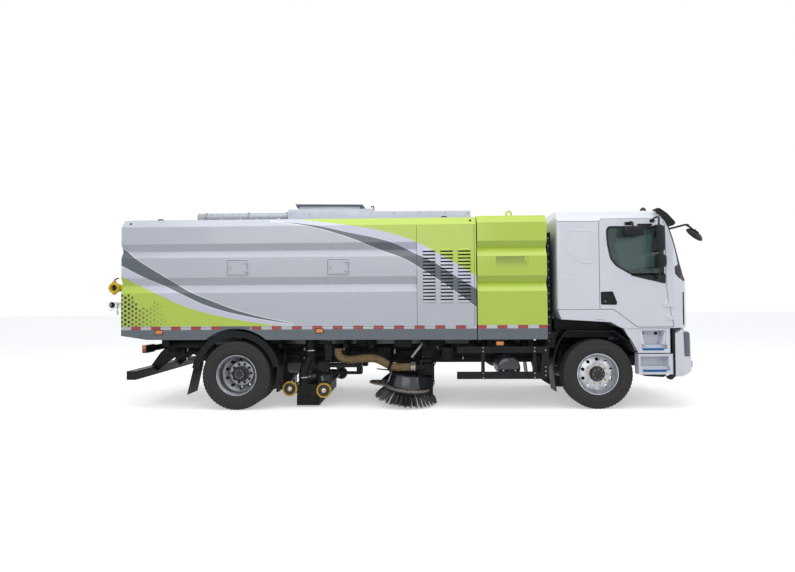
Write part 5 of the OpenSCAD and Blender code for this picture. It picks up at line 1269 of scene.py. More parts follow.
# steps: grip strips, recess holes, edge beads
for name, body, x0, x1, z0, z1 in (("cab", "cab", 551, 1003, 817, 1172.7),
                                   ("lower", "chassis", 552, 1038, 509, 802)):
    for side in SIDES:
        shape = Shape()
        lo, hi = span(side, 1182, 1231)
        shape.box((x0 + 56, lo, z0 + 59), (x1 - 46, hi, z0 + 65))
        lo, hi = span(side, 1226, 1236)
        shape.prism(rounded(rect(x0 + 62, x1 - 92, z0 + 38, z0 + 64), 6), lo, hi)
        shape.done(f"{name}_step_grip_{SIDE_NAME[side]}", body, M["grip"], "plastic_grey", bevel=2)
        shape = Shape()
        for k in range(7):
            x = x0 + 74 + k * (x1 - x0 - 140) / 6
            shape.rod((x, side * 1176, z0 + 116), (x, side * 1176, z0 + 119), 5, 10)
            shape.rod((x, side * 1120, z0 + 115), (x, side * 1120, z0 + 118), 5, 10)
        if name == "cab":
            for x in (677, 874):
                ring = [(x + 22 * math.cos(a) * 1.2, 1087 + 22 * math.sin(a)) for a in
                        [2 * math.pi * i / 20 for i in range(20)]]
                lo, hi = span(side, 1049.2, 1052)
                shape.prism(ring, lo, hi)
        shape.done(f"{name}_step_holes_{SIDE_NAME[side]}", body, M["louvre_shadow"], "plastic_black")
        shape = Shape()
        lo, hi = span(side, 1226, 1233)
        outer = rounded(rect(x0 + 1, x1 - 1, z0 + 2, z1 - 3), 14)
        shape.band(outer, rounded(rect(x0 + 10, x1 - 14, z0 + 12, z1 - 12), 20), lo, hi)
        shape.done(f"{name}_step_rim_{SIDE_NAME[side]}", body, M["cab"], "cab_white", bevel=3, segments=3)
        if name == "cab":
            # sloping sides inside the recess
            shape = Shape()
            lo, hi = span(side, 1056, 1222)
            shape.prism([(x0 + 29, z0 + 116), (x0 + 29, z1 - 36), (x0 + 60, z1 - 36), (x0 + 84, z0 + 150),
                         (x0 + 110, z0 + 116)], lo, hi)
            shape.prism([(x1 - 61, z0 + 116), (x1 - 61, z1 - 36), (x1 - 76, z1 - 36), (x1 - 92, z0 + 150),
                         (x1 - 112, z0 + 116)], lo, hi)
            shape.done(f"cab_step_cheeks_{SIDE_NAME[side]}", body, M["cab"], "cab_white", bevel=5, segments=3)

# bumper: fog lamps, head lamp bowls and dark lower lip
for side in SIDES:
    shape = Shape()
    n = Vector((0.80, side * 0.60, 0)).normalized()
    spot = Vector((1421, side * 985, 628))
    shape.lathe(spot - n * 14, n, [(0, 0), (50, 0), (50, 14), (44, 18), (40, 14), (0, 13)], 32, closed=False)
    shape.done(f"fog_lamp_ring_{SIDE_NAME[side]}", "chassis", M["gloss_black"], "plastic_black")
    shape = Shape()
    shape.lathe(spot - n * 2, n, [(0, 0), (38, 0), (36, 5), (20, 10), (0, 12)], 32, closed=False)
    shape.done(f"fog_lamp_lens_{SIDE_NAME[side]}", "chassis", M["clear"], "lamp")
    # reflectors inside the head lamp, and its bright edge
    shape = Shape()
    for z, r in ((1010, 52), (890, 60)):
        spot = Vector((1352, side * 1030, z))
        shape.lathe(spot, n, [(0, 0), (r, 0), (r, 12), (r - 6, 12), (r * 0.4, 2), (0, 2)], 32, closed=False)
    shape.done(f"head_lamp_bowls_{SIDE_NAME[side]}", "chassis", M["mirror"], "chrome")
shape = Shape()
shape.prism([(1392, 548), (1452, 592), (1461.5, 592), (1461.5, 574), (1400, 532), (1386, 532)], -860, 860)
shape.box((1450, -420, 700), (1462, 420, 860))
shape.done("bumper_lip", "chassis", M["black"], "plastic_black", bevel=3)
shape = Shape()
shape.prism(rounded(rect(-240, 240, 742, 818), 10), 1462, 1465, "x")
shape.done("front_blank_plate", "chassis", M["plate_blank"], "cab_white", bevel=1)
for side in SIDES:
    # black gap trim between the steps and the bumper corner, with its hanging tip
    shape = Shape()
    lo, hi = span(side, 1150, 1228)
    shape.prism([(1040, 1166), (1073, 1160), (1073, 478), (1030, 438), (996, 433), (960, 470), (1040, 506)],
                lo, hi)
    shape.prism([(600, 500), (960, 500), (900, 470), (640, 486)], lo, hi)
    shape.done(f"bumper_gap_trim_{SIDE_NAME[side]}", "chassis", M["black"], "plastic_black", bevel=4)

# ------------------------------------------------------------------ seats

def cushion(name, low, high, crown, body, tilt=0.0, pivot=None):
    """A closed pad whose faces swell and whose edges pull in between its corners."""
    bm = bmesh.new()
    bmesh.ops.create_cube(bm, size=2)
    bmesh.ops.subdivide_edges(bm, edges=bm.edges[:], cuts=7, use_grid_fill=True)
    mid = [(a + b) / 2 for a, b in zip(low, high)]
    half = [(b - a) / 2 for a, b in zip(low, high)]
    for v in bm.verts:
        u, w, t = v.co
        round_off = 1 - 0.06 * (abs(u * w) ** 4 + abs(w * t) ** 4 + abs(u * t) ** 4)
        swell = crown * (1 - u * u) * (1 - w * w)
        pull = 0.05 * (1 - u * u)
        p = Vector((mid[0] + u * half[0] * round_off, mid[1] + w * half[1] * (round_off - pull * abs(w) ** 3),
                    mid[2] + t * half[2] * round_off + swell * t))
        # two sewn channels along the pad
        for c in (-0.38, 0.38):
            p.z -= 9 * math.exp(-((w - c) / 0.05) ** 2) * max(0.0, t)
        if tilt:
            p = Matrix.Rotation(tilt, 3, "Y") @ (p - Vector(pivot)) + Vector(pivot)
        v.co = place(*p)
    mesh = bpy.data.meshes.new(name)
    bm.to_mesh(mesh)
    bm.free()
    piece = bpy.data.objects.new(name, mesh)
    bpy.context.scene.collection.objects.link(piece)
    soft = piece.modifiers.new("soft", "SUBSURF")
    soft.levels = soft.render_levels = 1
    settle(piece)
    shade(piece.data, 180)
    piece.data.materials.clear()
    piece.data.materials.append(M["cloth"])
    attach(piece, body)
    return piece


for side in SIDES:
    y = side * 560
    label = SIDE_NAME[side]
    seat = cushion(f"seat_cushion_{label}", (70, y - 245, 1562), (552, y + 245, 1690), 12, "cab")
    cushion(f"seat_back_{label}", (60, y - 238, 1640), (640, y + 238, 1752), 10, "cab",
            tilt=math.radians(-99), pivot=(60, 0, 1640))
    cushion(f"head_rest_{label}", (-24, y - 124, 2272), (176, y + 124, 2340), 6, "cab",
            tilt=math.radians(-96), pivot=(-24, 0, 2272))
    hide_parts("seats")

# ------------------------------------------------------------------ hopper

HATCHES = {"rear": -5242, "front": -3762}
HATCH_Z, HATCH_W, HATCH_H = 2085, 305, 220
LOUVRES = [(-2434, 180), (-2178, 178), (-1924, 180)]


def on_wall(x, y, z, side):
    """The matrix that stands a unit on a side wall: its X along the wall, its Y up, its Z outwards."""
    across = Matrix(((-side, 0, 0), (0, 0, side), (0, 1, 0))).to_4x4()
    return Matrix.Translation(place(x, side * y, z)) @ across


def hatch_outline(x, d):
    """A hatch's outline about its middle, made d bigger all round."""
    return rect(x - HATCH_W / 2 - d, x + HATCH_W / 2 + d, HATCH_Z - HATCH_H / 2 - d,
                HATCH_Z + HATCH_H / 2 + d)


def louvre_blade(shape):
    shape.prism([(17, 0.3), (8, 6.5), (-10, 10), (-14, 9.4), (-13, 6), (-11, 0.3)], -88, 88, "x")


def dome_rivet(shape):
    shape.lathe((0, 0, 0), (0, 0, 1), [(0, 0), (7, 0), (6, 2.4), (3, 3.8), (0, 4.2)], 10, closed=False)


blade_unit, rivet_unit = unit_of(louvre_blade), unit_of(dome_rivet)
for side in SIDES:
    label = SIDE_NAME[side]
    shape, dark = Shape(), Shape()
    for x, wide in LOUVRES:
        shape.scatter(repeat("grid", blade_unit, M["roof"],
                             {"Columns": 1, "Rows": 16, "Wide": 0.0, "High": 0.750},
                             matrix=on_wall(x, BODY_Y, 1948, side)))
        lo, hi = span(side, BODY_Y - 2, BODY_Y + 0.7)
        dark.prism(rounded(rect(x - wide / 2, x + wide / 2, 1562, 2336), 10), lo, hi)
    shape.done(f"louvre_blades_{label}", "hopper", M["hopper"], "hopper_silver", bevel=1.2)
    dark.done(f"louvre_slots_{label}", "hopper", M["louvre_shadow"], "plastic_black")
    # hatch surrounds, locks and hinge leaf bolts
    frames = Shape()
    for name, x in HATCHES.items():
        hatch_body = f"hatch_{name}_{label}"
        lo, hi = span(side, BODY_Y - 3, BODY_Y + 3)
        frames.band(rounded(rect(x - HATCH_W / 2 - 15, x + HATCH_W / 2 + 10, HATCH_Z - HATCH_H / 2 - 15,
                                 HATCH_Z + HATCH_H / 2 + 15), 10),
                    rounded(hatch_outline(x, 0.5), 3), lo, hi)
        shape = Shape()
        lo, hi = span(side, BODY_Y - 4, BODY_Y + 2.5)
        shape.band(rounded(hatch_outline(x, -18), 12), rounded(hatch_outline(x, -27), 8), lo, hi)
        shape.done(f"hatch_{name}_pressing_{label}", hatch_body, M["hopper"], "hopper_silver", bevel=1.5)
        shape = Shape()
        lock = x - HATCH_W / 2 + 40
        shape.lathe((lock, side * (BODY_Y + 7.5), HATCH_Z), (0, side, 0),
                    [(0, 0), (17, 0), (17, 3), (13, 5), (6, 5), (5, 3), (0, 3)], 24, closed=False)
        lo, hi = span(side, BODY_Y + 8, BODY_Y + 13)
        shape.box((lock - 3, lo, HATCH_Z - 12), (lock + 3, hi, HATCH_Z + 12))
        for z in (-62, 62):
            for dx in (50, 26):
                spot = x + HATCH_W / 2 - dx
                shape.lathe((spot, side * (BODY_Y + 12), HATCH_Z + z + 10), (0, side, 0),
                            [(0, 0), (5, 0), (4, 2.5), (0, 3)], 12, closed=False)
        shape.done(f"hatch_{name}_lock_{label}", hatch_body, M["bolt"], "steel", smooth=30)
    frames.done(f"hatch_surrounds_{label}", "hopper", M["hopper"], "hopper_silver", bevel=1.5)
    # edge beads, seams and rivet lines of the side
    shape = Shape()
    lo, hi = span(side, BODY_Y - 3, BODY_Y + 4)
    shape.prism(rect(BODY_REAR + 1, BODY_FRONT - 1, 1196, 1206), lo, hi)
    for z0, z1 in ((1226, 1716), (1950, 2230), (2446, 2690)):
        shape.prism(rect(BODY_REAR + 1, BODY_REAR + 30, z0, z1), lo, hi)
    shape.prism(rect(BODY_FRONT - 22, BODY_FRONT - 1, 1226, 2690), lo, hi)
    shape.done(f"hopper_edge_beads_{label}", "hopper", M["hopper"], "hopper_silver", bevel=2)
    shape = Shape()
    lo, hi = span(side, BODY_Y - 2, BODY_Y + 0.8)
    for x in (-2612, -1780):
        shape.box((x - 2.5, lo, 1222), (x + 2.5, hi, 2688))
    shape.box((BODY_REAR + 36, lo, 1213), (BODY_FRONT - 24, hi, 1217))
    shape.done(f"hopper_seams_{label}", "hopper", M["seal"], "hopper_silver", smooth=0)
    shape = Shape()
    for z in (2660, 1250):
        shape.scatter(repeat("grid", rivet_unit, M["hopper"],
                             {"Columns": 22, "Rows": 1, "Wide": 4.200, "High": 0.0},
                             matrix=on_wall(-4790, BODY_Y, z, side)))
    for x in (-6945, -2590):
        shape.scatter(repeat("grid", rivet_unit, M["hopper"],
                             {"Columns": 1, "Rows": 5, "Wide": 0.0, "High": 0.400},
                             matrix=on_wall(x, BODY_Y + (3 if x < -6900 else 0), 1480, side)))
    shape.done(f"hopper_rivets_{label}", "hopper", M["hopper"], "hopper_silver", smooth=50)
    # amber side markers on the skirt, with the clip that holds them
    shape, clips = Shape(), Shape()
    for x, z in ((-6404, 1143), (-4035, 1154)):
        lo, hi = span(side, BODY_Y - 3, BODY_Y + 9)
        shape.prism(rounded(rect(x - 52, x + 52, z - 26, z + 26), 14), lo, hi)
        lo, hi = span(side, BODY_Y - 3, BODY_Y + 4)
        clips.band(rounded(rect(x - 62, x + 62, z - 35, z + 35), 18),
                   rounded(rect(x - 51, x + 51, z - 25, z + 25), 14),
                   lo, hi)
    shape.done(f"side_marker_lenses_{label}", "hopper", M["amber"], "lamp", bevel=4, segments=3)
    clips.done(f"side_marker_rims_{label}", "hopper", M["black"], "plastic_black", bevel=1.5)
    # third marker, hung on the frame under the cabinet
    shape = Shape()
    lo, hi = span(side, 1206, 1232)
    shape.prism(rounded(rect(-1471, -1367, 936, 988), 14), lo, hi)
    shape.done(f"frame_marker_lens_{label}", "chassis", M["amber"], "lamp", bevel=4, segments=3)
    shape = Shape()
    lo, hi = span(side, 1198, 1210)
    shape.prism(rounded(rect(-1481, -1357, 926, 1010), 10), lo, hi)
    shape.done(f"frame_marker_foot_{label}", "chassis", M["black"], "plastic_black", bevel=2)

# roof: pipe with its flanges and feet, fan duct with its dark lid, ribs and lifting eyes
PIPE_Y, PIPE_Z, PIPE_R = -400, 2962, 58
DUCT = [(-4634, 2806), (-1765, 2806), (-1765, 2976), (-1778, 2988), (-3270, 2994), (-3282, 3028),
        (-3300, 3036), (-4620, 3036), (-4634, 3024)]
LID = [(-4533, 3132), (-3470, 3116), (-3392, 3000), (-3440, 2998), (-3506, 3084), (-4470, 3098),
       (-4490, 3072), (-4505, 3072)]
shape = Shape()
shape.prism(DUCT, -622, -140)
shape.prism(rect(-4488, -3500, 3034, 3098), -540, -80)
shape.prism(rounded([(-3276, 2988), (-2820, 2988), (-2820, 3016), (-3276, 3022)], 8), -430, -290)
shape.prism(rounded(rect(-6614, -6424, 2804, 2880), 12), -560, -240)
duct = shape.done("roof_duct_casing", "hopper", M["roof"], "hopper_silver", bevel=4, segments=3)
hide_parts("roof_duct")
shape = Shape()
shape.prism(LID, -560, -60)
for x in (-4390, -4120, -3850, -3590):
    shape.lathe((x, -562, 3104), (0, -1, 0), [(0, 0), (12, 0), (10, 6), (0, 8)], 6, closed=False)
shape.prism([(-3470, 3110), (-3392, 2998), (-3384, 3002), (-3462, 3116)], -566, -54)
shape.done("fan_hood_lid", "hopper", M["slate"], "plastic_grey", bevel=3)
shape = Shape()
shape.rod((-6137, PIPE_Y, PIPE_Z), (-4620, PIPE_Y, PIPE_Z), PIPE_R, 48)
for x in (-6014, -5324, -4700):
    for dx in (-8, 8):
        shape.lathe((x + dx, PIPE_Y, PIPE_Z), (1, 0, 0), rect(50, 70, -5, 5), 48)
    bolt_circle(shape, stud_unit, M["bolt"], 8, 63, x + 13, PIPE_Y, PIPE_Z, (1, 0, 0))
for x in (-5866, -5603):
    shape.lathe((x, PIPE_Y, PIPE_Z), (1, 0, 0),
                [(50, -20), (61, -20), (63, -14), (63, 14), (61, 20), (50, 20)], 48)
for x in (-6090, -5760, -5450, -5180, -4830):
    shape.prism([(PIPE_Y - 70, 2804), (PIPE_Y + 70, 2804), (PIPE_Y + 54, 2860), (PIPE_Y + 46, PIPE_Z - 20),
                 (PIPE_Y - 46, PIPE_Z - 20), (PIPE_Y - 54, 2860)], x - 22, x + 22, "x")
shape.lathe((-6137, PIPE_Y, PIPE_Z), (-1, 0, 0), [(0, 0), (62, 0), (56, 12), (24, 20), (0, 22)], 40,
            closed=False)
shape.done("roof_pipe", "hopper", M["galvanised"], "steel", bevel=1)
shape = Shape()
for x in (-6600, -6000, -5300, -3700, -2600, -2100):
    shape.prism([(-1120, 2803), (-1120, 2816), (-1090, 2822), (1090, 2822), (1120, 2816), (1120, 2803)],
                x - 26, x + 26, "x")
shape.box((-6940, -1130, 2800), (-6900, 1130, 2812))
for y in (-1128, 1128):
    shape.box((-6900, y - 8, 2800), (BODY_FRONT - 20, y + 8, 2812))
shape.done("roof_ribs", "hopper", M["roof"], "hopper_silver", bevel=4)
shape = Shape()
shape.tube(smooth_path([(-3283, -560, 3000), (-3284, -560, 3050), (-3290, -560, 3078), (-3312, -560, 3082),
                        (-3322, -560, 3062)], 6), 9, 12)
for x in (-6500, -2200):
    for y in (-1000, 1000):
        path = [(x - 45, y, 2806), (x - 45, y, 2826), (x - 25, y, 2840), (x + 25, y, 2840), (x + 45, y, 2826),
                (x + 45, y, 2806)]
        shape.tube(smooth_path(path, 4), 9, 10)
# black discs on the top chamfer: painted shade inside the lifting holes
for s in SIDES:
    for x in (-6856, -1830):
        shape.lathe((x, s * 1204, 2752), (0, s * 0.74, 0.67), [(0, 0), (17, 0), (17, 4), (9, 5), (0, 2)], 20,
                    closed=False)
shape.done("roof_lifting_eyes", "hopper", M["black"], "steel")
shape = Shape()
for x in (-4590, -4300, -3330, -2960, -2560, -2160, -1800):
    for y, z in ((-627, 2960), (-627, 2830)):
        shape.lathe((x, y + 5, z), (0, -1, 0), [(0, 0), (10, 0), (10, 6), (0, 8)], 6, closed=False)
for x in (-4560, -4200, -3700, -3330):
    shape.box((x - 34, -640, 2806), (x + 34, -610, 2822))
shape.done("roof_duct_bolts", "hopper", M["bolt"], "steel", smooth=20)
shape = Shape()
shape.prism([(-3476, 3046), (-3500, 3040), (-3500, 3094), (-3480, 3094)], -536, -84)
for k in range(5):
    shape.prism([(-3470, 3046 + k * 10), (-3464, 3040 + k * 10), (-3462, 3042 + k * 10),
                 (-3468, 3049 + k * 10)],
                -532, -88)
shape.done("fan_outlet_grille", "hopper", M["black"], "plastic_black")

# tailgate: rubber round its edge, ribs, latches, sight glass and blank plate
GATE_LOW, GATE_HIGH, GATE_Y = 1307, 2698, 1143
shape = Shape()
shape.band(rounded(rect(-GATE_Y - 5, GATE_Y + 5, GATE_LOW - 5, GATE_HIGH + 5), 12),
           rounded(rect(-GATE_Y + 14, GATE_Y - 14, GATE_LOW + 14, GATE_HIGH - 14), 12),
           BODY_REAR - 5, BODY_REAR + 4, "x")
shape.done("tailgate_rubber", "tailgate", M["rubber"], "plastic_black", bevel=2)
shape = Shape()
for y in (-370, 370):
    shape.prism(rounded(rect(y - 32, y + 32, GATE_LOW + 40, GATE_HIGH - 60), 10),
                BODY_REAR - 16, BODY_REAR + 1, "x")
shape.prism(rounded(rect(-1090, 1090, 1985, 2045), 10), BODY_REAR - 20, BODY_REAR + 1, "x")
shape.done("tailgate_ribs", "tailgate", M["hopper"], "hopper_silver", bevel=5, segments=3)
shape = Shape()
for y in (-1075, 1075):
    shape.prism([(BODY_REAR - 22, GATE_LOW + 10), (BODY_REAR - 42, GATE_LOW + 70),
                 (BODY_REAR - 36, GATE_LOW + 170), (BODY_REAR - 2, GATE_LOW + 190),
                 (BODY_REAR - 2, GATE_LOW + 10)], y - 14, y + 14)
    shape.rod((BODY_REAR - 24, y - 34, GATE_LOW + 60), (BODY_REAR - 24, y + 34, GATE_LOW + 60), 12)
for y in (-860, 0, 860):
    for s in (-1, 1):
        shape.rod((-6996, y + s * 74, 2763), (-6996, y + s * 82, 2763), 15, 6)
shape.done("tailgate_latches", "tailgate", M["galvanised"], "steel", bevel=2)
shape = Shape()
shape.prism(rounded(rect(-262, 262, 1380, 1496), 12), BODY_REAR - 5, BODY_REAR + 25, "x")
shape.done("tailgate_blank_plate", "tailgate", M["plate_blank"], "cab_white", bevel=1.5)
shape = Shape()
for y in (-200, 200):
    shape.lathe((BODY_REAR + 20, y, 1520), (-1, 0, 0), [(0, 0), (24, 0), (24, 26), (16, 34), (0, 34)], 24,
                closed=False)
shape.done("plate_lamps", "tailgate", M["black"], "plastic_black", bevel=1)
shape = Shape()
shape.lathe((BODY_REAR + 24, 740, 2300), (-1, 0, 0), [(70, 0), (96, 0), (96, 14), (88, 20), (72, 20)], 48)
bolt_circle(shape, stud_unit, M["bolt"], 8, 84, BODY_REAR + 5, 740, 2300, (-1, 0, 0))
shape.done("sight_glass_ring", "tailgate", M["black"], "plastic_black", bevel=1)
shape = Shape()
shape.lathe((BODY_REAR + 24, 740, 2300), (-1, 0, 0), [(0, 0), (72, 0), (72, 9), (0, 12)], 48, closed=False)
shape.done("sight_glass", "tailgate", M["window"], "glass")
# upper rear lamps on their mounts
shape = Shape()
for s in SIDES:
    shape.prism(rounded(rect(s * 1180 - 44, s * 1180 + 44, 1330, 1560),
                        12), BODY_REAR - 14, BODY_REAR + 2, "x")
shape.done("rear_lamp_mounts", "hopper", M["black"], "plastic_black", bevel=3)
for finish, z0, z1, name in (("red", 1480, 1550, "stop"), ("amber", 1410, 1474, "turn"),
                             ("clear", 1340, 1404, "reverse")):
    shape = Shape()
    for s in SIDES:
        shape.prism(rounded(rect(s * 1180 - 34, s * 1180 + 34, z0, z1), 10),
                    BODY_REAR - 22, BODY_REAR - 10, "x")
    shape.done(f"rear_{name}_lenses", "hopper", M[finish], "lamp", bevel=4, segments=3)

# couplings: each pipe leaves the tailgate and turns to face the truck's right side
RING_Y, RING_Z, OUTLET_Z = -900, 1810, 1549
RING_X, OUTLET_X = -7225, -7240
shape = Shape()
shape.tube(smooth_path([(BODY_REAR + 6, RING_Y, RING_Z), (RING_X + 120, RING_Y, RING_Z),
                        (RING_X + 30, RING_Y - 8, RING_Z), (RING_X, RING_Y - 34, RING_Z),
                        (RING_X, RING_Y - 60, RING_Z)], 6), 56, 48)
shape.lathe((RING_X, RING_Y - 44, RING_Z), (0, -1, 0),
            [(44, 0), (70, 0), (84, 10), (86, 30), (82, 48), (66, 54), (48, 54), (44, 40)], 64)
for a in (0.5 * math.pi, 1.5 * math.pi, math.pi):
    x, z = RING_X + 84 * math.cos(a), RING_Z + 84 * math.sin(a)
    if a == math.pi:
        x = RING_X - 60
    shape.rod((x, RING_Y - 50, z), (x, RING_Y - 96, z), 22, 24)
    shape.rod((x, RING_Y - 96, z), (x, RING_Y - 106, z), 14, 6)
shape.lathe((BODY_REAR + 20, RING_Y, RING_Z), (1, 0, 0), rect(60, 92, -34, -20), 48)
shape.done("valve_elbow", "tailgate", M["coupling"], "coupling", bevel=1.5)
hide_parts("rear_couplings")
# black discs just inside the valve and outlet mouths: painted shade in the bores
shape = Shape()
shape.lathe((RING_X, RING_Y - 58, RING_Z), (0, -1, 0), [(0, 0), (46, 0), (46, 6), (0, 8)], 32, closed=False)
shape.lathe((OUTLET_X, RING_Y - 62, OUTLET_Z), (0, -1, 0), [(0, 0), (41, 0), (41, 5), (0, 7)], 32,
            closed=False)
shape.done("coupling_bores", "tailgate", M["black"], "plastic_black", smooth=40)
shape = Shape()
shape.tube(smooth_path([(BODY_REAR + 6, RING_Y, OUTLET_Z), (OUTLET_X + 110, RING_Y, OUTLET_Z),
                        (OUTLET_X + 26, RING_Y - 8, OUTLET_Z), (OUTLET_X, RING_Y - 34, OUTLET_Z),
                        (OUTLET_X, RING_Y - 64, OUTLET_Z)], 6), 46, 48)
shape.lathe((OUTLET_X, RING_Y - 44, OUTLET_Z), (0, -1, 0),
            [(40, 0), (54, 0), (60, 8), (60, 22), (52, 26), (52, 44), (62, 48), (62, 60), (44, 62),
             (40, 50)], 64)
for k in range(3):
    a = 2 * math.pi * k / 3 + 0.6
    shape.rod((OUTLET_X + 58 * math.cos(a), RING_Y - 60, OUTLET_Z + 58 * math.sin(a)),
              (OUTLET_X + 58 * math.cos(a), RING_Y - 102, OUTLET_Z + 58 * math.sin(a)), 9, 12)
shape.tube(smooth_path([(OUTLET_X - 4, RING_Y - 70, OUTLET_Z - 44),
                        (OUTLET_X - 34, RING_Y - 82, OUTLET_Z - 78),
                        (OUTLET_X - 62, RING_Y - 86, OUTLET_Z - 92)], 5), 11, 16)
shape.tube(smooth_path([(OUTLET_X + 40, RING_Y - 40, OUTLET_Z - 40),
                        (OUTLET_X + 48, RING_Y - 44, OUTLET_Z - 110),
                        (OUTLET_X + 50, RING_Y - 44, OUTLET_Z - 150)], 5), 14, 16)
shape.lathe((BODY_REAR + 20, RING_Y, OUTLET_Z), (1, 0, 0), rect(50, 80, -34, -20), 48)
bolt_circle(shape, bolt_unit, M["bolt"], 6, 78, BODY_REAR - 12, RING_Y, RING_Z, (-1, 0, 0))
bolt_circle(shape, bolt_unit, M["bolt"], 6, 66, BODY_REAR - 12, RING_Y, OUTLET_Z, (-1, 0, 0))
shape.done("outlet_elbow", "tailgate", M["chrome"], "chrome", bevel=1)
shape = Shape()
shape.tube(smooth_path([(RING_X + 6, RING_Y - 60, RING_Z + 96), (RING_X + 2, RING_Y - 58, RING_Z + 128),
                        (RING_X + 50, RING_Y - 40, RING_Z + 150)], 5), 11, 12)
shape.done("valve_lever", "tailgate", M["wire_red"], "coupling")

# ------------------------------------------------------------------ cab edges that follow its skin

def front_skin(y, z):
    """Where the cab's front surface lies at a place across and a height, in millimetres."""
    shell = nodes_by_name["cab_shell"]
    start = shell.matrix_world.inverted() @ place(2200, y, z)
    hit, spot, _, _ = shell.ray_cast(start, Vector((-1, 0, 0)))
    return (spot.x - AXLE_X) * 1000 if hit else None


nodes_by_name = {item.name: item for item in bpy.data.objects}


def side_skin(side, x, z):
    """How far out the cab's side surface lies at a place along and a height, in millimetres."""
    shell = nodes_by_name["cab_shell"]
    start = shell.matrix_world.inverted() @ place(x, side * 2200, z)
    hit, spot, _, _ = shell.ray_cast(start, Vector((0, -side, 0)))
    return abs(spot.y) * 1000 if hit and spot.y * side > 0.5 else None


# where the windscreen's black edge begins on the cab's side, and the cowl below it
EDGE = [(2648, 982), (2620, 992), (2560, 1012), (2480, 1037), (2400, 1061), (2320, 1084), (2240, 1107),
        (2160, 1129), (2090, 1148), (2050, 1084), (2000, 1086), (1950, 1092), (1915, 1130), (1880, 1180),
        (1846, 1262)]
for side in SIDES:
    shape = Shape()
    rows = []
    for z, x0 in EDGE:
        row = []
        x = x0
        seen = [front_skin(side * y, z) for y in (1070, 1095, 1120, 1145)]
        far = max([x for x in seen if x is not None] + [x0 + 24])
        for k in range(9):
            x = x0 + (far - 2 - x0) * (k / 8) ** 0.7
            y = side_skin(side, x, z)
            row.append((x, side * (y if y is not None else 1075), z))
        rows.append(row)
    n, m = len(rows), 9
    lift = Vector((0.35, side * 0.93, 0.1))
    outer = [Vector(p) + lift * 3.5 for row in rows for p in row]
    inner = [Vector(p) - lift * 6 for row in rows for p in row]
    faces = []
    for r in range(n - 1):
        for c in range(m - 1):
            a, b, d, e = r * m + c, r * m + c + 1, (r + 1) * m + c + 1, (r + 1) * m + c
            faces += [(a, b, d, e), (n * m + a, n * m + e, n * m + d, n * m + b)]
    rim = ([c for c in range(m)] + [r * m + m - 1 for r in range(1, n)]
           + [(n - 1) * m + c for c in range(m - 2, -1, -1)] + [r * m for r in range(n - 2, 0, -1)])
    faces += [(rim[i], rim[(i + 1) % len(rim)], n * m + rim[(i + 1) % len(rim)], n * m + rim[i])
              for i in range(len(rim))]
    shape.add(outer + inner, faces)
    shape.done(f"screen_corner_trim_{SIDE_NAME[side]}", "cab", M["gloss_black"], "plastic_black", smooth=50)

# sun visor over the screen: its thick black end caps stand on the roof's corner
VISOR_END = [(820, 2893), (876, 2896), (979, 2824), (1092, 2700), (1098, 2668), (1056, 2636), (992, 2632),
             (945, 2714), (899, 2812), (856, 2868)]
shape = Shape()
for side in SIDES:
    skins = [y for y in (side_skin(side, x, z) for x, z in VISOR_END) if y is not None]
    far = max(skins + [1120]) + 16
    lo, hi = span(side, far - 120, far)
    shape.prism(rounded(VISOR_END, 16), lo, hi)
    for k in range(4):
        t = 0.2 + 0.2 * k
        x, z = 870 + (1060 - 870) * t, 2876 + (2670 - 2876) * t
        lo, hi = span(side, far - 2, far + 3)
        shape.prism(rounded(rect(x - 26, x + 26, z - 14, z + 14), 8), lo, hi)
shape.done("visor_ends", "cab", M["black"], "plastic_black", bevel=4)

# black liner under the cab over the wheel
ARCH = [(-583, 1446), (-540, 1318), (-520, 1308), (165, 1264), (287, 1201), (443, 999), (536, 830)]
shape = Shape()
for side in SIDES:
    lower = [(x + 2, z - 4) for x, z in ARCH]
    upper = [(x + 10, z + 3) for x, z in ARCH]
    lo, hi = span(side, 900, 1232)
    for i in range(len(ARCH) - 1):
        shape.prism([lower[i], lower[i + 1], upper[i + 1], upper[i]], lo, hi)
shape.done("wheel_arch_liner", "cab", M["guard_black"], "plastic_black")
shape = Shape()
for side in SIDES:
    lo, hi = span(side, 890, 896)
    shape.prism([(-560, 1440), (-550, 1022), (500, 1022), (530, 1172), (300, 1300), (200, 1440)], lo, hi)
shape.done("wheel_arch_backs", "cab", M["guard_black"], "plastic_black")

# brake wire that hangs out of the wheel arch
shape = Shape()
for side in SIDES:
    shape.tube(smooth_path([(300, side * 1020, 1120), (350, side * 1080, 1040), (420, side * 1100, 1000),
                            (520, side * 1110, 940), (560, side * 1080, 900)], 8), 5, 8)
shape.done("brake_wire", "cab", M["wire_red"], "plastic_black")

# ------------------------------------------------------------------ side brushes

BRUSH_X, BRUSH_Y, BRUSH_Z, BRUSH_TILT = -2790, 770, 95, math.radians(6)
POST_X, POST_Y = -2400, 620


def brush_turn(side):
    return Matrix.Rotation(BRUSH_TILT, 3, "Y") @ Matrix.Rotation(-side * BRUSH_TILT, 3, "X")


def on_brush(side):
    """The matrix that takes points about the brush's own axis to the truck's, in millimetres."""
    return Matrix.Translation((BRUSH_X, side * BRUSH_Y, BRUSH_Z)) @ brush_turn(side).to_4x4()


def bristle_tuft(shape):
    """One tuft: stiff strands that leave the plate together, splay and thin towards their tips."""
    luck = random.Random(11)
    for k in range(14):
        a = 2 * math.pi * k / 14
        root = Vector((13 * math.cos(a), 13 * math.sin(a), 6)) * (0.45 if k % 2 == 0 else 1)
        splay = (Vector((math.cos(a) * 5, math.sin(a) * 8, 0))
                 + Vector((luck.uniform(-4, 4), luck.uniform(-5, 5), 0)))
        long = luck.uniform(0.94, 1.03)
        path = [root, root + Vector((38, 0, -34)) + splay * 0.25,
                root + Vector((92, 0, -92)) * long + splay * 0.6,
                root + Vector((146, 0, -158)) * long + splay]
        shape.tube(path, [5.0, 4.6, 4.0, 1.8], 4)


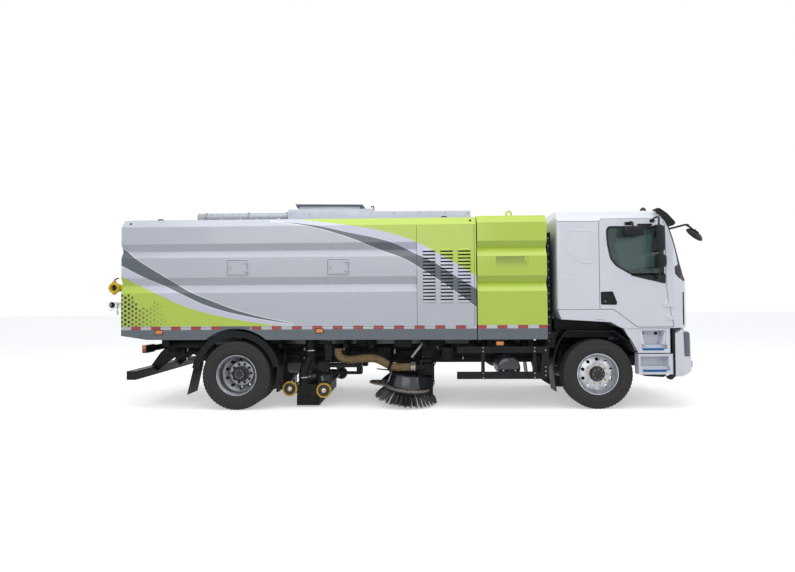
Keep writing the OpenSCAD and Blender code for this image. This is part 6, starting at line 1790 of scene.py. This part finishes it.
tuft_unit = unit_of(bristle_tuft)
for side in SIDES:
    label = SIDE_NAME[side]
    body = f"brush_{label}"
    to_truck = Matrix.Translation(place(BRUSH_X, side * BRUSH_Y, BRUSH_Z)) @ brush_turn(side).to_4x4()
    shape = Shape()
    for count, radius, height, seed in ((26, 0.236, 0.150, 3), (30, 0.278, 0.151, 5), (36, 0.318, 0.152, 7)):
        shape.scatter(repeat("ring", tuft_unit, M["bristle"],
                             {"Count": count, "Radius": radius, "Jitter": 0.06, "Seed": seed},
                             matrix=to_truck @ Matrix.Translation((0, 0, height))))
    tufts = shape.done(f"brush_tufts_{label}", body, M["bristle"], "bristle", smooth=60)
    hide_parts(f"brush_{label}")
    shape = Shape(on_brush(side))
    shape.lathe((0, 0, 0), (0, 0, 1), [(21, 152), (60, 150), (70, 158), (200, 154), (342, 152), (346, 158),
                                       (346, 178), (340, 184), (21, 184)], 96)
    for k in range(8):
        a = 2 * math.pi * k / 8
        shape.rod((96 * math.cos(a), 96 * math.sin(a), 144), (96 * math.cos(a), 96 * math.sin(a), 156), 9, 6)
    shape.done(f"brush_disc_{label}", body, M["cast"], "cast", bevel=1)
    body = f"brush_arm_{label}"
    # cover plate with its rounded rear lug
    shape = Shape(on_brush(side))
    outline = []
    for k in range(61):
        a = math.radians(-155 + 310 * k / 60)
        outline.append((366 * math.cos(a), 366 * math.sin(a)))
    lug = [(-470, 132), (-540, 96), (-572, 48), (-582, 0), (-572, -48), (-540, -96), (-470, -132)]
    shape.prism(outline + lug, 192, 210, "z")
    shape.lathe((0, 0, 0), (0, 0, 1), [(356, 184), (370, 184), (370, 216), (362, 218), (356, 210)], 96)
    plate = shape.done(f"brush_cover_plate_{label}", body, M["plate"], "cast", bevel=3)
    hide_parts(f"brush_arm_{label}")
    shape = Shape(on_brush(side))
    for x, r in ((-420, 26), (-520, 26)):
        shape.lathe((x, 0, 210), (0, 0, 1), rect(0, r, 0, 1.5), 24, closed=False)
        shape.lathe((x, 0, 190.5), (0, 0, 1), rect(0, r, 0, 1.5), 24, closed=False)
    shape.done(f"brush_plate_holes_{label}", body, M["louvre_shadow"], "plastic_black")
    shape = Shape(on_brush(side))
    shape.lathe((0, 0, 0), (0, 0, 1), [(308, 214), (308, 226), (300, 232), (262, 392), (254, 400), (238, 404),
                                       (90, 408), (60, 408), (60, 400), (236, 396), (248, 388), (290, 226),
                                       (296, 214)], 96)
    shape.lathe((0, 0, 0), (0, 0, 1), [(264, 384), (268, 388), (267, 396), (262, 398)], 96)
    shape.done(f"brush_dome_{label}", body, M["dome"], "plastic_grey", bevel=1.5)
    shape = Shape(on_brush(side))
    for k in range(8):
        a = 2 * math.pi * (k + 0.5) / 8
        spot = Vector((218 * math.cos(a), 218 * math.sin(a), 398))
        shape.rod(spot, spot + Vector((0, 0, 18)), 6, 10)
        shape.rod(spot + Vector((0, 0, 3)), spot + Vector((0, 0, 11)), 12, 6)
    for k in range(12):
        a = 2 * math.pi * k / 12
        spot = Vector((340 * math.cos(a), 340 * math.sin(a), 210))
        shape.rod(spot, spot + Vector((0, 0, 12)), 9, 6)
    shape.lathe((0, 0, 0), (0, 0, 1), [(0, 400), (92, 400), (92, 409), (74, 412), (64, 422), (56, 425),
                                       (0, 425)], 48,
                closed=False)
    for a in (2.5, 3.6):
        foot = Vector((48 * math.cos(a), 48 * math.sin(a), 415))
        shape.rod(foot, foot + Vector((44 * math.cos(a), 44 * math.sin(a), 0)), 8, 16)
        shape.rod(foot + Vector((18 * math.cos(a), 18 * math.sin(a), 0)),
                  foot + Vector((30 * math.cos(a), 30 * math.sin(a), 0)), 9, 6)
    shape.done(f"brush_motor_{label}", body, M["cast"], "cast", bevel=1)
    # arm from the cover to the post, with its gussets, sleeve and grease nipple
    shape = Shape()
    a, b = Vector((POST_X + 10, side * POST_Y, 345)), Vector((BRUSH_X + 300, side * (BRUSH_Y - 20), 345))
    across = (b - a).cross(Vector((0, 0, 1))).normalized() * 52
    for z0, z1, k in ((318, 330, 1.0), (330, 372, 0.82), (372, 384, 1.0)):
        corners = ((a, across), (b, across), (b, -across), (a, -across))
        shape.prism([tuple((p + q * k).xy) for p, q in corners], z0, z1, "z")
    shape.lathe((POST_X, side * POST_Y, 318), (0, 0, 1),
                [(36, 0), (58, 0), (58, 22), (50, 28), (50, 254), (58, 260), (58, 282), (36, 282)], 48)
    for z in (430, 500):
        shape.prism([(POST_X - 48, z - 90), (POST_X - 48, z + 60), (POST_X - 140, z - 40),
                     (POST_X - 180, z - 90)],
                    side * POST_Y - 8, side * POST_Y + 8)
    shape.rod((POST_X, side * (POST_Y + 48), 470), (POST_X, side * (POST_Y + 66), 470), 7, 8)
    shape.prism(rounded([(-2620, 384), (-2470, 384), (-2450, 520), (-2500, 560), (-2600, 548)], 20),
                side * POST_Y - 6, side * POST_Y + 6)
    shape.done(f"brush_arm_beam_{label}", body, M["frame"], "frame_black", bevel=3)
    # black splash guard in front of the brush, and the lift strut behind it
    shape = Shape()
    guard = []
    for k in range(13):
        t = math.radians(-62 + 92 * k / 12)
        guard.append((BRUSH_X + 412 * math.cos(t), side * (BRUSH_Y + 60) - side * 412 * math.sin(t) * 0.55))
    inner = [(x - 9, y) for x, y in guard]
    shape.prism(guard + inner[::-1], 128, 440, "z")
    shape.prism(rounded([(-2610, 462), (-2370, 462), (-2372, 540), (-2430, 640), (-2520, 640), (-2600, 560)],
                        16), *span(side, 900, 912))
    shape.done(f"brush_splash_guard_{label}", body, M["rubber"], "plastic_black", bevel=2)
    shape = Shape()
    strut = [(-2560, side * 800, 900), (-2700, side * 790, 720)]
    shape.rod(strut[0], strut[1], 22, 20)
    shape.rod(Vector(strut[0]).lerp(Vector(strut[1]), -0.35), strut[0], 9, 14)
    for k in range(8):
        p = Vector(strut[0]).lerp(Vector(strut[1]), -0.3 + 0.04 * k)
        shape.lathe(p, Vector(strut[1]) - Vector(strut[0]), rect(9, 20, -3, 3), 20)
    shape.done(f"brush_lift_strut_{label}", "chassis", M["galvanised"], "steel")
drop(tuft_unit)

# ------------------------------------------------------------------ hoses

def along(points, steps):
    """A line through points cut into even steps of some millimetres."""
    line = smooth_path(points, 14)
    lengths = [0.0]
    for a, b in zip(line, line[1:]):
        lengths.append(lengths[-1] + (b - a).length)
    count = max(2, round(lengths[-1] / steps))
    out, k = [], 0
    for i in range(count + 1):
        want = lengths[-1] * i / count
        while k < len(line) - 2 and lengths[k + 1] < want:
            k += 1
        t = (want - lengths[k]) / max(1e-6, lengths[k + 1] - lengths[k])
        out.append(line[k].lerp(line[k + 1], t))
    return out


HOSE_Y, SUCTION_X, SUCTION_Y, SUCTION_BASE = 950, -4230, 900, -4334
for side in SIDES:
    label = SIDE_NAME[side]
    y = side * HOSE_Y
    route = [(-3800, y, 878), (-3800, y, 850), (-3800, y, 820), (-3785, y, 765), (-3725, y, 722),
             (-3620, y, 702), (-3460, y, 720), (-3310, y, 728), (-3200, y, 704), (-3100, y, 655),
             (-3015, y, 612), (-2920, y, 592), (-2820, y, 590), (-2730, y, 590), (-2636, y, 590)]
    line = along(route, 5.5)
    wave = [60 + 3.2 * math.sin(2 * math.pi * i / 4) if 3 < i < len(line) - 4 else 63
            for i in range(len(line))]
    shape = Shape()
    shape.tube(line, wave, 36)
    hose = shape.done(f"sweep_hose_cloth_{label}", "chassis", M["cloth_hose"], "hose_tan", smooth=60)
    if side < 0:
        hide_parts("sweep_hoses")
    shape = Shape()
    k = int(len(line) * 0.70)
    shape.lathe(line[k], line[k + 1] - line[k - 1], [(58, -22), (70, -22), (72, 0), (70, 22), (58, 22)], 40)
    shape.done(f"sweep_hose_strap_{label}", "chassis", M["rubber"], "plastic_black", bevel=1.5)
    shape = Shape()
    for k in (len(line) - 6, len(line) - 12):
        shape.lathe(line[k], line[k + 1] - line[k - 1], rect(60, 66.5, -7, 7), 40)
        shape.rod(line[k] + Vector((-14, 0, 68)), line[k] + Vector((14, 0, 68)), 6, 10)
    shape.done(f"sweep_hose_clamps_{label}", "chassis", M["steel"], "steel", bevel=1)
    # suction hose that stretches between the frame's pipe and the nozzle
    y = side * SUCTION_Y
    route = [(SUCTION_BASE, y, 431), (SUCTION_BASE, y, 470), (SUCTION_BASE, y, 515), (-4300, y, 610),
             (-4255, y, 700), (SUCTION_X, y, 770), (SUCTION_X, y, 810), (SUCTION_X, y, 849)]
    line = along(route, 5)
    wave = [74 + 4 * math.sin(2 * math.pi * i / 5) if 3 < i < len(line) - 4 else 78 for i in range(len(line))]
    shape = Shape()
    shape.tube(line, wave, 40)
    mesh = bpy.data.meshes.new(f"suction_hose_{label}")
    shape.bm.to_mesh(mesh)
    shape.bm.free()
    hose = bpy.data.objects.new(f"suction_hose_{label}", mesh)
    bpy.context.scene.collection.objects.link(hose)
    shade(mesh, 60)
    mesh.materials.append(M["rubber_hose"])
    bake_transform(hose)
    if side < 0:
        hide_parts("suction_hoses")
    for name, body, x, z in (("upper", "chassis", SUCTION_X, 846), ("lower", "nozzle", SUCTION_BASE, 442)):
        shape = Shape()
        shape.lathe((x, y, z), (0, 0, 1), rect(76, 82.5, -8, 8), 48)
        shape.box((x - 16, y + side * 78, z - 7), (x + 16, y + side * 96, z + 7))
        shape.rod((x - 28, y + side * 90, z), (x + 28, y + side * 90, z), 5, 10)
        shape.done(f"suction_clamp_{name}_{label}", body, M["steel"], "steel", bevel=1)

# ------------------------------------------------------------------ what hangs under and behind

RAIL_Y, RAIL_TOP = 430, 885


def lidded_box(shape, low, high, side):
    """A fitted case: body, proud lid, and screws at its corners on the outer face."""
    lid = 8
    y0, y1 = span(side, abs(low[1]), abs(high[1]))
    out = y1 if side > 0 else y0
    shape.prism(rounded(rect(low[0], high[0], low[2], high[2]), 12), y0, y1)
    lo, hi = sorted((out, out + side * lid))
    shape.prism(rounded(rect(low[0] + 10, high[0] - 10, low[2] + 10, high[2] - 10), 10), lo, hi)
    for x in (low[0] + 22, high[0] - 22):
        for z in (low[2] + 22, high[2] - 22):
            shape.lathe((x, out + side * lid, z), (0, side, 0), [(0, 0), (7, 0), (6, 4), (0, 5)], 6,
                        closed=False)


for side in SIDES:
    label = SIDE_NAME[side]
    shape = Shape()
    lidded_box(shape, (-4080, 1080, 560), (-3930, 1000, 690), side)
    lidded_box(shape, (-3560, 700, 900), (-3380, 560, 1010), side)
    lidded_box(shape, (-3240, 560, 640), (-3020, 440, 860), side)
    lidded_box(shape, (-2960, 860, 880), (-2700, 560, 1010), side)
    lidded_box(shape, (-2240, 900, 700), (-2080, 440, 880), side)
    lidded_box(shape, (-573, 1010, 1020), (-480, 930, 1150), side)
    lidded_box(shape, (-6500, 950, 905), (-6380, 860, 1060), side)
    # frame plates and hangers below the hopper's floor
    for x in (-4700, -3700, -3300, -2500, -1600, -1000):
        shape.prism([(x - 36, RAIL_TOP - 10), (x + 36, RAIL_TOP - 10), (x + 30, 990), (x - 30, 990)],
                    *span(side, 440, 900))
    shape.prism([(-4140, 600), (-3470, 600), (-3470, 640), (-3700, 650), (-4140, 640)],
                *span(side, 1040, 1052))
    shape.prism([(-6480, 890), (-6420, 1004), (-5700, 1004), (-5700, 890)], *span(side, 860, 872))
    shape.prism([(-6480, 640), (-6480, 890), (-6330, 890), (-6330, 760)], *span(side, 500, 512))
    shape.prism([(-3990, 700), (-3900, 700), (-3880, 990), (-4010, 990)], *span(side, 1000, 1012))
    shape.prism([(-560, 880), (-560, 1050), (420, 1050), (420, 880)], *span(side, 384, 390))
    shape.prism([(-2560, 990), (-2180, 990), (-2200, 740), (-2300, 660), (-2480, 660), (-2540, 740)],
                *span(side, 700, 712))
    shape.done(f"underbody_cases_{label}", "chassis", M["frame"], "frame_black", bevel=3)
    # air and oil lines, slung along the rail and out to the sweeping gear
    shape = Shape()
    luck = random.Random(5 + side)
    for k, z in enumerate((842, 822, 800, 690, 668)):
        path = []
        for i in range(22):
            path.append((-6300 + i * 315, side * (RAIL_Y + 16 + 7 * k + luck.uniform(-3, 3)),
                         z + luck.uniform(-5, 5) - (9 if i % 2 else 0)))
        shape.tube(smooth_path(path, 4), 6 + k % 3, 8)
    for x0, z0, x1, z1, y0, y1 in ((-3010, 780, -2700, 620, 480, 580), (-2960, 800, -2620, 640, 500, 600),
                                   (-2300, 860, -2430, 560, 700, 740), (-2200, 880, -2380, 600, 640, 800),
                                   (-2120, 760, -2500, 640, 560, 900), (-4300, 900, -4100, 460, 640, 780),
                                   (-3950, 880, -4080, 420, 700, 820), (-3600, 860, -3900, 520, 620, 980)):
        sag = min(z0, z1) - luck.uniform(0, 60)
        path = [(x0, side * y0, z0), (x0 + (x1 - x0) * 0.2, side * (y0 + 40), z0 - 60),
                ((x0 + x1) / 2, side * (y0 + y1) / 2 + side * 50, (z0 + sag) / 2),
                (x1 - (x1 - x0) * 0.12, side * y1, sag),
                (x1, side * y1, z1)]
        shape.tube(smooth_path(path, 7), 9, 10)
    shape.done(f"underbody_lines_{label}", "chassis", M["rubber_hose"], "hose_black", smooth=60)
    shape = Shape()
    for x in range(-6300, 300, 630):
        shape.box((x - 12, side * RAIL_Y, 655), (x + 12, side * (RAIL_Y + 52), 700))
        shape.box((x - 12, side * RAIL_Y, 790), (x + 12, side * (RAIL_Y + 34), 852))
    for x, z in ((-3950, 880), (-2960, 800), (-2300, 860)):
        shape.rod((x, side * 700, z - 30), (x, side * 700, z + 26), 15, 6)
        shape.rod((x, side * 700, z + 26), (x, side * 700, z + 44), 10, 12)
    shape.done(f"underbody_clips_{label}", "chassis", M["galvanised"], "steel", bevel=1)
    # brake chambers and shock absorbers
    shape = Shape()
    for x, y, z in ((REAR_AXLE + 260, 560, 600), (REAR_AXLE - 240, 560, 600), (230, 560, 600)):
        a = Vector((x, side * y, z))
        line = Vector((-0.9 if x > REAR_AXLE else 0.9, 0, 0.25)).normalized()
        shape.lathe(a, line, [(0, 0), (60, 0), (78, 14), (80, 56), (86, 60), (86, 70), (80, 74), (76, 120),
                              (60, 138), (0, 142)], 32, closed=False)
        shape.rod(a, a - line * 90, 11, 12)
    for x in (-420, REAR_AXLE + 520):
        shape.rod((x, side * 560, 470), (x + 40, side * 540, 780), 30, 24)
        shape.rod((x + 40, side * 540, 780), (x + 62, side * 530, 900), 15, 16)
        shape.lathe((x + 30, side * 545, 706), (40, side * -20, 310), rect(30, 38, 0, 60), 24)
    shape.done(f"brake_chambers_{label}", "chassis", M["cast"], "cast", bevel=1.5)
    # rack of cooler, pipes and intake behind the cab
    shape = Shape()
    for x0, x1, y0, y1 in ((-722, -662, 1080, 1150), (-722, -662, 500, 560)):
        shape.box((x0, side * y0, 886), (x1, side * y1, 2570))
    shape.box((-700, side * 560, 960), (-690, side * 1082, 2540))
    for z in (1000, 1400, 1800, 2200, 2520):
        shape.box((-716, side * 500, z - 20), (-668, side * 1150, z + 20))
    shape.tube(smooth_path([(-650, side * 1010, 900), (-650, side * 1010, 1500), (-655, side * 1000, 2100),
                            (-660, side * 960, 2520), (-690, side * 800, 2590)], 8), 34, 24)
    shape.tube(smooth_path([(-648, side * 900, 900), (-640, side * 905, 1300), (-646, side * 890, 1800)], 8),
               22, 20)
    shape.prism([(-735, 886), (-606, 886), (-590, 1030), (-560, 1110), (-735, 1130)], *span(side, 700, 1130))
    shape.done(f"cab_back_rack_{label}", "chassis", M["frame"], "frame_black", bevel=3)
    shape = Shape()
    shape.scatter(repeat("grid", stud_unit, M["galvanised"],
                         {"Columns": 1, "Rows": 14, "Wide": 0.0, "High": 1.500},
                         matrix=on_wall(-692, 1150, 1740, side)))
    shape.done(f"cab_back_rack_studs_{label}", "chassis", M["galvanised"], "steel", smooth=30)
    # air tank: domed end with its studs, seam and strap
    shape = Shape()
    out = (0, side, 0)
    shape.lathe((TANK_X, side * 1058, TANK_Z), out,
                [(0, 0), (160, 0), (160, 4), (154, 12), (120, 22), (60, 28), (0, 30)],
                64, closed=False)
    shape.lathe((TANK_X, side * 1050, TANK_Z), out,
                [(158, -12), (164, -12), (166, -6), (166, 4), (158, 6)], 64)
    shape.lathe((TANK_X, side * 700, TANK_Z), out, rect(158, 164, -22, 22), 64)
    shape.done(f"air_tank_end_{label}", "chassis", M["dome"], "frame_black", bevel=1)
    shape = Shape()
    for dx, dz in ((-88, -44), (0, -62), (88, -44)):
        shape.lathe((TANK_X + dx, side * 1076, TANK_Z + dz), out,
                    [(0, -6), (15, -6), (15, 10), (8, 12), (8, 22), (0, 23)],
                    16, closed=False)
    shape.done(f"air_tank_studs_{label}", "chassis", M["steel"], "steel", smooth=30)
    # tail lamps on their bar
    for name, finish, z0, z1 in (("tail_turn", "amber", 893, 946), ("tail_stop", "red", 836, 888)):
        shape = Shape()
        lo, hi = span(side, 870, 1130)
        shape.prism(rounded(rect(lo, hi, z0, z1), 10), -6716, -6703, "x")
        lo, hi = span(side, 1138, 1144)
        shape.prism(rounded(rect(-6700, -6654, z0, z1), 8), lo, hi)
        shape.done(f"{name}_lens_{label}", "chassis", M[finish], "lamp", bevel=3)
    # side guard: brackets' bolts and end caps
    shape = Shape()
    for x in (-1662, -920):
        for z in (465, 530, 845, 895):
            shape.lathe((x, side * 1210, z), out, [(0, 0), (11, 0), (11, 5), (0, 7)], 6, closed=False)
    for z in (500, 560, 620, 860):
        shape.lathe((-765, side * 1210, z), out, [(0, 0), (11, 0), (11, 5), (0, 7)], 6, closed=False)
    shape.done(f"side_guard_bolts_{label}", "chassis", M["bolt"], "steel", smooth=20)
    shape = Shape()
    for z0, z1 in ((445, 550), (822, 915)):
        lo, hi = span(side, 1174, 1211.5)
        shape.prism(rect(lo, hi, z0 - 1, z1 + 1), -2040, -2024, "x")
    shape.done(f"side_guard_caps_{label}", "chassis", M["rubber"], "plastic_black", bevel=3)
    # beads along the rear mudguards
    shape = Shape()
    for r in (566, 600, 652):
        ring = [math.radians(12 + 158 * k / 48) for k in range(49)]
        outer = [(REAR_AXLE + (r + 5) * math.cos(a), TYRE_R + (r + 5) * math.sin(a)) for a in ring]
        inner = [(REAR_AXLE + (r - 5) * math.cos(a), TYRE_R + (r - 5) * math.sin(a)) for a in ring[::-1]]
        shape.prism(outer + inner, *span(side, 1228 if r < 650 else 900, 1237))
    shape.done(f"rear_mudguard_beads_{label}", "chassis", M["guard_black"], "plastic_black", bevel=2)

# black carrier behind the bumper that closes the gap under the cab
shape = Shape()
shape.prism(rounded(rect(-880, 880, 690, 985), 30), 1060, 1080, "x")
for y in (-620, -210, 210, 620):
    shape.box((1080, y - 40, 720), (1120, y + 40, 955))
shape.done("bumper_carrier", "chassis", M["frame"], "frame_black", bevel=3)

# shaft from the drive motor to the rear axle
motor_low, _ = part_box("drive_motor")
shape = Shape()
tail = (motor_low.x - AXLE_X) * 1000
shape.rod((tail + 4, 0, 585), (REAR_AXLE + 330, 0, 540), 48, 32)
for x, z in ((tail - 30, 583), (REAR_AXLE + 360, 542)):
    shape.lathe((x, 0, z), (1, 0, -0.03), [(0, -30), (82, -30), (82, -14), (60, -8), (56, 40), (0, 40)], 32,
                closed=False)
shape.done("drive_shaft", "chassis", M["cast"], "cast", bevel=1)

# nozzle: rubber flaps, springs and bolted edges
shape = Shape()
for x0, x1, z0, z1 in ((-4108, -4096, 18, 190), (-4434, -4422, 22, 200)):
    shape.prism(rounded(rect(-920, 920, z0, z1), 6), x0, x1, "x")
for side in SIDES:
    shape.prism([(-4430, 26), (-4100, 26), (-4100, 160), (-4430, 172)], *span(side, 956, 966))
shape.done("nozzle_flaps", "nozzle", M["rubber"], "plastic_black", bevel=2)
shape = Shape()
for side in SIDES:
    for x in (-4470, -4060):
        coil = [(x + 22 * math.cos(k * 0.7), side * 880 + 22 * math.sin(k * 0.7),
                 345 + k * 1.15) for k in range(96)]
        shape.tube(coil, 4, 8)
for x, z in ((-4090, 178), (-4440, 188)):
    for y in range(-880, 881, 160):
        shape.lathe((x, y, z), (1 if x > -4200 else -1, 0, 0), [(0, 0), (10, 0), (10, 6), (0, 8)], 6,
                    closed=False)
shape.done("nozzle_springs", "nozzle", M["bolt"], "steel", smooth=50)
for body, cx, cz in (("front", -4013, 254), ("rear", -4525, 280)):
    shape = Shape()
    for side in SIDES:
        y = side * (1000 + 25)
        shape.lathe((cx, y - side * 3, cz), (0, side, 0),
                    [(0, 0), (34, 0), (34, 6), (20, 10), (18, 22), (0, 24)], 32,
                    closed=False)
    shape.done(f"support_wheel_hubs_{body}", f"nozzle_wheels_{body}", M["brass"], "steel", bevel=1)
drop(nut_unit, bolt_unit, stud_unit, blade_unit, rivet_unit)

# ------------------------------------------------------------------ floor and light

def seen_directly(nodes, join):
    """1 for what the camera sees, straight or in glass and metal, and 0 for light that bounces."""
    paths = nodes.new("ShaderNodeLightPath")
    share = paths.outputs["Is Camera Ray"]
    for ray in ("Is Transmission Ray", "Is Glossy Ray"):
        both = nodes.new("ShaderNodeMath")
        both.operation = "MAXIMUM"
        join(share, both.inputs[0])
        join(paths.outputs[ray], both.inputs[1])
        share = both.outputs[0]
    return share


def shader_of(nodes, kind, colour, strength=None):
    made = nodes.new(kind)
    made.inputs["Color"].default_value = colour
    if strength is not None:
        made.inputs["Strength"].default_value = strength
    return made


def blend_by_ray(tree, bounced, seen, end):
    """Ends a tree with one shader for bounced light and one for what is seen."""
    blend = tree.nodes.new("ShaderNodeMixShader")
    tree.links.new(seen_directly(tree.nodes, tree.links.new), blend.inputs[0])
    tree.links.new(bounced.outputs[0], blend.inputs[1])
    tree.links.new(seen.outputs[0], blend.inputs[2])
    tree.links.new(blend.outputs[0], tree.nodes.new(end).inputs["Surface"])


floor_finish = bpy.data.materials.new("studio_floor")
floor_finish.use_nodes = True
floor_tree = floor_finish.node_tree
floor_tree.nodes.clear()
floor_sum = floor_tree.nodes.new("ShaderNodeAddShader")
floor_pale = shader_of(floor_tree.nodes, "ShaderNodeBsdfDiffuse", (0.9, 0.9, 0.9, 1))
floor_lift = shader_of(floor_tree.nodes, "ShaderNodeEmission", (1, 1, 1, 1), 0.42)
floor_tree.links.new(floor_pale.outputs[0], floor_sum.inputs[0])
floor_tree.links.new(floor_lift.outputs[0], floor_sum.inputs[1])
floor_dull = shader_of(floor_tree.nodes, "ShaderNodeBsdfDiffuse", (0.34, 0.34, 0.35, 1))
blend_by_ray(floor_tree, floor_dull, floor_sum, "ShaderNodeOutputMaterial")
bpy.ops.mesh.primitive_plane_add(size=90, location=(0, 10, 0))
floor = bpy.context.object
floor.name = "studio_floor"
floor.data.materials.append(floor_finish)

world = bpy.data.worlds.new("studio")
bpy.context.scene.world = world
world.use_nodes = True
world.node_tree.nodes.clear()
soft_light = shader_of(world.node_tree.nodes, "ShaderNodeBackground", (0.93, 0.96, 1.0, 1), 0.6)
backdrop = shader_of(world.node_tree.nodes, "ShaderNodeBackground", (1, 1, 1, 1), 1.0)
blend_by_ray(world.node_tree, soft_light, backdrop, "ShaderNodeOutputWorld")


def lamp_panel(name, spot, target, wide, high, power):
    lamp = bpy.data.lights.new(name, "AREA")
    lamp.shape = "RECTANGLE"
    lamp.size, lamp.size_y = wide, high
    lamp.energy = power
    holder = bpy.data.objects.new(name, lamp)
    bpy.context.scene.collection.objects.link(holder)
    holder.location = spot
    holder.rotation_euler = (Vector(target) - Vector(spot)).to_track_quat("-Z", "Y").to_euler()


lamp_panel("overhead_panel", (-0.4, -3.8, 9.5), (0, 0, 1.0), 13, 7, 390)
lamp_panel("side_panel", (-2.0, -13.0, 5.5), (0, 0, 1.4), 10, 5, 275)
lamp_panel("front_panel", (10.0, -4.0, 4.5), (1.0, 0, 1.4), 5, 4, 110)
lamp_panel("rear_panel", (-10.0, 5.0, 5.5), (-1.0, 0, 1.4), 6, 4, 110)

bpy.context.scene.view_settings.view_transform = "Standard"
